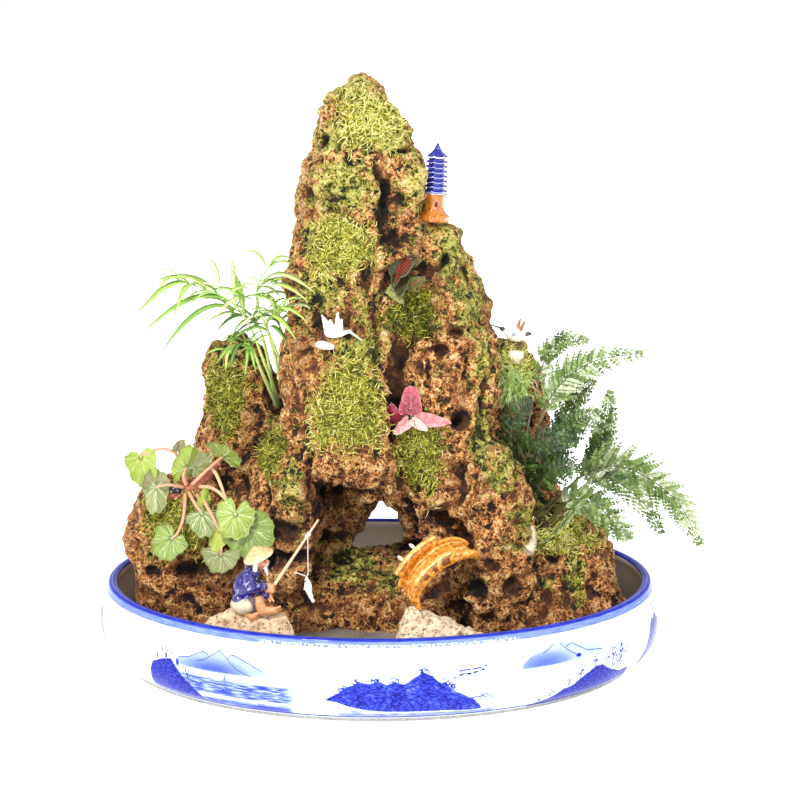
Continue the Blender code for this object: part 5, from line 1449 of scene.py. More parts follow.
def makeRoots():
    look, rng = finish("creeping_root", rootLook), np.random.default_rng(31)
    for name, branches in rootSpec.items():
        parts, tints = [], []
        for number, (line, radii) in enumerate(branches):
            path = bent(line, 30)
            ridges = 1 + 0.12 * np.sin(np.arange(30) * 1.1) + 0.06 * np.sin(np.arange(30) * 2.7)
            width = np.linspace(*radii, 30) * ridges
            tube = tubes([path], [width], 14)
            middle = path[np.minimum((tube[2] * 29).astype(int), 29)]
            grown = tube[0] + (cloud(tube[0], 3.5, 4, 2) * 0.55)[:, None] * unit(tube[0] - middle + 1e-6)
            parts.append((grown, tube[1]))
            kind = 0.0 if name == "saxifrage_rhizome" else 2.0 if number else 1.0  # red, brown and pale roots
            tints.append(np.full(len(grown), kind))
            hairs = 0 if kind == 0 else (420 if kind == 2 else 300)
            if hairs:
                pick = rng.integers(0, 30, hairs)
                out = unit(rng.normal(0, 1, (hairs, 3)) + (0, 0, -0.3))
                reach = rng.uniform(0.8, 2.0 if kind == 2 else 2.6, hairs)[:, None, None]
                root = path[pick] + out * width[pick][:, None] * 0.8
                hair = root[:, None] + out[:, None] * np.linspace(0, 1, 4)[None, :, None] * reach
                hair[:, -1] += rng.normal(0, 0.35, (hairs, 3))
                tube = tubes(hair, np.tile([0.17, 0.15, 0.12, 0.06], (hairs, 1)), 3)
                parts.append(tube[:2])
                tints.append(np.full(len(tube[0]), 2.0 if kind == 2 else 1.0))
        if name == "saxifrage_rhizome":  # its charred end
            end = cloudBall((-143, -26.5, 125.6), (6.0, 3.2, 3.6), 24, 16, 0.35, -18)
            parts.append(end)
            tints.append(np.full(len(end[0]), 3.0))
        points, faces = gathered(parts)
        mesh = meshFrom(name + "_root", points, faces)
        piece(name + "_root", mesh, look, "rhizome", [name], tint=np.concatenate(tints))
    print("roots made")


fittoniaLeaves = {  # each leaf as for the saxifrage; one plant is dark with red veins and one is pink
    "dark_fittonia_leaf_top": [
        ((13.5, -20, 276), (11.5, -17, 291.5), (1, 0.1, 0), 7.2, 0.2, 1.0, -1.0, 1.0, 0.55, 0.2),
        ((19, -17, 280), (16, -19, 290), (0.8, 0, 0.6), 4.0, 0.2, 0.5, -1.0, 1.0, 0.75, 0.5),
        ((21, -17, 281), (29, -21, 285), (-0.5, 0, 0.8), 3.6, 0.2, 0.5, 1.0, 1.0, 0.65, 0.35),
    ],
    "dark_fittonia_leaf_left": [
        ((16.0, -20, 283.5), (8.0, -33, 270.5), (0.75, -0.3, 0.62), 7.6, 0.2, -3.2, -1.6, 1.0, 0.2, 1.0),
        ((14.5, -22, 272.5), (13.2, -33, 260.5), (1, 0, 0), 6.6, 0.2, 1.2, 1.6, 1.5, 0.5, 0.15),
        ((8, -22, 264.5), (16.5, -32, 256), (-0.5, 0.1, -0.7), 4.0, 0.2, 0.5, 1.0, 0.5, 0.9, 0.1),
    ],
    "dark_fittonia_leaf_right": [
        ((20, -22, 267), (33, -29, 274.5), (0.4, 0.2, -0.9), 4.2, 0.2, 0.6, -1.6, -1.2, 0.72, 0.4),
        ((20, -17, 274.5), (27, -23, 276.5), (-0.2, 0, 0.9), 2.8, 0.2, 0.5, 1.0, 0.5, 0.8, 0.7),
        ((17, -19, 272), (23, -23, 270), (0.2, 0.2, 0.9), 2.6, 0.2, 0.5, 1.0, 0.5, 0.3, 0.8),
    ],
    "red_fittonia_leaf_top": [
        ((21.6, -22, 178.5), (22.6, -27, 197.5), (1, 0.1, 0.05), 8.6, 0.16, 1.2, -1.6, 2.0, 0.52, 1.0)
    ],
    "red_fittonia_leaf_right": [
        ((26, -23, 174.5), (50.5, -34, 173), (0.1, 0.55, 0.8), 5.2, 0.1, 0.6, -1.4, -1.0, 0.8, 0.5),
        ((23.5, -24, 173), (33, -32, 167.5), (0.4, 0.3, 0.8), 3.6, 0.2, 0.5, -1.4, 1.0, 1.0, 0.2),
    ],
    "red_fittonia_leaf_left": [
        ((12.2, -21, 172), (8.4, -27, 184.8), (0.9, 0.2, 0.1), 5.0, 0.2, -1.2, -1.6, 1.0, 0.12, 0.1),
        ((19.0, -23, 172.5), (9.2, -30, 164.8), (0.6, 0.3, -0.7), 4.4, 0.2, 0.6, 1.4, 1.0, 0.85, 0.2),
    ],
}
fittoniaStalks = {
    "dark_fittonia_leaf_top": [
        [(17, 2, 262), (16, -12, 268), (13.5, -20, 276)], [(17, 2, 262), (19, -10, 272), (19, -17, 280)],
        [(19, 2, 264), (21, -10, 274), (21, -17, 281)],
    ],
    "dark_fittonia_leaf_left": [
        [(15, 2, 262), (17, -12, 274), (16, -20, 283.5)], [(15, 2, 262), (15, -14, 268), (14.5, -22, 272.5)],
        [(12, 4, 258), (9, -12, 262), (8, -22, 264.5)],
    ],
    "dark_fittonia_leaf_right": [
        [(20, 2, 262), (20, -12, 265), (20, -22, 267)], [(20, 2, 264), (20, -10, 270), (20, -17, 274.5)],
        [(18, 2, 263), (17, -10, 268), (17, -19, 272)],
    ],
    "red_fittonia_leaf_top": [
        [(21, -2, 168), (22, -16, 171), (22.0, -22, 177)], [(19, -4, 168), (16.5, -18, 174), (15, -21, 182)],
    ],
    "red_fittonia_leaf_right": [
        [(23, -2, 168), (24, -16, 172), (26, -23, 174.5)], [(23, -2, 168), (23, -16, 170), (23.5, -24, 173)],
    ],
    "red_fittonia_leaf_left": [
        [(19, -2, 168), (15, -14, 169), (12.2, -21, 172)], [(20, -2, 168), (20, -14, 170), (19.0, -23, 172.5)],
    ],
}


def netLook(red):
    def build(p):
        place, tint, white, stalk = p.place(), p.held("tint"), p.held("white"), p.held("stalk")
        x, y, rim, under = (p.held(name) for name in ("leafAcross", "leafAlong", "rim", "under"))
        patch = place.noise(2.6, 3)
        side = abs((y + abs(x) * -0.75).wrap(-1.1, 1.1))
        width = 1.0 if red else 0.62
        net = place.cells(1.4, "DISTANCE_TO_EDGE").step(0.12, 0.02) * 0.6 * width**2
        line = abs(x).step(0.5, 0.15).most(side.step(0.42 * width, 0.12 * width)).most(net)
        if red:
            flesh = (tint + (patch - 0.5) * 0.7).ramp(
                (0.0, (0.24, 0.006, 0.025)), (0.45, (0.50, 0.045, 0.09)), (0.8, (0.78, 0.26, 0.29)),
                (1.0, (0.86, 0.62, 0.52)),
            )
            dark = flesh.mix(white * rim.step(1.0, 0.5) * 0.85, (0.03, 0.03, 0.012))
            colour = dark.mix(line, flesh).mix(rim.step(0.9, 1.0) * 0.5, (0.85, 0.55, 0.5))
        else:
            flesh = (tint + (patch - 0.5) * 0.4).ramp(
                (0.1, (0.004, 0.014, 0.003)), (0.5, (0.018, 0.040, 0.009)), (0.8, (0.12, 0.15, 0.045)),
                (1.0, (0.40, 0.42, 0.13)),
            )
            veined = flesh.mix((line * white * rim.step(1.0, 0.75)).least(0.95), (0.66, 0.035, 0.03))
            colour = veined.mix(under * 0.15, (0.3, 0.2, 0.15)).mix(rim.step(0.88, 0.98) * 0.3, (0.50, 0.50, 0.30))
        colour = colour.mix(stalk, (0.22, 0.32, 0.06))
        return {
            "Base Color": colour, "Roughness": patch * 0.2 + 0.2,
            "Normal": p.bump(line * -0.6 + patch * 0.5, 0.35),
        }
    return build


def makeFittonia():
    rng = np.random.default_rng(5)
    looks = {
        "dark": finish(
            "dark_net_leaf", netLook(False), Coat_Weight=0.2, Coat_Roughness=0.12, Specular_IOR_Level=0.25,
        ),
        "red": finish("red_net_leaf", netLook(True), Coat_Weight=0.25, Coat_Roughness=0.3),
    }
    for name, blades in fittoniaLeaves.items():
        kind = name.split("_")[0]
        stalks = [(line, (0.9, 0.6), 0.5) for line in fittoniaStalks[name]]
        shape = dict(teeth=17, deep=0.06, pointed=0.45 if kind == "red" else 0.7, rings=10, turns=68)
        leafPiece(name, blades, stalks, False, looks[kind], kind + "_leaf", rng, **shape)
    print("net-veined leaves made")


makeSaxifrage()
makeRoots()
makeFittonia()


traySpec = dict(depthShare=0.84, turns=196)
trayOutside = [  # radius and height
    (0, 0), (178, 0), (182, 0.3), (184, 3.5), (192, 9), (198, 20), (199.5, 34), (197, 46), (193.8, 54.5),
    (192.4, 57.2), (190.5, 58),
]
trayInside = [(188.3, 57.8), (186.8, 56.6), (187, 53), (191, 45), (192.5, 34), (190, 20), (178, 10), (165, 8), (0, 8)]
hills = {  # skylines along the wall from the front's middle, each with the height of the paint above the foot
    "left": [
        (-172, 8), (-168, 22), (-166, 28), (-162.6, 33.5), (-155, 37), (-148, 38.6), (-145, 39.7), (-140, 34),
        (-136, 29), (-131, 24), (-126, 17), (-121, 8),
    ],
    "farLeft": [
        (-140, 36), (-138.5, 41.5), (-128.6, 43.9), (-118.5, 48.9), (-114, 46.8), (-106, 51.4), (-100, 47),
        (-95.7, 49.5), (-85.8, 46.3), (-74, 41), (-71.5, 36.5),
    ],
    "middle": [
        (-34, 24.5), (-32, 26), (-23.8, 31), (-21.6, 33.4), (-15.2, 35.8), (-12, 37.6), (-4.7, 36.6), (-0.5, 38.9),
        (5.8, 36), (11, 38), (17.4, 36.4),
        (21.6, 39.1), (26.9, 42.8), (30, 43.7), (35.3, 41.3), (38.6, 37.2), (44, 35.7), (48.5, 30.8), (55, 27.4),
        (62.4, 23), (68.3, 16.4), (70, 13.5),
    ],
    "middleFoot": [
        (-34, 24.4), (-26.3, 23), (-17.9, 19.1), (-7, 16.3), (6, 14.8), (45, 14.3), (64.6, 12.4), (70, 13.5),
    ],
    "farRight": [
        (95, 41), (96.5, 44), (101, 47.6), (114, 51.3), (124, 54.2), (134.5, 51.3), (142, 51), (150, 49), (162, 43.6),
        (164, 38),
    ],
    "right": [
        (106, 2), (109, 4), (113.6, 9), (119.5, 12.6), (125, 15.7), (130, 19.6), (137, 21), (142, 25.6), (148.7, 29),
        (156, 32), (161, 31.5),
        (170.6, 26.3), (184.5, 20.6), (194, 21.8), (197, 16.6), (203, 2),
    ],
    "side": [
        (206, 6), (211, 13), (216, 24), (220, 29), (226, 43), (230, 46.5), (234, 45.5), (240.5, 49.4), (244, 44),
        (248, 42), (252, 34), (257, 28),
        (263, 18), (270, 10), (276, 6),
    ],
    "farSide": [
        (286, 6), (292, 13), (297, 22), (301, 27), (306, 42), (311, 50), (315, 48), (321, 51), (326, 45), (333, 38),
        (337, 30), (343, 23), (349, 9),
    ],
}
trayPaint = dict(
    # a dark hill: how ragged its skyline is, where its foot fades in, its ink, its crossed strokes and their ink
    near={
        "left": (0.8, (5, 6.5), 0.68, (0.42, 0.58), 0.28), "right": (0.7, (2, 3.5), 0.70, (0.42, 0.60), 0.30),
        "side": (1.0, (5, 7), 0.66, (0.4, 0.65), 0.4), "farSide": (0.8, (6, 9), 0.72, (0.42, 0.60), 0.4),
    },
    far={  # a pale hill: where its foot fades in, its wash, and the darker blot at its middle
        "farLeft": ((35, 37.5), 0.27, (-110, 37, 19, 6)), "farRight": ((38.5, 41), 0.22, (112, 41.5, 17, 6)),
    },
    lines=[  # the line along the wall, its half width and its ink
        ([(-138.5, 41.5), (-128.6, 43.9), (-118.5, 48.9), (-114, 46.8)], 0.55, 0.62),
        ([(-124, 41.5), (-117, 43.5), (-112, 47), (-106, 51.4), (-100, 46.7), (-93, 40.5), (-82, 36.2)], 0.5, 0.66),
        ([(-100, 46.5), (-97, 49.4), (-95, 49.4), (-85.8, 46), (-74, 40.8)], 0.5, 0.66),
        ([(-48, 24.6), (-26, 25.2)], 0.35, 0.35), ([(-66, 16.4), (-26, 18)], 0.45, 0.35),
        ([(-60, 19.6), (-30, 20.6)], 0.35, 0.25), ([(60, 15.2), (80, 16.6)], 0.4, 0.5),
        ([(52, 13), (77, 14)], 0.4, 0.4),
        ([(58, 23.5), (66, 24.5), (72, 27)], 0.6, 0.6), ([(111, 48.2), (116, 51), (120, 53.4)], 0.5, 0.7),
        ([(125, 53), (130, 48.2), (138.7, 42.7)], 0.55, 0.75),
        ([(129, 50), (134.6, 51.8), (140, 48.6), (146.5, 44.8), (160, 43)], 0.5, 0.7),
        ([(172, 27), (178, 34), (184, 38)], 0.6, 0.85),
    ],
    dashed=[
        ([(48.5, 39.2), (54, 41.2), (60, 41.4), (69, 43.6)], 1.0, 0.95),
        ([(52, 43.4), (56, 43.9), (66, 44.6), (73, 46.2)], 0.7, 0.8),
    ],
    dotted=[([(-181, 57.5), (-172, 48.5)], 1.5, 0.8), ([(-172, 49.5), (-162, 58)], 1.2, 0.75)],
    trees=[  # place along the wall, height, half width, half height, ink
        (-148.5, 43, 5.5, 4.2, 0.85), (-157, 40, 3.5, 2.5, 0.8), (-131, 31.5, 3.6, 3.0, 0.8),
        (-122, 26.5, 4.5, 1.8, 0.7),
        (-80, 16, 4, 1.8, 0.7), (114, 14, 3.4, 2.8, 0.9), (120, 18.4, 4.6, 3.2, 0.9), (133, 25, 3.6, 2.8, 0.9),
        (142, 32, 3.2, 4.4, 0.9), (154.5, 36.5, 2.6, 4.4, 0.9), (172, 36, 9, 6.0, 0.9), (182, 38, 8, 5.2, 0.9),
        (178, 30, 9, 3.4, 0.9), (240, 54, 9, 3.6, 0.8),
    ],
    bushes=[(-22, 34), (-12.5, 38.6), (-1, 40.2), (11, 39.8), (29.5, 45.6), (43, 37.6), (47, 35)],
    scales=[  # middle and reach of each fan of curved strokes on the middle hill
        (-17, 17, 14), (-26, 22, 7), (2, 14, 19), (17, 17, 15), (30, 19, 20), (44, 15, 14), (-6, 26, 7), (57, 11, 11),
        (11, 31, 6), (34, 34, 7),
    ],
)


def alongWall(place, pairs):  # a height that follows these places round the wall; kept in a ramp's alpha
    low, high, top = pairs[0][0], pairs[-1][0], max(height for _, height in pairs)
    share = place.node("MapRange", {}, {"Value": place, "From Min": low, "From Max": high})
    stops = [((at - low) / (high - low), (0, 0, 0, height / top)) for at, height in pairs]
    return share.node("ValToRGB", {"stops": stops}, {0: share}, 1) * top


def trayLook(p):
    place, climb, outside = p.place(), p.held("climb"), p.held("outside")
    turn = place.axis(0).calc("ARCTAN2", place.axis(0), place.axis(1) * (-1 / traySpec["depthShare"]))
    # millimetres along the wall from its front
    around = (turn * 181.6 + (turn * 2).sine() * 7.84).wrap(-220.25, 350.25)
    flat = p.node("CombineXYZ", {}, {0: around, 1: climb})
    wobble = (flat.noise(3.2, 2) - 0.5) * 2.2
    fine = (flat.noise(1.1, 2) - 0.5) * 1.4
    brush = p.node("CombineXYZ", {}, {0: around * 0.10, 1: climb * 0.9}).noise(1.0, 3)
    across = p.node("CombineXYZ", {}, {0: around * 0.35 + climb * 0.8, 1: climb * 0.35 - around * 0.25}).noise(1.0, 3)

    def within(low, high, soft=2.0):
        return around.step(low - soft, low + soft * 0.2) * around.step(high + soft, high - soft * 0.2)

    def under(name, extra=0.0, soft=0.5):
        pairs = hills[name]
        return (alongWall(around, pairs) + extra - climb).step(-soft, soft) * within(pairs[0][0], pairs[-1][0], 0.8)

    def line(pairs, width):
        ends = around.step(pairs[0][0] - 0.3, pairs[0][0] + 0.3) * around.step(pairs[-1][0] + 0.3, pairs[-1][0] - 0.3)
        return abs(alongWall(around, pairs) - climb + fine * 0.25).step(width, width * 0.35) * ends

    def blot(u, s, wide, high, soft=0.5):
        away = (((around - u) / wide) ** 2.0 + ((climb - s) / high) ** 2.0) ** 0.5
        return away.step(1 + soft, 1 - soft)

    def tree(u, s, wide, high):  # dabs of leaves with a thin trunk
        dabs = flat.cells(1.5).step(0.62, 0.35) * flat.noise(2.0, 1).step(0.40, 0.55)
        trunk = abs(around - u + fine * 0.6).step(0.6, 0.2) * climb.step(s - high * 1.5, s - high)
        trunk = trunk * climb.step(s + high * 0.4, s)
        return (blot(u, s, wide, high, 0.35) * dabs).most(trunk)

    def fan(u, s, reach):  # curved strokes laid like a fish's scale over a hill
        away = (((around - u) / 1.25) ** 2.0 + (climb - s) ** 2.0) ** 0.5 + wobble * 0.35
        strokes = (away * 1.55).sine().step(0.72, 0.98)
        return strokes * away.step(reach, reach - 1.2) * away.step(reach * 0.25, reach * 0.4)

    dashes = flat.noise(2.6, 1).step(0.42, 0.5)
    dots = flat.cells(2.3).step(0.36, 0.2)
    twigs = (across.step(0.50, 0.56) * across.step(0.64, 0.58)).most(fine.step(0.18, 0.3))
    low = alongWall(around, hills["middleFoot"])
    ripples = brush.step(0.36, 0.64) * 0.44 + 0.24
    marks = [
        within(-136, -60, 12) * climb.step(17, 20) * climb.step(33.5, 30) * ripples,  # the lake on the left
        within(-122, -60, 6) * climb.step(5, 7) * climb.step(19, 12) * (0.44 + brush.step(0.38, 0.66) * 0.36),
        blot(-77, 9.5, 15, 4.6, 0.15) * climb.step(5, 6.5) * (0.62 + across * 0.3),  # its near bank
        climb.step(4.0, 4.5) * climb.step(6.9, 6.3) * 0.93,  # the band round the foot
        blot(-139, 38, 1.4, 2.6) * 0.7, blot(139, 42.8, 2.2, 1.3) * 0.9, blot(70, 24, 10, 3.4, 0.3) * twigs * 0.95,
    ]
    sail = (abs(around + 101.5 + fine * 0.5) - (36 - climb) * 0.13).step(0.9, 0.2) * climb.step(21.5, 23)
    marks += [  # the boat: its sail, hull and load
        sail * climb.step(37, 35) * (0.6 + fine * 0.5) * 0.72,
        blot(-103, 21.5, 10, 1.7, 0.4) * (0.35 + brush * 0.5), blot(-101.5, 24, 4.5, 3.0, 0.5) * (0.3 + across * 0.5),
    ]
    middle = under("middle", wobble * 0.7, 0.4) * (climb - low + fine).step(-0.8, 0.5)
    scales = functools.reduce(Field.most, [fan(*spec) for spec in trayPaint["scales"]])
    mottled = (flat.noise(9, 2) - 0.5) * 0.6
    marks.append(middle * (0.62 + scales * 0.18 + across.step(0.44, 0.60) * 0.22 + mottled))
    shore = brush.step(0.40, 0.68) * 0.46 + 0.30 * climb.step(15, 10)
    marks.append(within(-24, 78, 8) * climb.step(6, 8) * (climb - low).step(0.5, -2.5) * shore)
    for u, s in trayPaint["bushes"]:
        marks.append(blot(u, s - 1.4, 3.2, 2.6, 0.7) * (flat.noise(1.6, 2).step(0.40, 0.58)) * 0.95)
    for name, (fade, wash, spot) in trayPaint["far"].items():
        marks.append(under(name) * climb.step(*fade) * (wash + blot(*spot, 0.8) * 0.30))
    for name, (ragged, fade, wash, strokes, more) in trayPaint["near"].items():
        marks.append(under(name, wobble * ragged) * climb.step(*fade) * (wash + across.step(*strokes) * more))
    marks += [line(pairs, width) * strength for pairs, width, strength in trayPaint["lines"]]
    marks += [line(pairs, width) * dashes * strength for pairs, width, strength in trayPaint["dashed"]]
    marks += [line(pairs, width) * dots * strength for pairs, width, strength in trayPaint["dotted"]]
    marks += [tree(*spec) * strength for *spec, strength in trayPaint["trees"]]
    ink = functools.reduce(Field.most, marks)
    shade = 0.40 + climb.step(60.8, 59.8) * 0.16 + climb.step(63.6, 65.4) * 0.34 + (brush - 0.5) * 0.5
    band = climb.step(59.2, 60.4) * shade  # the rim, with pale fret flecks at the front only: part pattern, part painted highlight for the glaze's glare
    fretGlare = flat.noise(1.5, 1).step(0.46, 0.54) * climb.step(59.6, 60.2) * climb.step(62.2, 61.6) * within(-75, 90, 10)
    band = band * (1 - fretGlare * 0.85)
    ink = (ink * climb.step(60, 58)).most(band) * outside
    inner = (1 - outside) * climb.step(55.2, 56.4)
    ink = ink.most(inner * 0.78)
    glaze = (ink + (flat.noise(1.4, 3) - 0.5) * 0.10 * ink.step(0.05, 0.2)).ramp(
        (0.0, (0.74, 0.77, 0.79)), (0.18, (0.48, 0.56, 0.86)), (0.36, (0.19, 0.27, 0.76)),
        (0.6, (0.040, 0.065, 0.50)), (0.82, (0.010, 0.014, 0.30)), (1.0, (0.004, 0.004, 0.13)),
    )
    # greyer and bluer towards the foot, on the unpainted glaze: painted shade where the belly turns under
    glaze = glaze.mix(climb.step(30, 4) * ink.step(0.3, 0.1) * 0.40, (0.40, 0.48, 0.66))
    cream = place.noise(60, 2).ramp((0.3, (0.84, 0.80, 0.73)), (0.7, (0.94, 0.91, 0.86)))
    glaze = glaze.mix((1 - outside) * (1 - inner), cream)
    foot = climb.step(3.6, 3.0) * outside
    clay = place.noise(2, 3).ramp((0.3, (0.22, 0.22, 0.20)), (0.7, (0.42, 0.41, 0.38)))
    return {
        "Base Color": glaze.mix(foot, clay),
        "Roughness": foot * 0.5 + 0.14 + place.noise(25, 2) * 0.06,
        "Normal": p.bump(place.noise(14, 2) + place.noise(0.8, 1) * foot * 0.2, 0.35),
    }


def makeTray():
    outer = bent(trayOutside[2:], 46)
    inner = bent([trayOutside[-1], *trayInside[:-1]], 40)[1:]
    share = np.linspace(0, 1, 12)[1:, None]
    foot, floor = [[20, 0], [100, 0], [178, 0]], [[165 - 150 * s[0], 8] for s in share]
    ring = np.vstack([foot, outer, inner, floor])
    points, faces, ends = turnedOval(ring, traySpec["depthShare"], traySpec["turns"])
    height = [0, 3.5, 9, 20, 34, 46, 55.5, 58]
    reach = [0, 4.03, 13.74, 26.27, 40.35, 52.61, 62.73, 66.64]  # how far up the curved wall each height lies
    ringOutside = np.concatenate([np.ones(3 + len(outer)), np.zeros(len(inner) + len(share))])
    climb = np.interp(ring[:, 1], height, reach) * ringOutside + ring[:, 1] * (1 - ringOutside)
    mesh = meshFrom("tray_body", points, [faces, [ends[0]], [ends[1]]])
    look = finish("glazed_porcelain", trayLook, Coat_Weight=0.16, Coat_Roughness=0.06, Specular_IOR_Level=0.05)
    turns = traySpec["turns"]
    shades = dict(climb=np.repeat(climb, turns), outside=np.repeat(ringOutside, turns))
    piece("tray_body", mesh, look, "porcelain", ["tray"], **shades)
    print("tray made")


def waterLook(p):
    place = p.place()
    murk = place.noise(40, 3)
    colour = murk.ramp((0.3, (0.36, 0.32, 0.27)), (0.7, (0.60, 0.57, 0.51)))
    ripples = place.noise(22, 2) + place.noise(7, 1) * 0.3
    return {"Base Color": colour, "Roughness": murk * 0.04 + 0.02, "Normal": p.bump(ripples, 0.5)}


waterSpec = dict(level=24.0, turns=160, ripple=0.12)
waterOutside = [(4, 9.2), (164, 9.2), (175, 10.6), (188.4, 20), (189.6, 23.6), (190.2, 24.3), (188.8, 24.0)]


def makeWater():
    level = waterSpec["level"]
    profile = waterOutside + [(188 - 9.2 * i, level) for i in range(1, 21)]
    points, faces, ends = turnedOval(profile, traySpec["depthShare"], waterSpec["turns"])
    top = points[:, 2] > level - 0.1
    points[top, 2] += waterSpec["ripple"] * cloud(points[top], 16, 3)
    mesh = meshFrom("water_sheet", points, [faces, [ends[0]], [ends[1]]])
    look = finish("still_water", waterLook, Transmission_Weight=0.55, IOR=1.33)
    piece("water_sheet", mesh, look, "water", ["water"])
    print("water made")


stoneSpec = dict(  # width and depth of the crust's lumps; spacing, radius and depth of the pores
    voxel=1.3, crust=((11, 2.0), (5, 1.3), (2.4, 0.5)), pores=((5.5, 0.30, 1.8), (3.0, 0.36, 1.0)),
)
stoneCorners = {  # the stone's corners, and how brown it is
    "fisherman_stone": ([
        (-117, -101, 49), (-117, -111, 42), (-112, -104, 55), (-101, -106, 57.5), (-97, -101, 62), (-90, -103, 61),
        (-86, -112, 55), (-66, -103, 59),
        (-60, -106, 55.5), (-56.5, -106, 50), (-56.5, -104, 42), (-62, -113, 44), (-88, -119, 42), (-111, -115, 38),
        (-118, -106, 8.4), (-110, -118, 8.4),
        (-84, -122, 8.4), (-60, -116, 8.4), (-55, -104, 8.4), (-62, -94, 8.4), (-86, -92, 8.4), (-112, -94, 8.4),
        (-68, -95, 52), (-90, -93, 56), (-112, -95, 48),
    ], 0.42),
    "bridge_stone": ([
        (19.5, -84, 58), (23.5, -88, 55.5), (25, -79, 54.5), (14.8, -92, 38), (12.5, -80, 41), (45, -90, 46.5),
        (46, -78, 47), (70, -93, 37), (75, -85, 35),
        (70, -77, 36), (12.5, -96, 8.4), (10.5, -78, 8.4), (72, -99, 8.4), (42, -102, 8.4), (80, -85, 8.4),
        (62, -71, 8.4), (24, -70, 8.4),
    ], 0.0),
}


def stoneLook(p):
    place, pit = p.place(), p.held("pit")
    grain = place.noise(1.1, 3)
    fleck = place.cells(2.1).step(0.34, 0.14) * place.noise(5, 2).step(0.42, 0.56)
    tone = grain * 0.5 + place.noise(7, 3) * 0.5
    pale = tone.ramp(
        (0.25, (0.44, 0.27, 0.13)), (0.45, (0.74, 0.56, 0.37)), (0.62, (0.88, 0.74, 0.55)), (0.8, (0.93, 0.86, 0.72)),
    )
    brown = tone.ramp(
        (0.25, (0.20, 0.085, 0.03)), (0.45, (0.50, 0.27, 0.12)), (0.62, (0.74, 0.50, 0.29)),
        (0.8, (0.90, 0.74, 0.52)),
    )
    # painted shade: the pores are darkened
    colour = pale.mix(p.held("brown"), brown).mix(pit * 0.75, (0.20, 0.09, 0.035))
    colour = colour.mix(fleck * 0.9, (0.035, 0.018, 0.009))
    return {"Base Color": colour, "Roughness": grain * 0.15 + 0.8, "Normal": p.bump(grain * 0.8 - fleck, 0.9)}


def makeStones():
    look = finish("pale_stone", stoneLook)
    for name, (corners, brown) in stoneCorners.items():
        shape = bmesh.new()
        hull = bmesh.ops.convex_hull(shape, input=[shape.verts.new(Vector(corner) * mm) for corner in corners])
        bmesh.ops.delete(shape, geom=hull["geom_interior"], context="VERTS")
        mesh = bpy.data.meshes.new("work")
        shape.to_mesh(mesh)
        shape.free()
        voxel = stoneSpec["voxel"] * mm
        remesh = ("REMESH", dict(mode="VOXEL", voxel_size=voxel))
        mesh = applied(mesh, remesh, ("SMOOTH", dict(factor=0.5, iterations=2)))
        points, normals = pointsOf(mesh), normalsOf(mesh)
        crust = sum((0.5 - np.abs(cloud(points, size, 5, 2))) * 2 * depth for size, depth in stoneSpec["crust"])
        change = crust - 1.6
        pit = np.zeros(len(points))
        for number, (size, radius, depth) in enumerate(stoneSpec["pores"]):
            first, _, own = cobbles(points + 0.5 * cloud(points, 3, 8)[:, None], size, 11 + number)
            hole = 1 - rise(first / size, radius * 0.5, radius * 1.25)
            hole *= own[:, 1] > 0.35
            change -= hole * depth
            pit = np.maximum(pit, hole)
        change *= rise(points[:, 2], 8.6, 12)
        setPoints(mesh, points + normals * change[:, None])
        piece(name + "_body", mesh, look, "pale_tufa", [name], pit=pit, brown=np.full(len(points), brown))
    print("stones made")


makeTray()
makeWater()
makeStones()


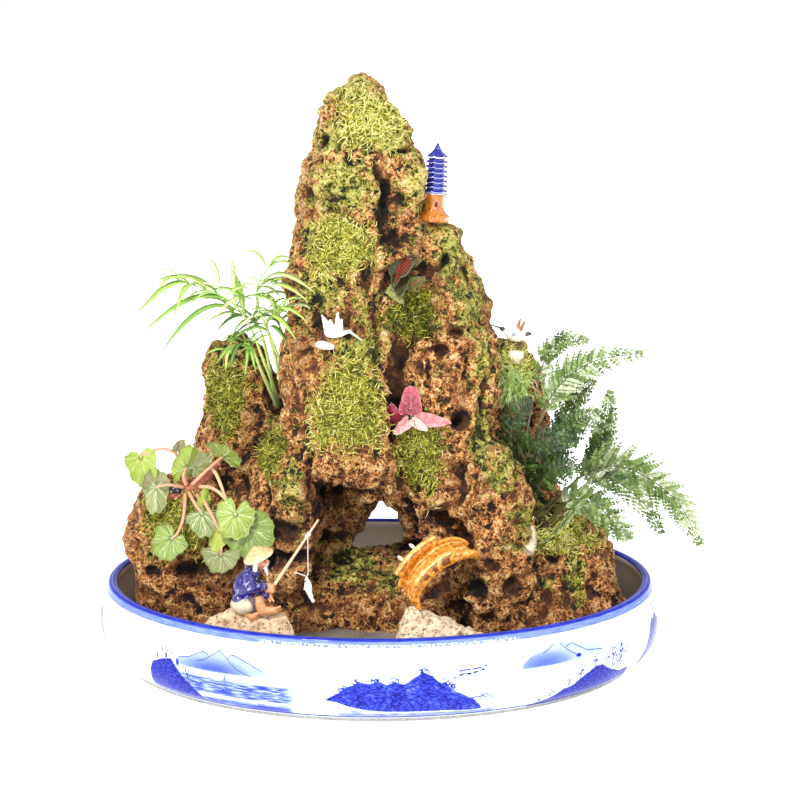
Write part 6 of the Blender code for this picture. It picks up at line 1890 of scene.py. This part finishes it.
fishermanSpec = dict(
    body=dict(
        soft=1.2, step=0.5712, room=((-102, -122, 54), (-61, -92, 92)),
        lumps=[
            ("robe", (-87.8, -105, 76.5), (8.6, 8.2, 12.2), 12), ("robe", (-84.2, -105, 86.3), (5.8, 7.2, 5.0)),
            ("robe", (-85.5, -111.5, 86.4), (-83.4, -114.5, 78.8), 3.8, 3.6),
            ("robe", (-83.4, -114.5, 78.8), (-75.8, -110, 78.2), 3.5, 2.7),
            ("robe", (-85, -98.5, 86), (-82, -96, 77), 3.7, 3.3),
            ("robe", (-82, -96, 77), (-75.2, -101.5, 77), 3.3, 2.5),
            ("robe", (-82, -105, 71.5), (-75, -108, 71.8), 3.4, 2.7), ("robe", (-92.5, -105, 69.5), (4.6, 7.6, 4.2)),
            ("blueGrey", (-75.4, -110, 78.2), (1.0, 2.7, 2.7)), ("cloth", (-91.2, -105, 64.8), (7.2, 8.8, 6.0)),
            ("cloth", (-90.5, -110.5, 64.5), (-86.5, -113, 66), 4.8, 4.2),
            ("cloth", (-90, -99.5, 64), (-84, -97, 65), 5.0, 4.0),
            ("shade", (-82.8, -112.8, 69.2), (-83.6, -112.8, 63.4), 2.9, 2.5),
            ("skin", (-79.6, -111, 68.6), (-76.6, -110.8, 62.4), 4.0, 3.5),
            ("skin", (-76.6, -110.8, 62.0), (-68.4, -110.8, 62.4), 3.1, 2.5),
            ("skin", (-80.5, -97.5, 66), (-81, -100, 60), 3.4, 2.4),
            ("skin", (-89.0, -109, 61.4), (-83.2, -111.4, 58.8), 2.5, 3.2),
            ("skin", (-69.2, -112.2, 63.4), (-64.9, -112.8, 65.4), 1.1, 0.8, 4, (1.0, -0.9), (1.4, -1.7)),
            ("skin", (-82.0, -112.6, 60.4), (-79.9, -113.0, 60.6), 1.0, 0.8, 3, (1.4, -1.6), (1.6, -2.0)),
            ("skin", (-73.8, -109.2, 79.6), (-69.8, -108.4, 78.8), 1.1, 0.9, 4, (0, -1.4), (0, -1.45)),
            ("skin", (-69.8, -108.4, 78.8), (-68.8, -105.4, 78.2), 0.9, 0.8, 4, (0, -1.45), (0, -1.4)),
            ("skin", (-72.4, -106.4, 77.0), (2.8, 3.4, 3.2)),
            ("skin", (-71.5, -106, 74), (-71.6, -105, 69.6), 1.6, 1.1),
            ("skin", (-73.5, -107.2, 71.4), (-71.6, -108, 67.6), 1.0, 0.8),
            ("skin", (-71.4, -106, 70.6), (-69.4, -107, 67.4), 0.9, 0.7),
        ],
    ),
    head=dict(
        soft=0.8, step=0.4624, room=((-92, -116, 80), (-64, -94, 108)),
        lumps=[
            # the face glaze is painted shade under the hat's brim
            ("face", (-78.4, -105, 94.0), (4.6, 4.4, 5.2)), ("robe", (-82, -105, 91), (-83, -105, 87), 3.0, 3.4),
            ("skin", (-74.6, -105, 95.6), (-72.9, -105, 94.0), 0.9, 1.15),
            ("eye", (-75.0, -108.3, 95.4), (0.7, 0.8, 0.6)),
            ("eye", (-75.0, -101.7, 95.4), (0.7, 0.8, 0.6)), ("skin", (-76.0, -108.4, 93.4), (1.7, 1.2, 1.6)),
            ("skin", (-79.0, -109.2, 95.6), (-79.4, -109.2, 93.6), 0.9, 0.7),
            ("hair", (-73.9, -106.8, 97.0), (-75.4, -109.0, 96.9), 0.75, 0.6),
            ("hair", (-73.9, -103.2, 97.0), (-75.4, -101.0, 96.9), 0.75, 0.6),
            ("hair", (-80.9, -109.4, 95.0), (-81.2, -109.8, 89.6), 1.9, 1.5),
            ("hair", (-82.8, -101.4, 96.5), (-83.4, -101, 90.2), 2.2, 1.3),
            ("shade", (-85, -105, 95), (-86.5, -105, 90.5), 3.2, 2.2),
            ("hair", (-74.9, -105.6, 90.6), (-74.0, -105.6, 87.8), 1.5, 1.15),
            ("hair", (-74.0, -105.6, 87.8), (-73.2, -105.6, 84.9), 1.1, 0.4),
            ("hair", (-73.2, -105.8, 92.4), (-74.4, -109.2, 91.2), 0.95, 0.6),
            ("hair", (-73.2, -104.2, 92.4), (-74.4, -101, 91.2), 0.95, 0.6),
        ],
    ),
    hat=dict(place=(-79.3, -105, 98.2), radius=10.4, height=6.6, thick=1.7, lean=(-22, 8)),
)


def strawHat():
    hat = fishermanSpec["hat"]
    radius, r = hat["radius"], np.linspace(0.02, 1, 14)
    high = hat["height"] * (1 - r**1.35) + 0.35 * np.sin(r * 20)
    ring = [(radius * a, b) for a, b in zip(r, high)] + [(radius * 1.02, -0.9), (radius * 0.97, -1.6)]
    ring += [(radius * a, b - hat["thick"]) for a, b in zip(r[::-1][1:], high[::-1][1:])]
    points, faces, ends = turnedOval(ring, 1.0, 40)
    back, side = hat["lean"]
    lean = np.array(Matrix.Rotation(math.radians(back), 3, "Y") @ Matrix.Rotation(math.radians(side), 3, "X"))
    colours = np.tile(tinted("hat"), (len(points), 1))
    colours[np.hypot(points[:, 0], points[:, 1]) > radius * 0.9] = tinted("brim")
    points = points * (1.0, 0.92, 1.0) + 0.35 * cloud(points, 4, 2)[:, None] * (0, 0, 1)
    return points @ lean.T + hat["place"], [faces[:, ::-1], [ends[0][::-1]], [ends[1][::-1]]], colours


def makeFisherman(look):
    points, faces, colours = moulded(fishermanSpec["body"])
    streaks = cloud(points @ np.array([[0.8, 0, 0.6], [0, 1, 0], [-0.6, 0, 0.8]]) * (2.0, 1.0, 0.7), 2.6, 6, 2)
    lit = rise(np.hypot(points[:, 0] + 82, points[:, 2] - 84), 11, 4)
    lit = lit + 0.35 * (np.hypot(points[:, 0] + 92, points[:, 2] - 70) < 8)
    onRobe = np.abs(colours[:, :3] - np.array(tinted("robe")[:3])).sum(1) < 0.06
    robeGlints = 0.85 * (np.clip((streaks - 0.22) * 5, 0, 1) * lit * onRobe)[:, None]  # painted highlight: pale glint streaks on the lit parts of the robe
    colours = colours * (1 - robeGlints) + np.array(tinted("paintedGlint")) * robeGlints
    parts = [(points, faces, colours), moulded(fishermanSpec["head"]), strawHat()]
    figurePiece("fisherman_figure", parts, look, "blue_glaze", ["fisherman"])
    print("fisherman made")


rodSpec = dict(start=(-71.6, -105, 74.0), end=(-39.4, -105, 122.6), radii=(1.22, 0.62), joint=0.07, places=40)


def makeRod(look):
    start, end = np.array(rodSpec["start"]), np.array(rodSpec["end"])
    count = rodSpec["places"]
    path = start + (end - start) * np.linspace(0, 1, count)[:, None]
    radius = np.linspace(*rodSpec["radii"], count) * (1 + rodSpec["joint"] * (np.arange(count) % 9 == 4))
    rod = tubes([path], [radius], 14)
    parts = [(rod[0], rod[1], tinted("brim"))]
    ahead = unit(end - start)
    across = unit(np.cross(ahead, (0, 1, 0)))
    for middle, turns in ((0.785, 5), (0.80, 3)):  # white thread wrapped round it
        a = np.linspace(0, 2 * math.pi * turns, turns * 18)
        spot = start + (end - start) * middle + ahead * np.linspace(-0.32, 0.32, len(a))[:, None] * turns
        wrap = spot + (across * np.cos(a)[:, None] + np.cross(ahead, across) * np.sin(a)[:, None]) * 1.08
        tube = tubes([wrap], [np.full(len(a), 0.30)], 6)
        parts.append((tube[0], tube[1], tinted("hair")))
    figurePiece("fishing_rod_stick", parts, look, "bamboo", ["fishing_rod"])
    print("rod made")


def rodLook(p):
    place, base = p.place(), p.shade("glaze")
    acrossIt, alongIt = place.axis(0) * 0.9 - place.axis(2) * 0.6, place.axis(2) * 0.08
    grain = p.node("CombineXYZ", {}, {0: acrossIt, 1: place.axis(1) * 1.2, 2: alongIt}).noise(0.8, 3)
    colour = base.mix(grain.step(0.45, 0.75) * 0.35, (0.45, 0.27, 0.12))
    colour = colour.mix(grain.step(0.5, 0.2) * 0.4, (0.90, 0.78, 0.58))
    return {"Base Color": colour, "Roughness": grain * 0.2 + 0.45, "Normal": p.bump(grain, 0.2)}


craneSpec = {  # where each stands, how far it comes out of the rock, then its parts; their y starts from there
    "flying_crane": dict(
        place=(-37, 228), proud=2.5, glaze="white_glaze",
        bird=dict(
            soft=0.9, step=0.4896, room=((-46, -9, 226), (-7, 9, 256)),
            lumps=[
                ("white", (-30.8, 0, 236.8), (6.4, 3.0, 3.9), -4),
                ("white", (-26, 0, 235.6), (-20.4, 0, 237.6), 1.9, 1.05),
                ("cream", (-20.0, 0, 237.5), (1.5, 1.2, 1.2)),
                ("cream", (-19.4, 0, 237.0), (-11.2, 0, 230.9), 0.95, 0.32),
                ("white", (-34.0, 0.8, 238.6), (-38.9, 2.8, 248.2), 3.6, 0.55, 0.32),
                ("white", (-32.6, 0.8, 239.6), (-33.2, 1.6, 244.6), 3.0, 1.0, 0.35),
                ("white", (-27.8, -0.8, 238.6), (-28.2, -2.4, 251.4), 3.0, 0.5, 0.32),
                ("white", (-26.6, -0.8, 239), (-25.4, -2, 245.6), 2.2, 0.9, 0.35),
                ("pink", (-27.6, -2.4, 250.4), (0.5, 0.4, 1.0)), ("white", (-35.6, 0, 236.9), (1.9, 1.6, 1.5)),
            ],
        ),
        wires=[
            (
                [
                    (-35.6, 1, 237.2), (-37.6, 1, 238.2), (-39.2, 1, 236.8), (-39.7, 1, 234), (-39.2, 1, 231.2),
                    (-38.2, 1, 228.8),
                ],
                0.5,
            ),
        ],
        plaster=dict(
            soft=1.2, step=0.5712, room=((-46, -7, 222), (-27, 9, 233)),
            lumps=[
                ("white", (-39.2, 1, 228.4), (4.2, 4.6, 2.6)), ("white", (-34.6, 1, 227.0), (4.6, 4.4, 2.4), 8),
                ("white", (-37, 2, 227.2), (5.6, 5, 2.4)),
            ],
        ),
    ),
    "standing_crane": dict(
        place=(98, 207), proud=3, glaze="white_glaze",
        bird=dict(
            soft=0.9, step=0.4624, room=((77, -8, 214), (111, 8, 237)),
            lumps=[
                ("cream", (97.2, 0, 222.8), (6.6, 3.4, 4.0), 12),
                ("cream", (92.6, 0, 223.0), (89.2, 0, 226.6), 2.0, 1.15),
                ("black", (88.0, 0, 228.2), (1.9, 1.5, 1.7)),
                ("wire", (86.6, 0, 228.9), (80.5, 0, 230.9), 0.75, 0.45),
                ("cream", (96.5, 1, 225.2), (99.3, 2.2, 230.4), 2.4, 1.0, 0.5),
                ("brown", (99.2, 2.2, 229.6), (100.8, 2.6, 234.6), 1.35, 0.75, 0.8),
                ("cream", (99.2, -1, 225), (101.6, -2, 229.8), 2.4, 1.0, 0.5),
                ("brown", (101.4, -2, 228.8), (103.7, -2.6, 233.9), 1.45, 0.8, 0.8),
                ("cream", (101.5, 0, 223.4), (104.6, 0, 224.2), 2.2, 1.5, 0.7),
                ("black", (105.4, 0, 224.4), (107.8, 0, 224.7), 1.6, 1.2, 0.9),
                ("blueGrey", (96.2, -3.0, 224.4), (1.3, 0.8, 1.3)),
            ],
        ),
        wires=[
            ([(101.6, 0, 221), (101.8, 0, 218.8), (100.4, 0, 215.6), (98.8, 0, 212.4), (98.2, 0, 209.6)], 0.8),
            ([(98.6, -0.4, 212.2), (97.8, -2.6, 211.4), (97.2, -3.6, 210.8)], 0.4),
            ([(98.6, -0.4, 212.2), (99.4, -2.8, 211.4), (100, -3.8, 210.6)], 0.4),
        ],
        plaster=dict(
            soft=1.0, step=0.5712, room=((90, -8, 200), (106, 8, 216)),
            lumps=[
                ("cream", (98, 0, 208.4), (5.7, 5.3, 4.4)), ("cream", (98, 0, 205.8), (4.0, 4.0, 3.6)),
                ("cream", (98, 0, 210.4), (5.2, 4.8, 1.8)),
            ],
        ),
    ),
}


def makeCranes(look):
    for name, spec in craneSpec.items():
        y = frontOf(*spec["place"])[0][1] - spec["proud"]
        figurePiece(name + "_bird", [moulded(spec["bird"], y)], look, spec["glaze"], [name + "_body"])
        wires = []
        for number, (line, radius) in enumerate(spec["wires"]):  # the leg, then any toes
            line = [(x, y + beside, z) for x, beside, z in line]
            path, sides = (line, 8) if number else (bent(line, 30), 10)
            wires.append((*tubes([path], [np.full(len(path), radius)], sides)[:2], tinted("wire")))
        figurePiece(name + "_wire", wires, look, "wire", [name + "_leg"])
        figurePiece(name + "_plaster", [moulded(spec["plaster"], y)], look, spec["glaze"], [name + "_foot"])
    print("cranes made")


pagodaSpec = dict(
    foot=(38.0, 8.0, 311.2), tiers=7, top=40.6, low=17.0, turns=96, lean=3,
    finial=[  # radius, height, glaze (0 blue, 1 white, 2 amber) and how six-sided
        (0.55, 55.2, 1, 0), (0.95, 54.0, 1, 0.3), (0.75, 52.4, 1, 0), (1.25, 51.4, 0.8, 0.5), (0.9, 50.2, 0, 0),
        (1.6, 49.0, 0, 0), (2.1, 48.0, 0.7, 0.4), (2.5, 46.8, 0, 0.3), (4.2, 44.4, 0, 0.6), (6.4, 42.4, 0.2, 0.9),
        (7.2, 41.8, 0.9, 1), (7.2, 41.2, 0.9, 1),
    ],
    tier=[  # the same for one tier, from its wall's radius and in shares of its height
        (-1.5, 0, 0, 0.3), (-1.5, 0.38, 0, 0.3), (-0.5, 0.52, 0, 0.7), (0.25, 0.74, 0.45, 1), (0.3, 0.86, 1, 1),
        (-1.3, 0.98, 0, 0.4),
    ],
    base=[
        (8.1, 16.4, 2, 0.9), (8.1, 15.2, 2, 0.9), (7.1, 14.2, 2, 0.5), (6.7, 11, 2, 0.4), (6.6, 8, 2, 0.4),
        (7.0, 5.2, 2, 0.4), (8.4, 3.0, 2, 0.6), (10.2, 1.4, 2, 0.9), (10.5, 0.2, 2, 1), (10.2, -1.6, 2, 1),
        (9.8, -3, 2, 1),
    ],
)


def pagodaLook(p):
    place, kind = p.place(), p.held("kind")
    mottle = place.noise(1.6, 3)
    stretched = p.node("CombineXYZ", {}, {0: place.axis(0) * 0.9, 1: place.axis(1) * 0.9, 2: place.axis(2) * 0.2})
    drip = stretched.noise(0.9, 3)
    blue = mottle.ramp((0.25, (0.010, 0.010, 0.16)), (0.55, (0.014, 0.016, 0.26)), (0.8, (0.09, 0.11, 0.52)))
    white = mottle.ramp((0.3, (0.42, 0.50, 0.80)), (0.6, (0.84, 0.86, 0.92)))
    amber = (drip * 0.7 + mottle * 0.3).ramp(
        (0.25, (0.17, 0.034, 0.003)), (0.5, (0.44, 0.135, 0.012)), (0.7, (0.66, 0.27, 0.035)),
        (0.85, (0.90, 0.70, 0.46)),
    )
    colour = blue.mix((kind - mottle * 0.25 + 0.1).step(0.5, 0.85), white)
    colour = colour.mix(kind.step(1.5, 1.9), amber).mix(kind.step(2.5, 2.9), (0.008, 0.006, 0.005))
    return {"Base Color": colour, "Roughness": mottle * 0.1 + 0.12, "Normal": p.bump(mottle, 0.25)}


def makePagoda():
    look = finish("tower_glaze", pagodaLook, Coat_Weight=0.5, Coat_Roughness=0.08)
    turns = pagodaSpec["turns"]
    a = np.arange(turns) * 2 * math.pi / turns
    tier = (pagodaSpec["top"] - pagodaSpec["low"]) / pagodaSpec["tiers"]
    rings = list(pagodaSpec["finial"])
    for i in range(pagodaSpec["tiers"]):
        z, half = pagodaSpec["top"] - i * tier, 7.1 + 0.6 * i / 6
        rings += [(half + out, z - tier * down, kind, corner) for out, down, kind, corner in pagodaSpec["tier"]]
    rings += pagodaSpec["base"]
    points, kinds = [], []
    for radius, z, kind, corner in rings:
        sector = (a + math.pi / 6) % (math.pi / 3) - math.pi / 6
        six = 1 / np.cos(sector) * 0.93
        reach = radius * (1 + (six - 1) * (0.35 + 0.65 * corner))
        lift = corner * 0.85 * (np.abs(sector) / (math.pi / 6)) ** 3 if kind < 1.5 else 0
        points.append(np.stack([reach * np.sin(a + 0.2), -reach * np.cos(a + 0.2), z + lift + a * 0], 1))
        kinds.append(np.full(turns, float(kind)))
    points, kinds = np.concatenate(points), np.concatenate(kinds)
    lumpy = unit(points * (1, 1, 0)) * (0.12 * cloud(points, 2.2, 4, 2))[:, None]
    points = points + lumpy
    faces = rows(len(rings), turns)[:, ::-1]
    ends = [list(range(turns)), list(range(len(points) - turns, len(points)))[::-1]]
    door = cloudBall((0.9, -6.25, 9.6), (1.15, 1.0, 2.0), 20, 12, 0.1)
    points, faces = gathered([(points, [faces, [ends[0]], [ends[1]]]), door])
    kinds = np.concatenate([kinds, np.full(len(door[0]), 3.0)])
    lean = np.array(Matrix.Rotation(math.radians(pagodaSpec["lean"]), 3, "Y"))
    points = points @ lean.T + np.array(pagodaSpec["foot"])
    piece("pagoda_tower", meshFrom("pagoda_tower", points, faces), look, "blue_glaze", ["pagoda"], kind=kinds)
    print("pagoda made")


bridgeSpec = dict(
    foot=(20.5, -78, 59.5), end=(64.5, -62, 89.3), up=(-0.4, -0.45, 0.8), rise=18.0, width=22.0, belly=2.0,
    # start, end and foot of the dark sheets on the near side, painted shade for its recesses
    hollows=((0.34, 0.385, -1.4), (0.44, 0.475, -2.6), (0.53, 0.60, -3.0)),
    strips=(  # pale strips along the deck, partly wear and partly painted highlight for the glaze's glints: place across it, start and end
        (-5.5, 0.12, 0.5), (-3.0, 0.55, 0.8), (1.0, 0.2, 0.46), (4.6, 0.28, 0.62), (6.2, 0.5, 0.86),
        (-1.4, 0.08, 0.22),
    ),
    steps=(0.13, 0.2, 0.3, 0.42, 0.56, 0.7, 0.84), posts=(0.335, 0.46),
    post=(1.2, 1.3, 1.35, 1.35, 1.35, 1.3, 1.1, 0.6),  # a pale post's radii from its foot up
)


def bridgeLook(p):
    place, pale = p.place(), p.held("pale")
    mottle, runs = place.noise(3.0, 3), place.noise(1.2, 2)
    # raised pieces are painted paler: partly glaze worn thin, partly painted highlight
    tone = mottle * 0.75 + runs * 0.55 - 0.16 + p.held("edge") * 0.24
    colour = tone.ramp(
        (0.22, (0.15, 0.028, 0.002)), (0.42, (0.56, 0.17, 0.012)), (0.60, (0.84, 0.34, 0.03)),
        (0.76, (0.95, 0.62, 0.26)), (0.92, (1.0, 0.92, 0.80)),
    )
    # below nought, pale paints a sheet near black: painted shade in the near side's recesses
    colour = colour.mix(pale.most(0.0), (0.88, 0.72, 0.54)).mix((0 - pale).most(0.0), (0.07, 0.018, 0.004))
    return {"Base Color": colour, "Roughness": mottle * 0.12 + 0.12, "Normal": p.bump(mottle + runs * 0.5, 0.9)}


def makeBridge():
    spec = bridgeSpec
    foot, end, up = (np.array(spec[key], float) for key in ("foot", "end", "up"))
    along, half, span = unit(end - foot), spec["width"] / 2, np.linalg.norm(end - foot)
    up = unit(up - along * (up @ along))
    across, middle = np.cross(up, along), (foot + end) / 2
    parts, edges, pales = [], [], []

    def arc(share, lift):  # a place on the arch, lifted off its deck
        angle = math.pi * share
        onward = span / 2 * -math.cos(angle) * (0.94 + 0.06 * abs(math.cos(angle)))
        spot = np.array([onward, spec["rise"] * math.sin(angle)])
        slope = np.array([span / 2 * math.sin(angle), spec["rise"] * math.cos(angle)])
        out = np.array([-slope[1], slope[0]]) / max(np.linalg.norm(slope), 1e-6)
        if share < 0.02 or share > 0.98:
            out = np.array([-0.85 if share < 0.5 else 0.85, 0.52])
        return spot + out * lift * 0.9 + (0, lift * 0.1)

    def slab(begin, end, sideLow, sideHigh, low, high, count=24, edge=0.0, pale=0.0, belly=0.0):
        rings = []
        inset = min(0.9, (sideHigh - sideLow) * 0.3, (high - low) * 0.3)
        outline = [
            (sideLow, low + inset), (sideLow, high - inset), (sideLow + inset, high), (sideHigh - inset, high),
            (sideHigh, high - inset), (sideHigh, low + inset), (sideHigh - inset, low), (sideLow + inset, low),
        ]
        for share in np.linspace(begin, end, count):
            wide = 1 + 0.3 * max(0, 1 - share / 0.14) - 1.4 * max(0, share - 0.8)
            for side, lift in outline:
                spot, side = arc(share, lift - belly * math.sin(math.pi * share) * (lift < 0)), side * wide
                rings.append(along * spot[0] + across * side + up * spot[1])
        points = np.array(rings)
        points += unit(points) * (0.14 * cloud(points, 3, 3, 2))[:, None] + middle
        faces = [rows(count, 8)[:, ::-1], [list(range(8))], [list(range(len(points) - 8, len(points)))[::-1]]]
        parts.append((points, faces))
        edges.append(np.full(len(points), edge))
        pales.append(np.full(len(points), pale))

    slab(0.0, 1.0, -half, half, -3.4, 0.0, 60, belly=spec["belly"])
    rails = (-half, 0.27, 0.64, 3.6), (half - 2.6, 0.24, 0.60, 6.0)  # the near one, then the taller far one
    for low, begin, end, high in rails:
        slab(0.10, begin + 0.02, low, low + 2.6, -1.0, 2.4, 20, 0.2)
        slab(end - 0.02, 0.97, low, low + 2.6, -1.0, 2.4, 20, 0.2)
        slab(begin, end, low + 0.3, low + 2.3, -1.0, high - 1, 30, 0.0)
        slab(begin - 0.02, end + 0.02, low - 0.5, low + 3.1, high - 0.2, high + 1.5, 30, 0.75)
        for share in (begin, (2 * begin + end) / 3, (begin + 2 * end) / 3, end):
            slab(share - 0.02, share + 0.02, low - 0.2, low + 2.8, -0.5, high, 5, 0.3)
    for begin, end, low in spec["hollows"]:  # each a dark sheet of painted shade, with the post beside it
        slab(begin, end, -half - 0.25, -half + 0.4, low, 1.9, 8, 0.0, -0.8)
        slab(end, end + 0.035, -half - 0.9, -half + 0.6, -4.6, 2.4, 5, 0.2)
    slab(0.72, 0.93, -half - 0.5, -half + 0.4, -2.4, 1.2, 10, 0.35)
    for side, begin, end in spec["strips"]:
        slab(begin, end, side - 0.5, side + 0.5, -0.4, 0.8, 12, 0.7)
    for share in spec["steps"]:  # worn steps across the deck
        slab(share - 0.01, share + 0.01, -half + 2.6, half - 2.6, -0.3, 0.45, 3, 0.4)
    for i, side in enumerate((-5, -3, 3.4, 6.4)):  # pale tread marks at the foot, partly painted highlight
        slab(0.035 + i % 2 * 0.02, 0.075 + i % 2 * 0.02, side - 0.45, side + 0.45, -0.3, 0.5, 3, 0.9)
    for share in spec["posts"]:  # two worn pale posts behind the far rail
        spot = arc(share, 4.0)
        foot = along * spot[0] + across * (half + 1) + up * spot[1] + middle
        path = foot + (up * 0.9 + across * 0.5 - along * 0.3) * np.linspace(0, 6.0, len(spec["post"]))[:, None]
        tube = tubes([path], [spec["post"]], 12)
        parts.append(tube[:2])
        edges.append(np.zeros(len(tube[0])))
        pales.append(np.full(len(tube[0]), 0.95))
    points, faces = gathered(parts)
    look = finish("amber_bridge_glaze", bridgeLook, Coat_Weight=0.6, Coat_Roughness=0.07)
    shades = dict(edge=np.concatenate(edges), pale=np.concatenate(pales))
    piece("bridge_arch", meshFrom("bridge_arch", points, faces), look, "amber_glaze", ["bridge"], **shades)
    print("bridge made")


makeFisherman(figureFinish)
makeRod(finish("bamboo_rod", rodLook))
makeCranes(figureFinish)
makePagoda()
makeBridge()


studioSpec = dict(
    floorHalf=60000, floorHeight=-0.4, horizon=1.0, above=0.70,
    # the last is how soft
    suns=(("key", 2.9, (48, 0, -26), 9), ("fill", 0.5, (62, 0, 48), 40), ("front", 0.7, (75, 0, 8), 25)),
)


def makeStudio():
    half, z = studioSpec["floorHalf"], studioSpec["floorHeight"]
    mesh = meshFrom(
        "floor", [(-half, -half, z), (half, -half, z), (half, half, z), (-half, half, z)], [[(0, 1, 2, 3)]],
    )
    floor = bpy.data.objects.new("floor", mesh)
    glow = dict(Emission_Color=(1.0, 1.0, 1.0), Emission_Strength=0.9)
    mesh.materials.append(finish("pale_floor", lambda p: {}, Base_Color=(0.93, 0.93, 0.93), Roughness=0.9, **glow))
    scene.collection.objects.link(floor)
    world = bpy.data.worlds.new("studio")
    world.use_nodes = True
    sky = Field(world.node_tree)
    low, high = ((value,) * 3 for value in (studioSpec["horizon"], studioSpec["above"]))
    glow = sky.node("TexCoord", {}, {}, 0).axis(2).ramp((0.02, low), (0.35, high))  # bright all round, softer above
    world.node_tree.links.new(glow.socket, world.node_tree.nodes["Background"].inputs[0])
    scene.world = world
    for name, power, turn, spread in studioSpec["suns"]:
        data = bpy.data.lights.new(name, "SUN")
        data.energy, data.angle = power, math.radians(spread)
        lamp = bpy.data.objects.new(name, data)
        lamp.rotation_euler = [math.radians(a) for a in turn]
        scene.collection.objects.link(lamp)
    scene.view_settings.view_transform = "Standard"


makeStudio()
print("floor and light made")
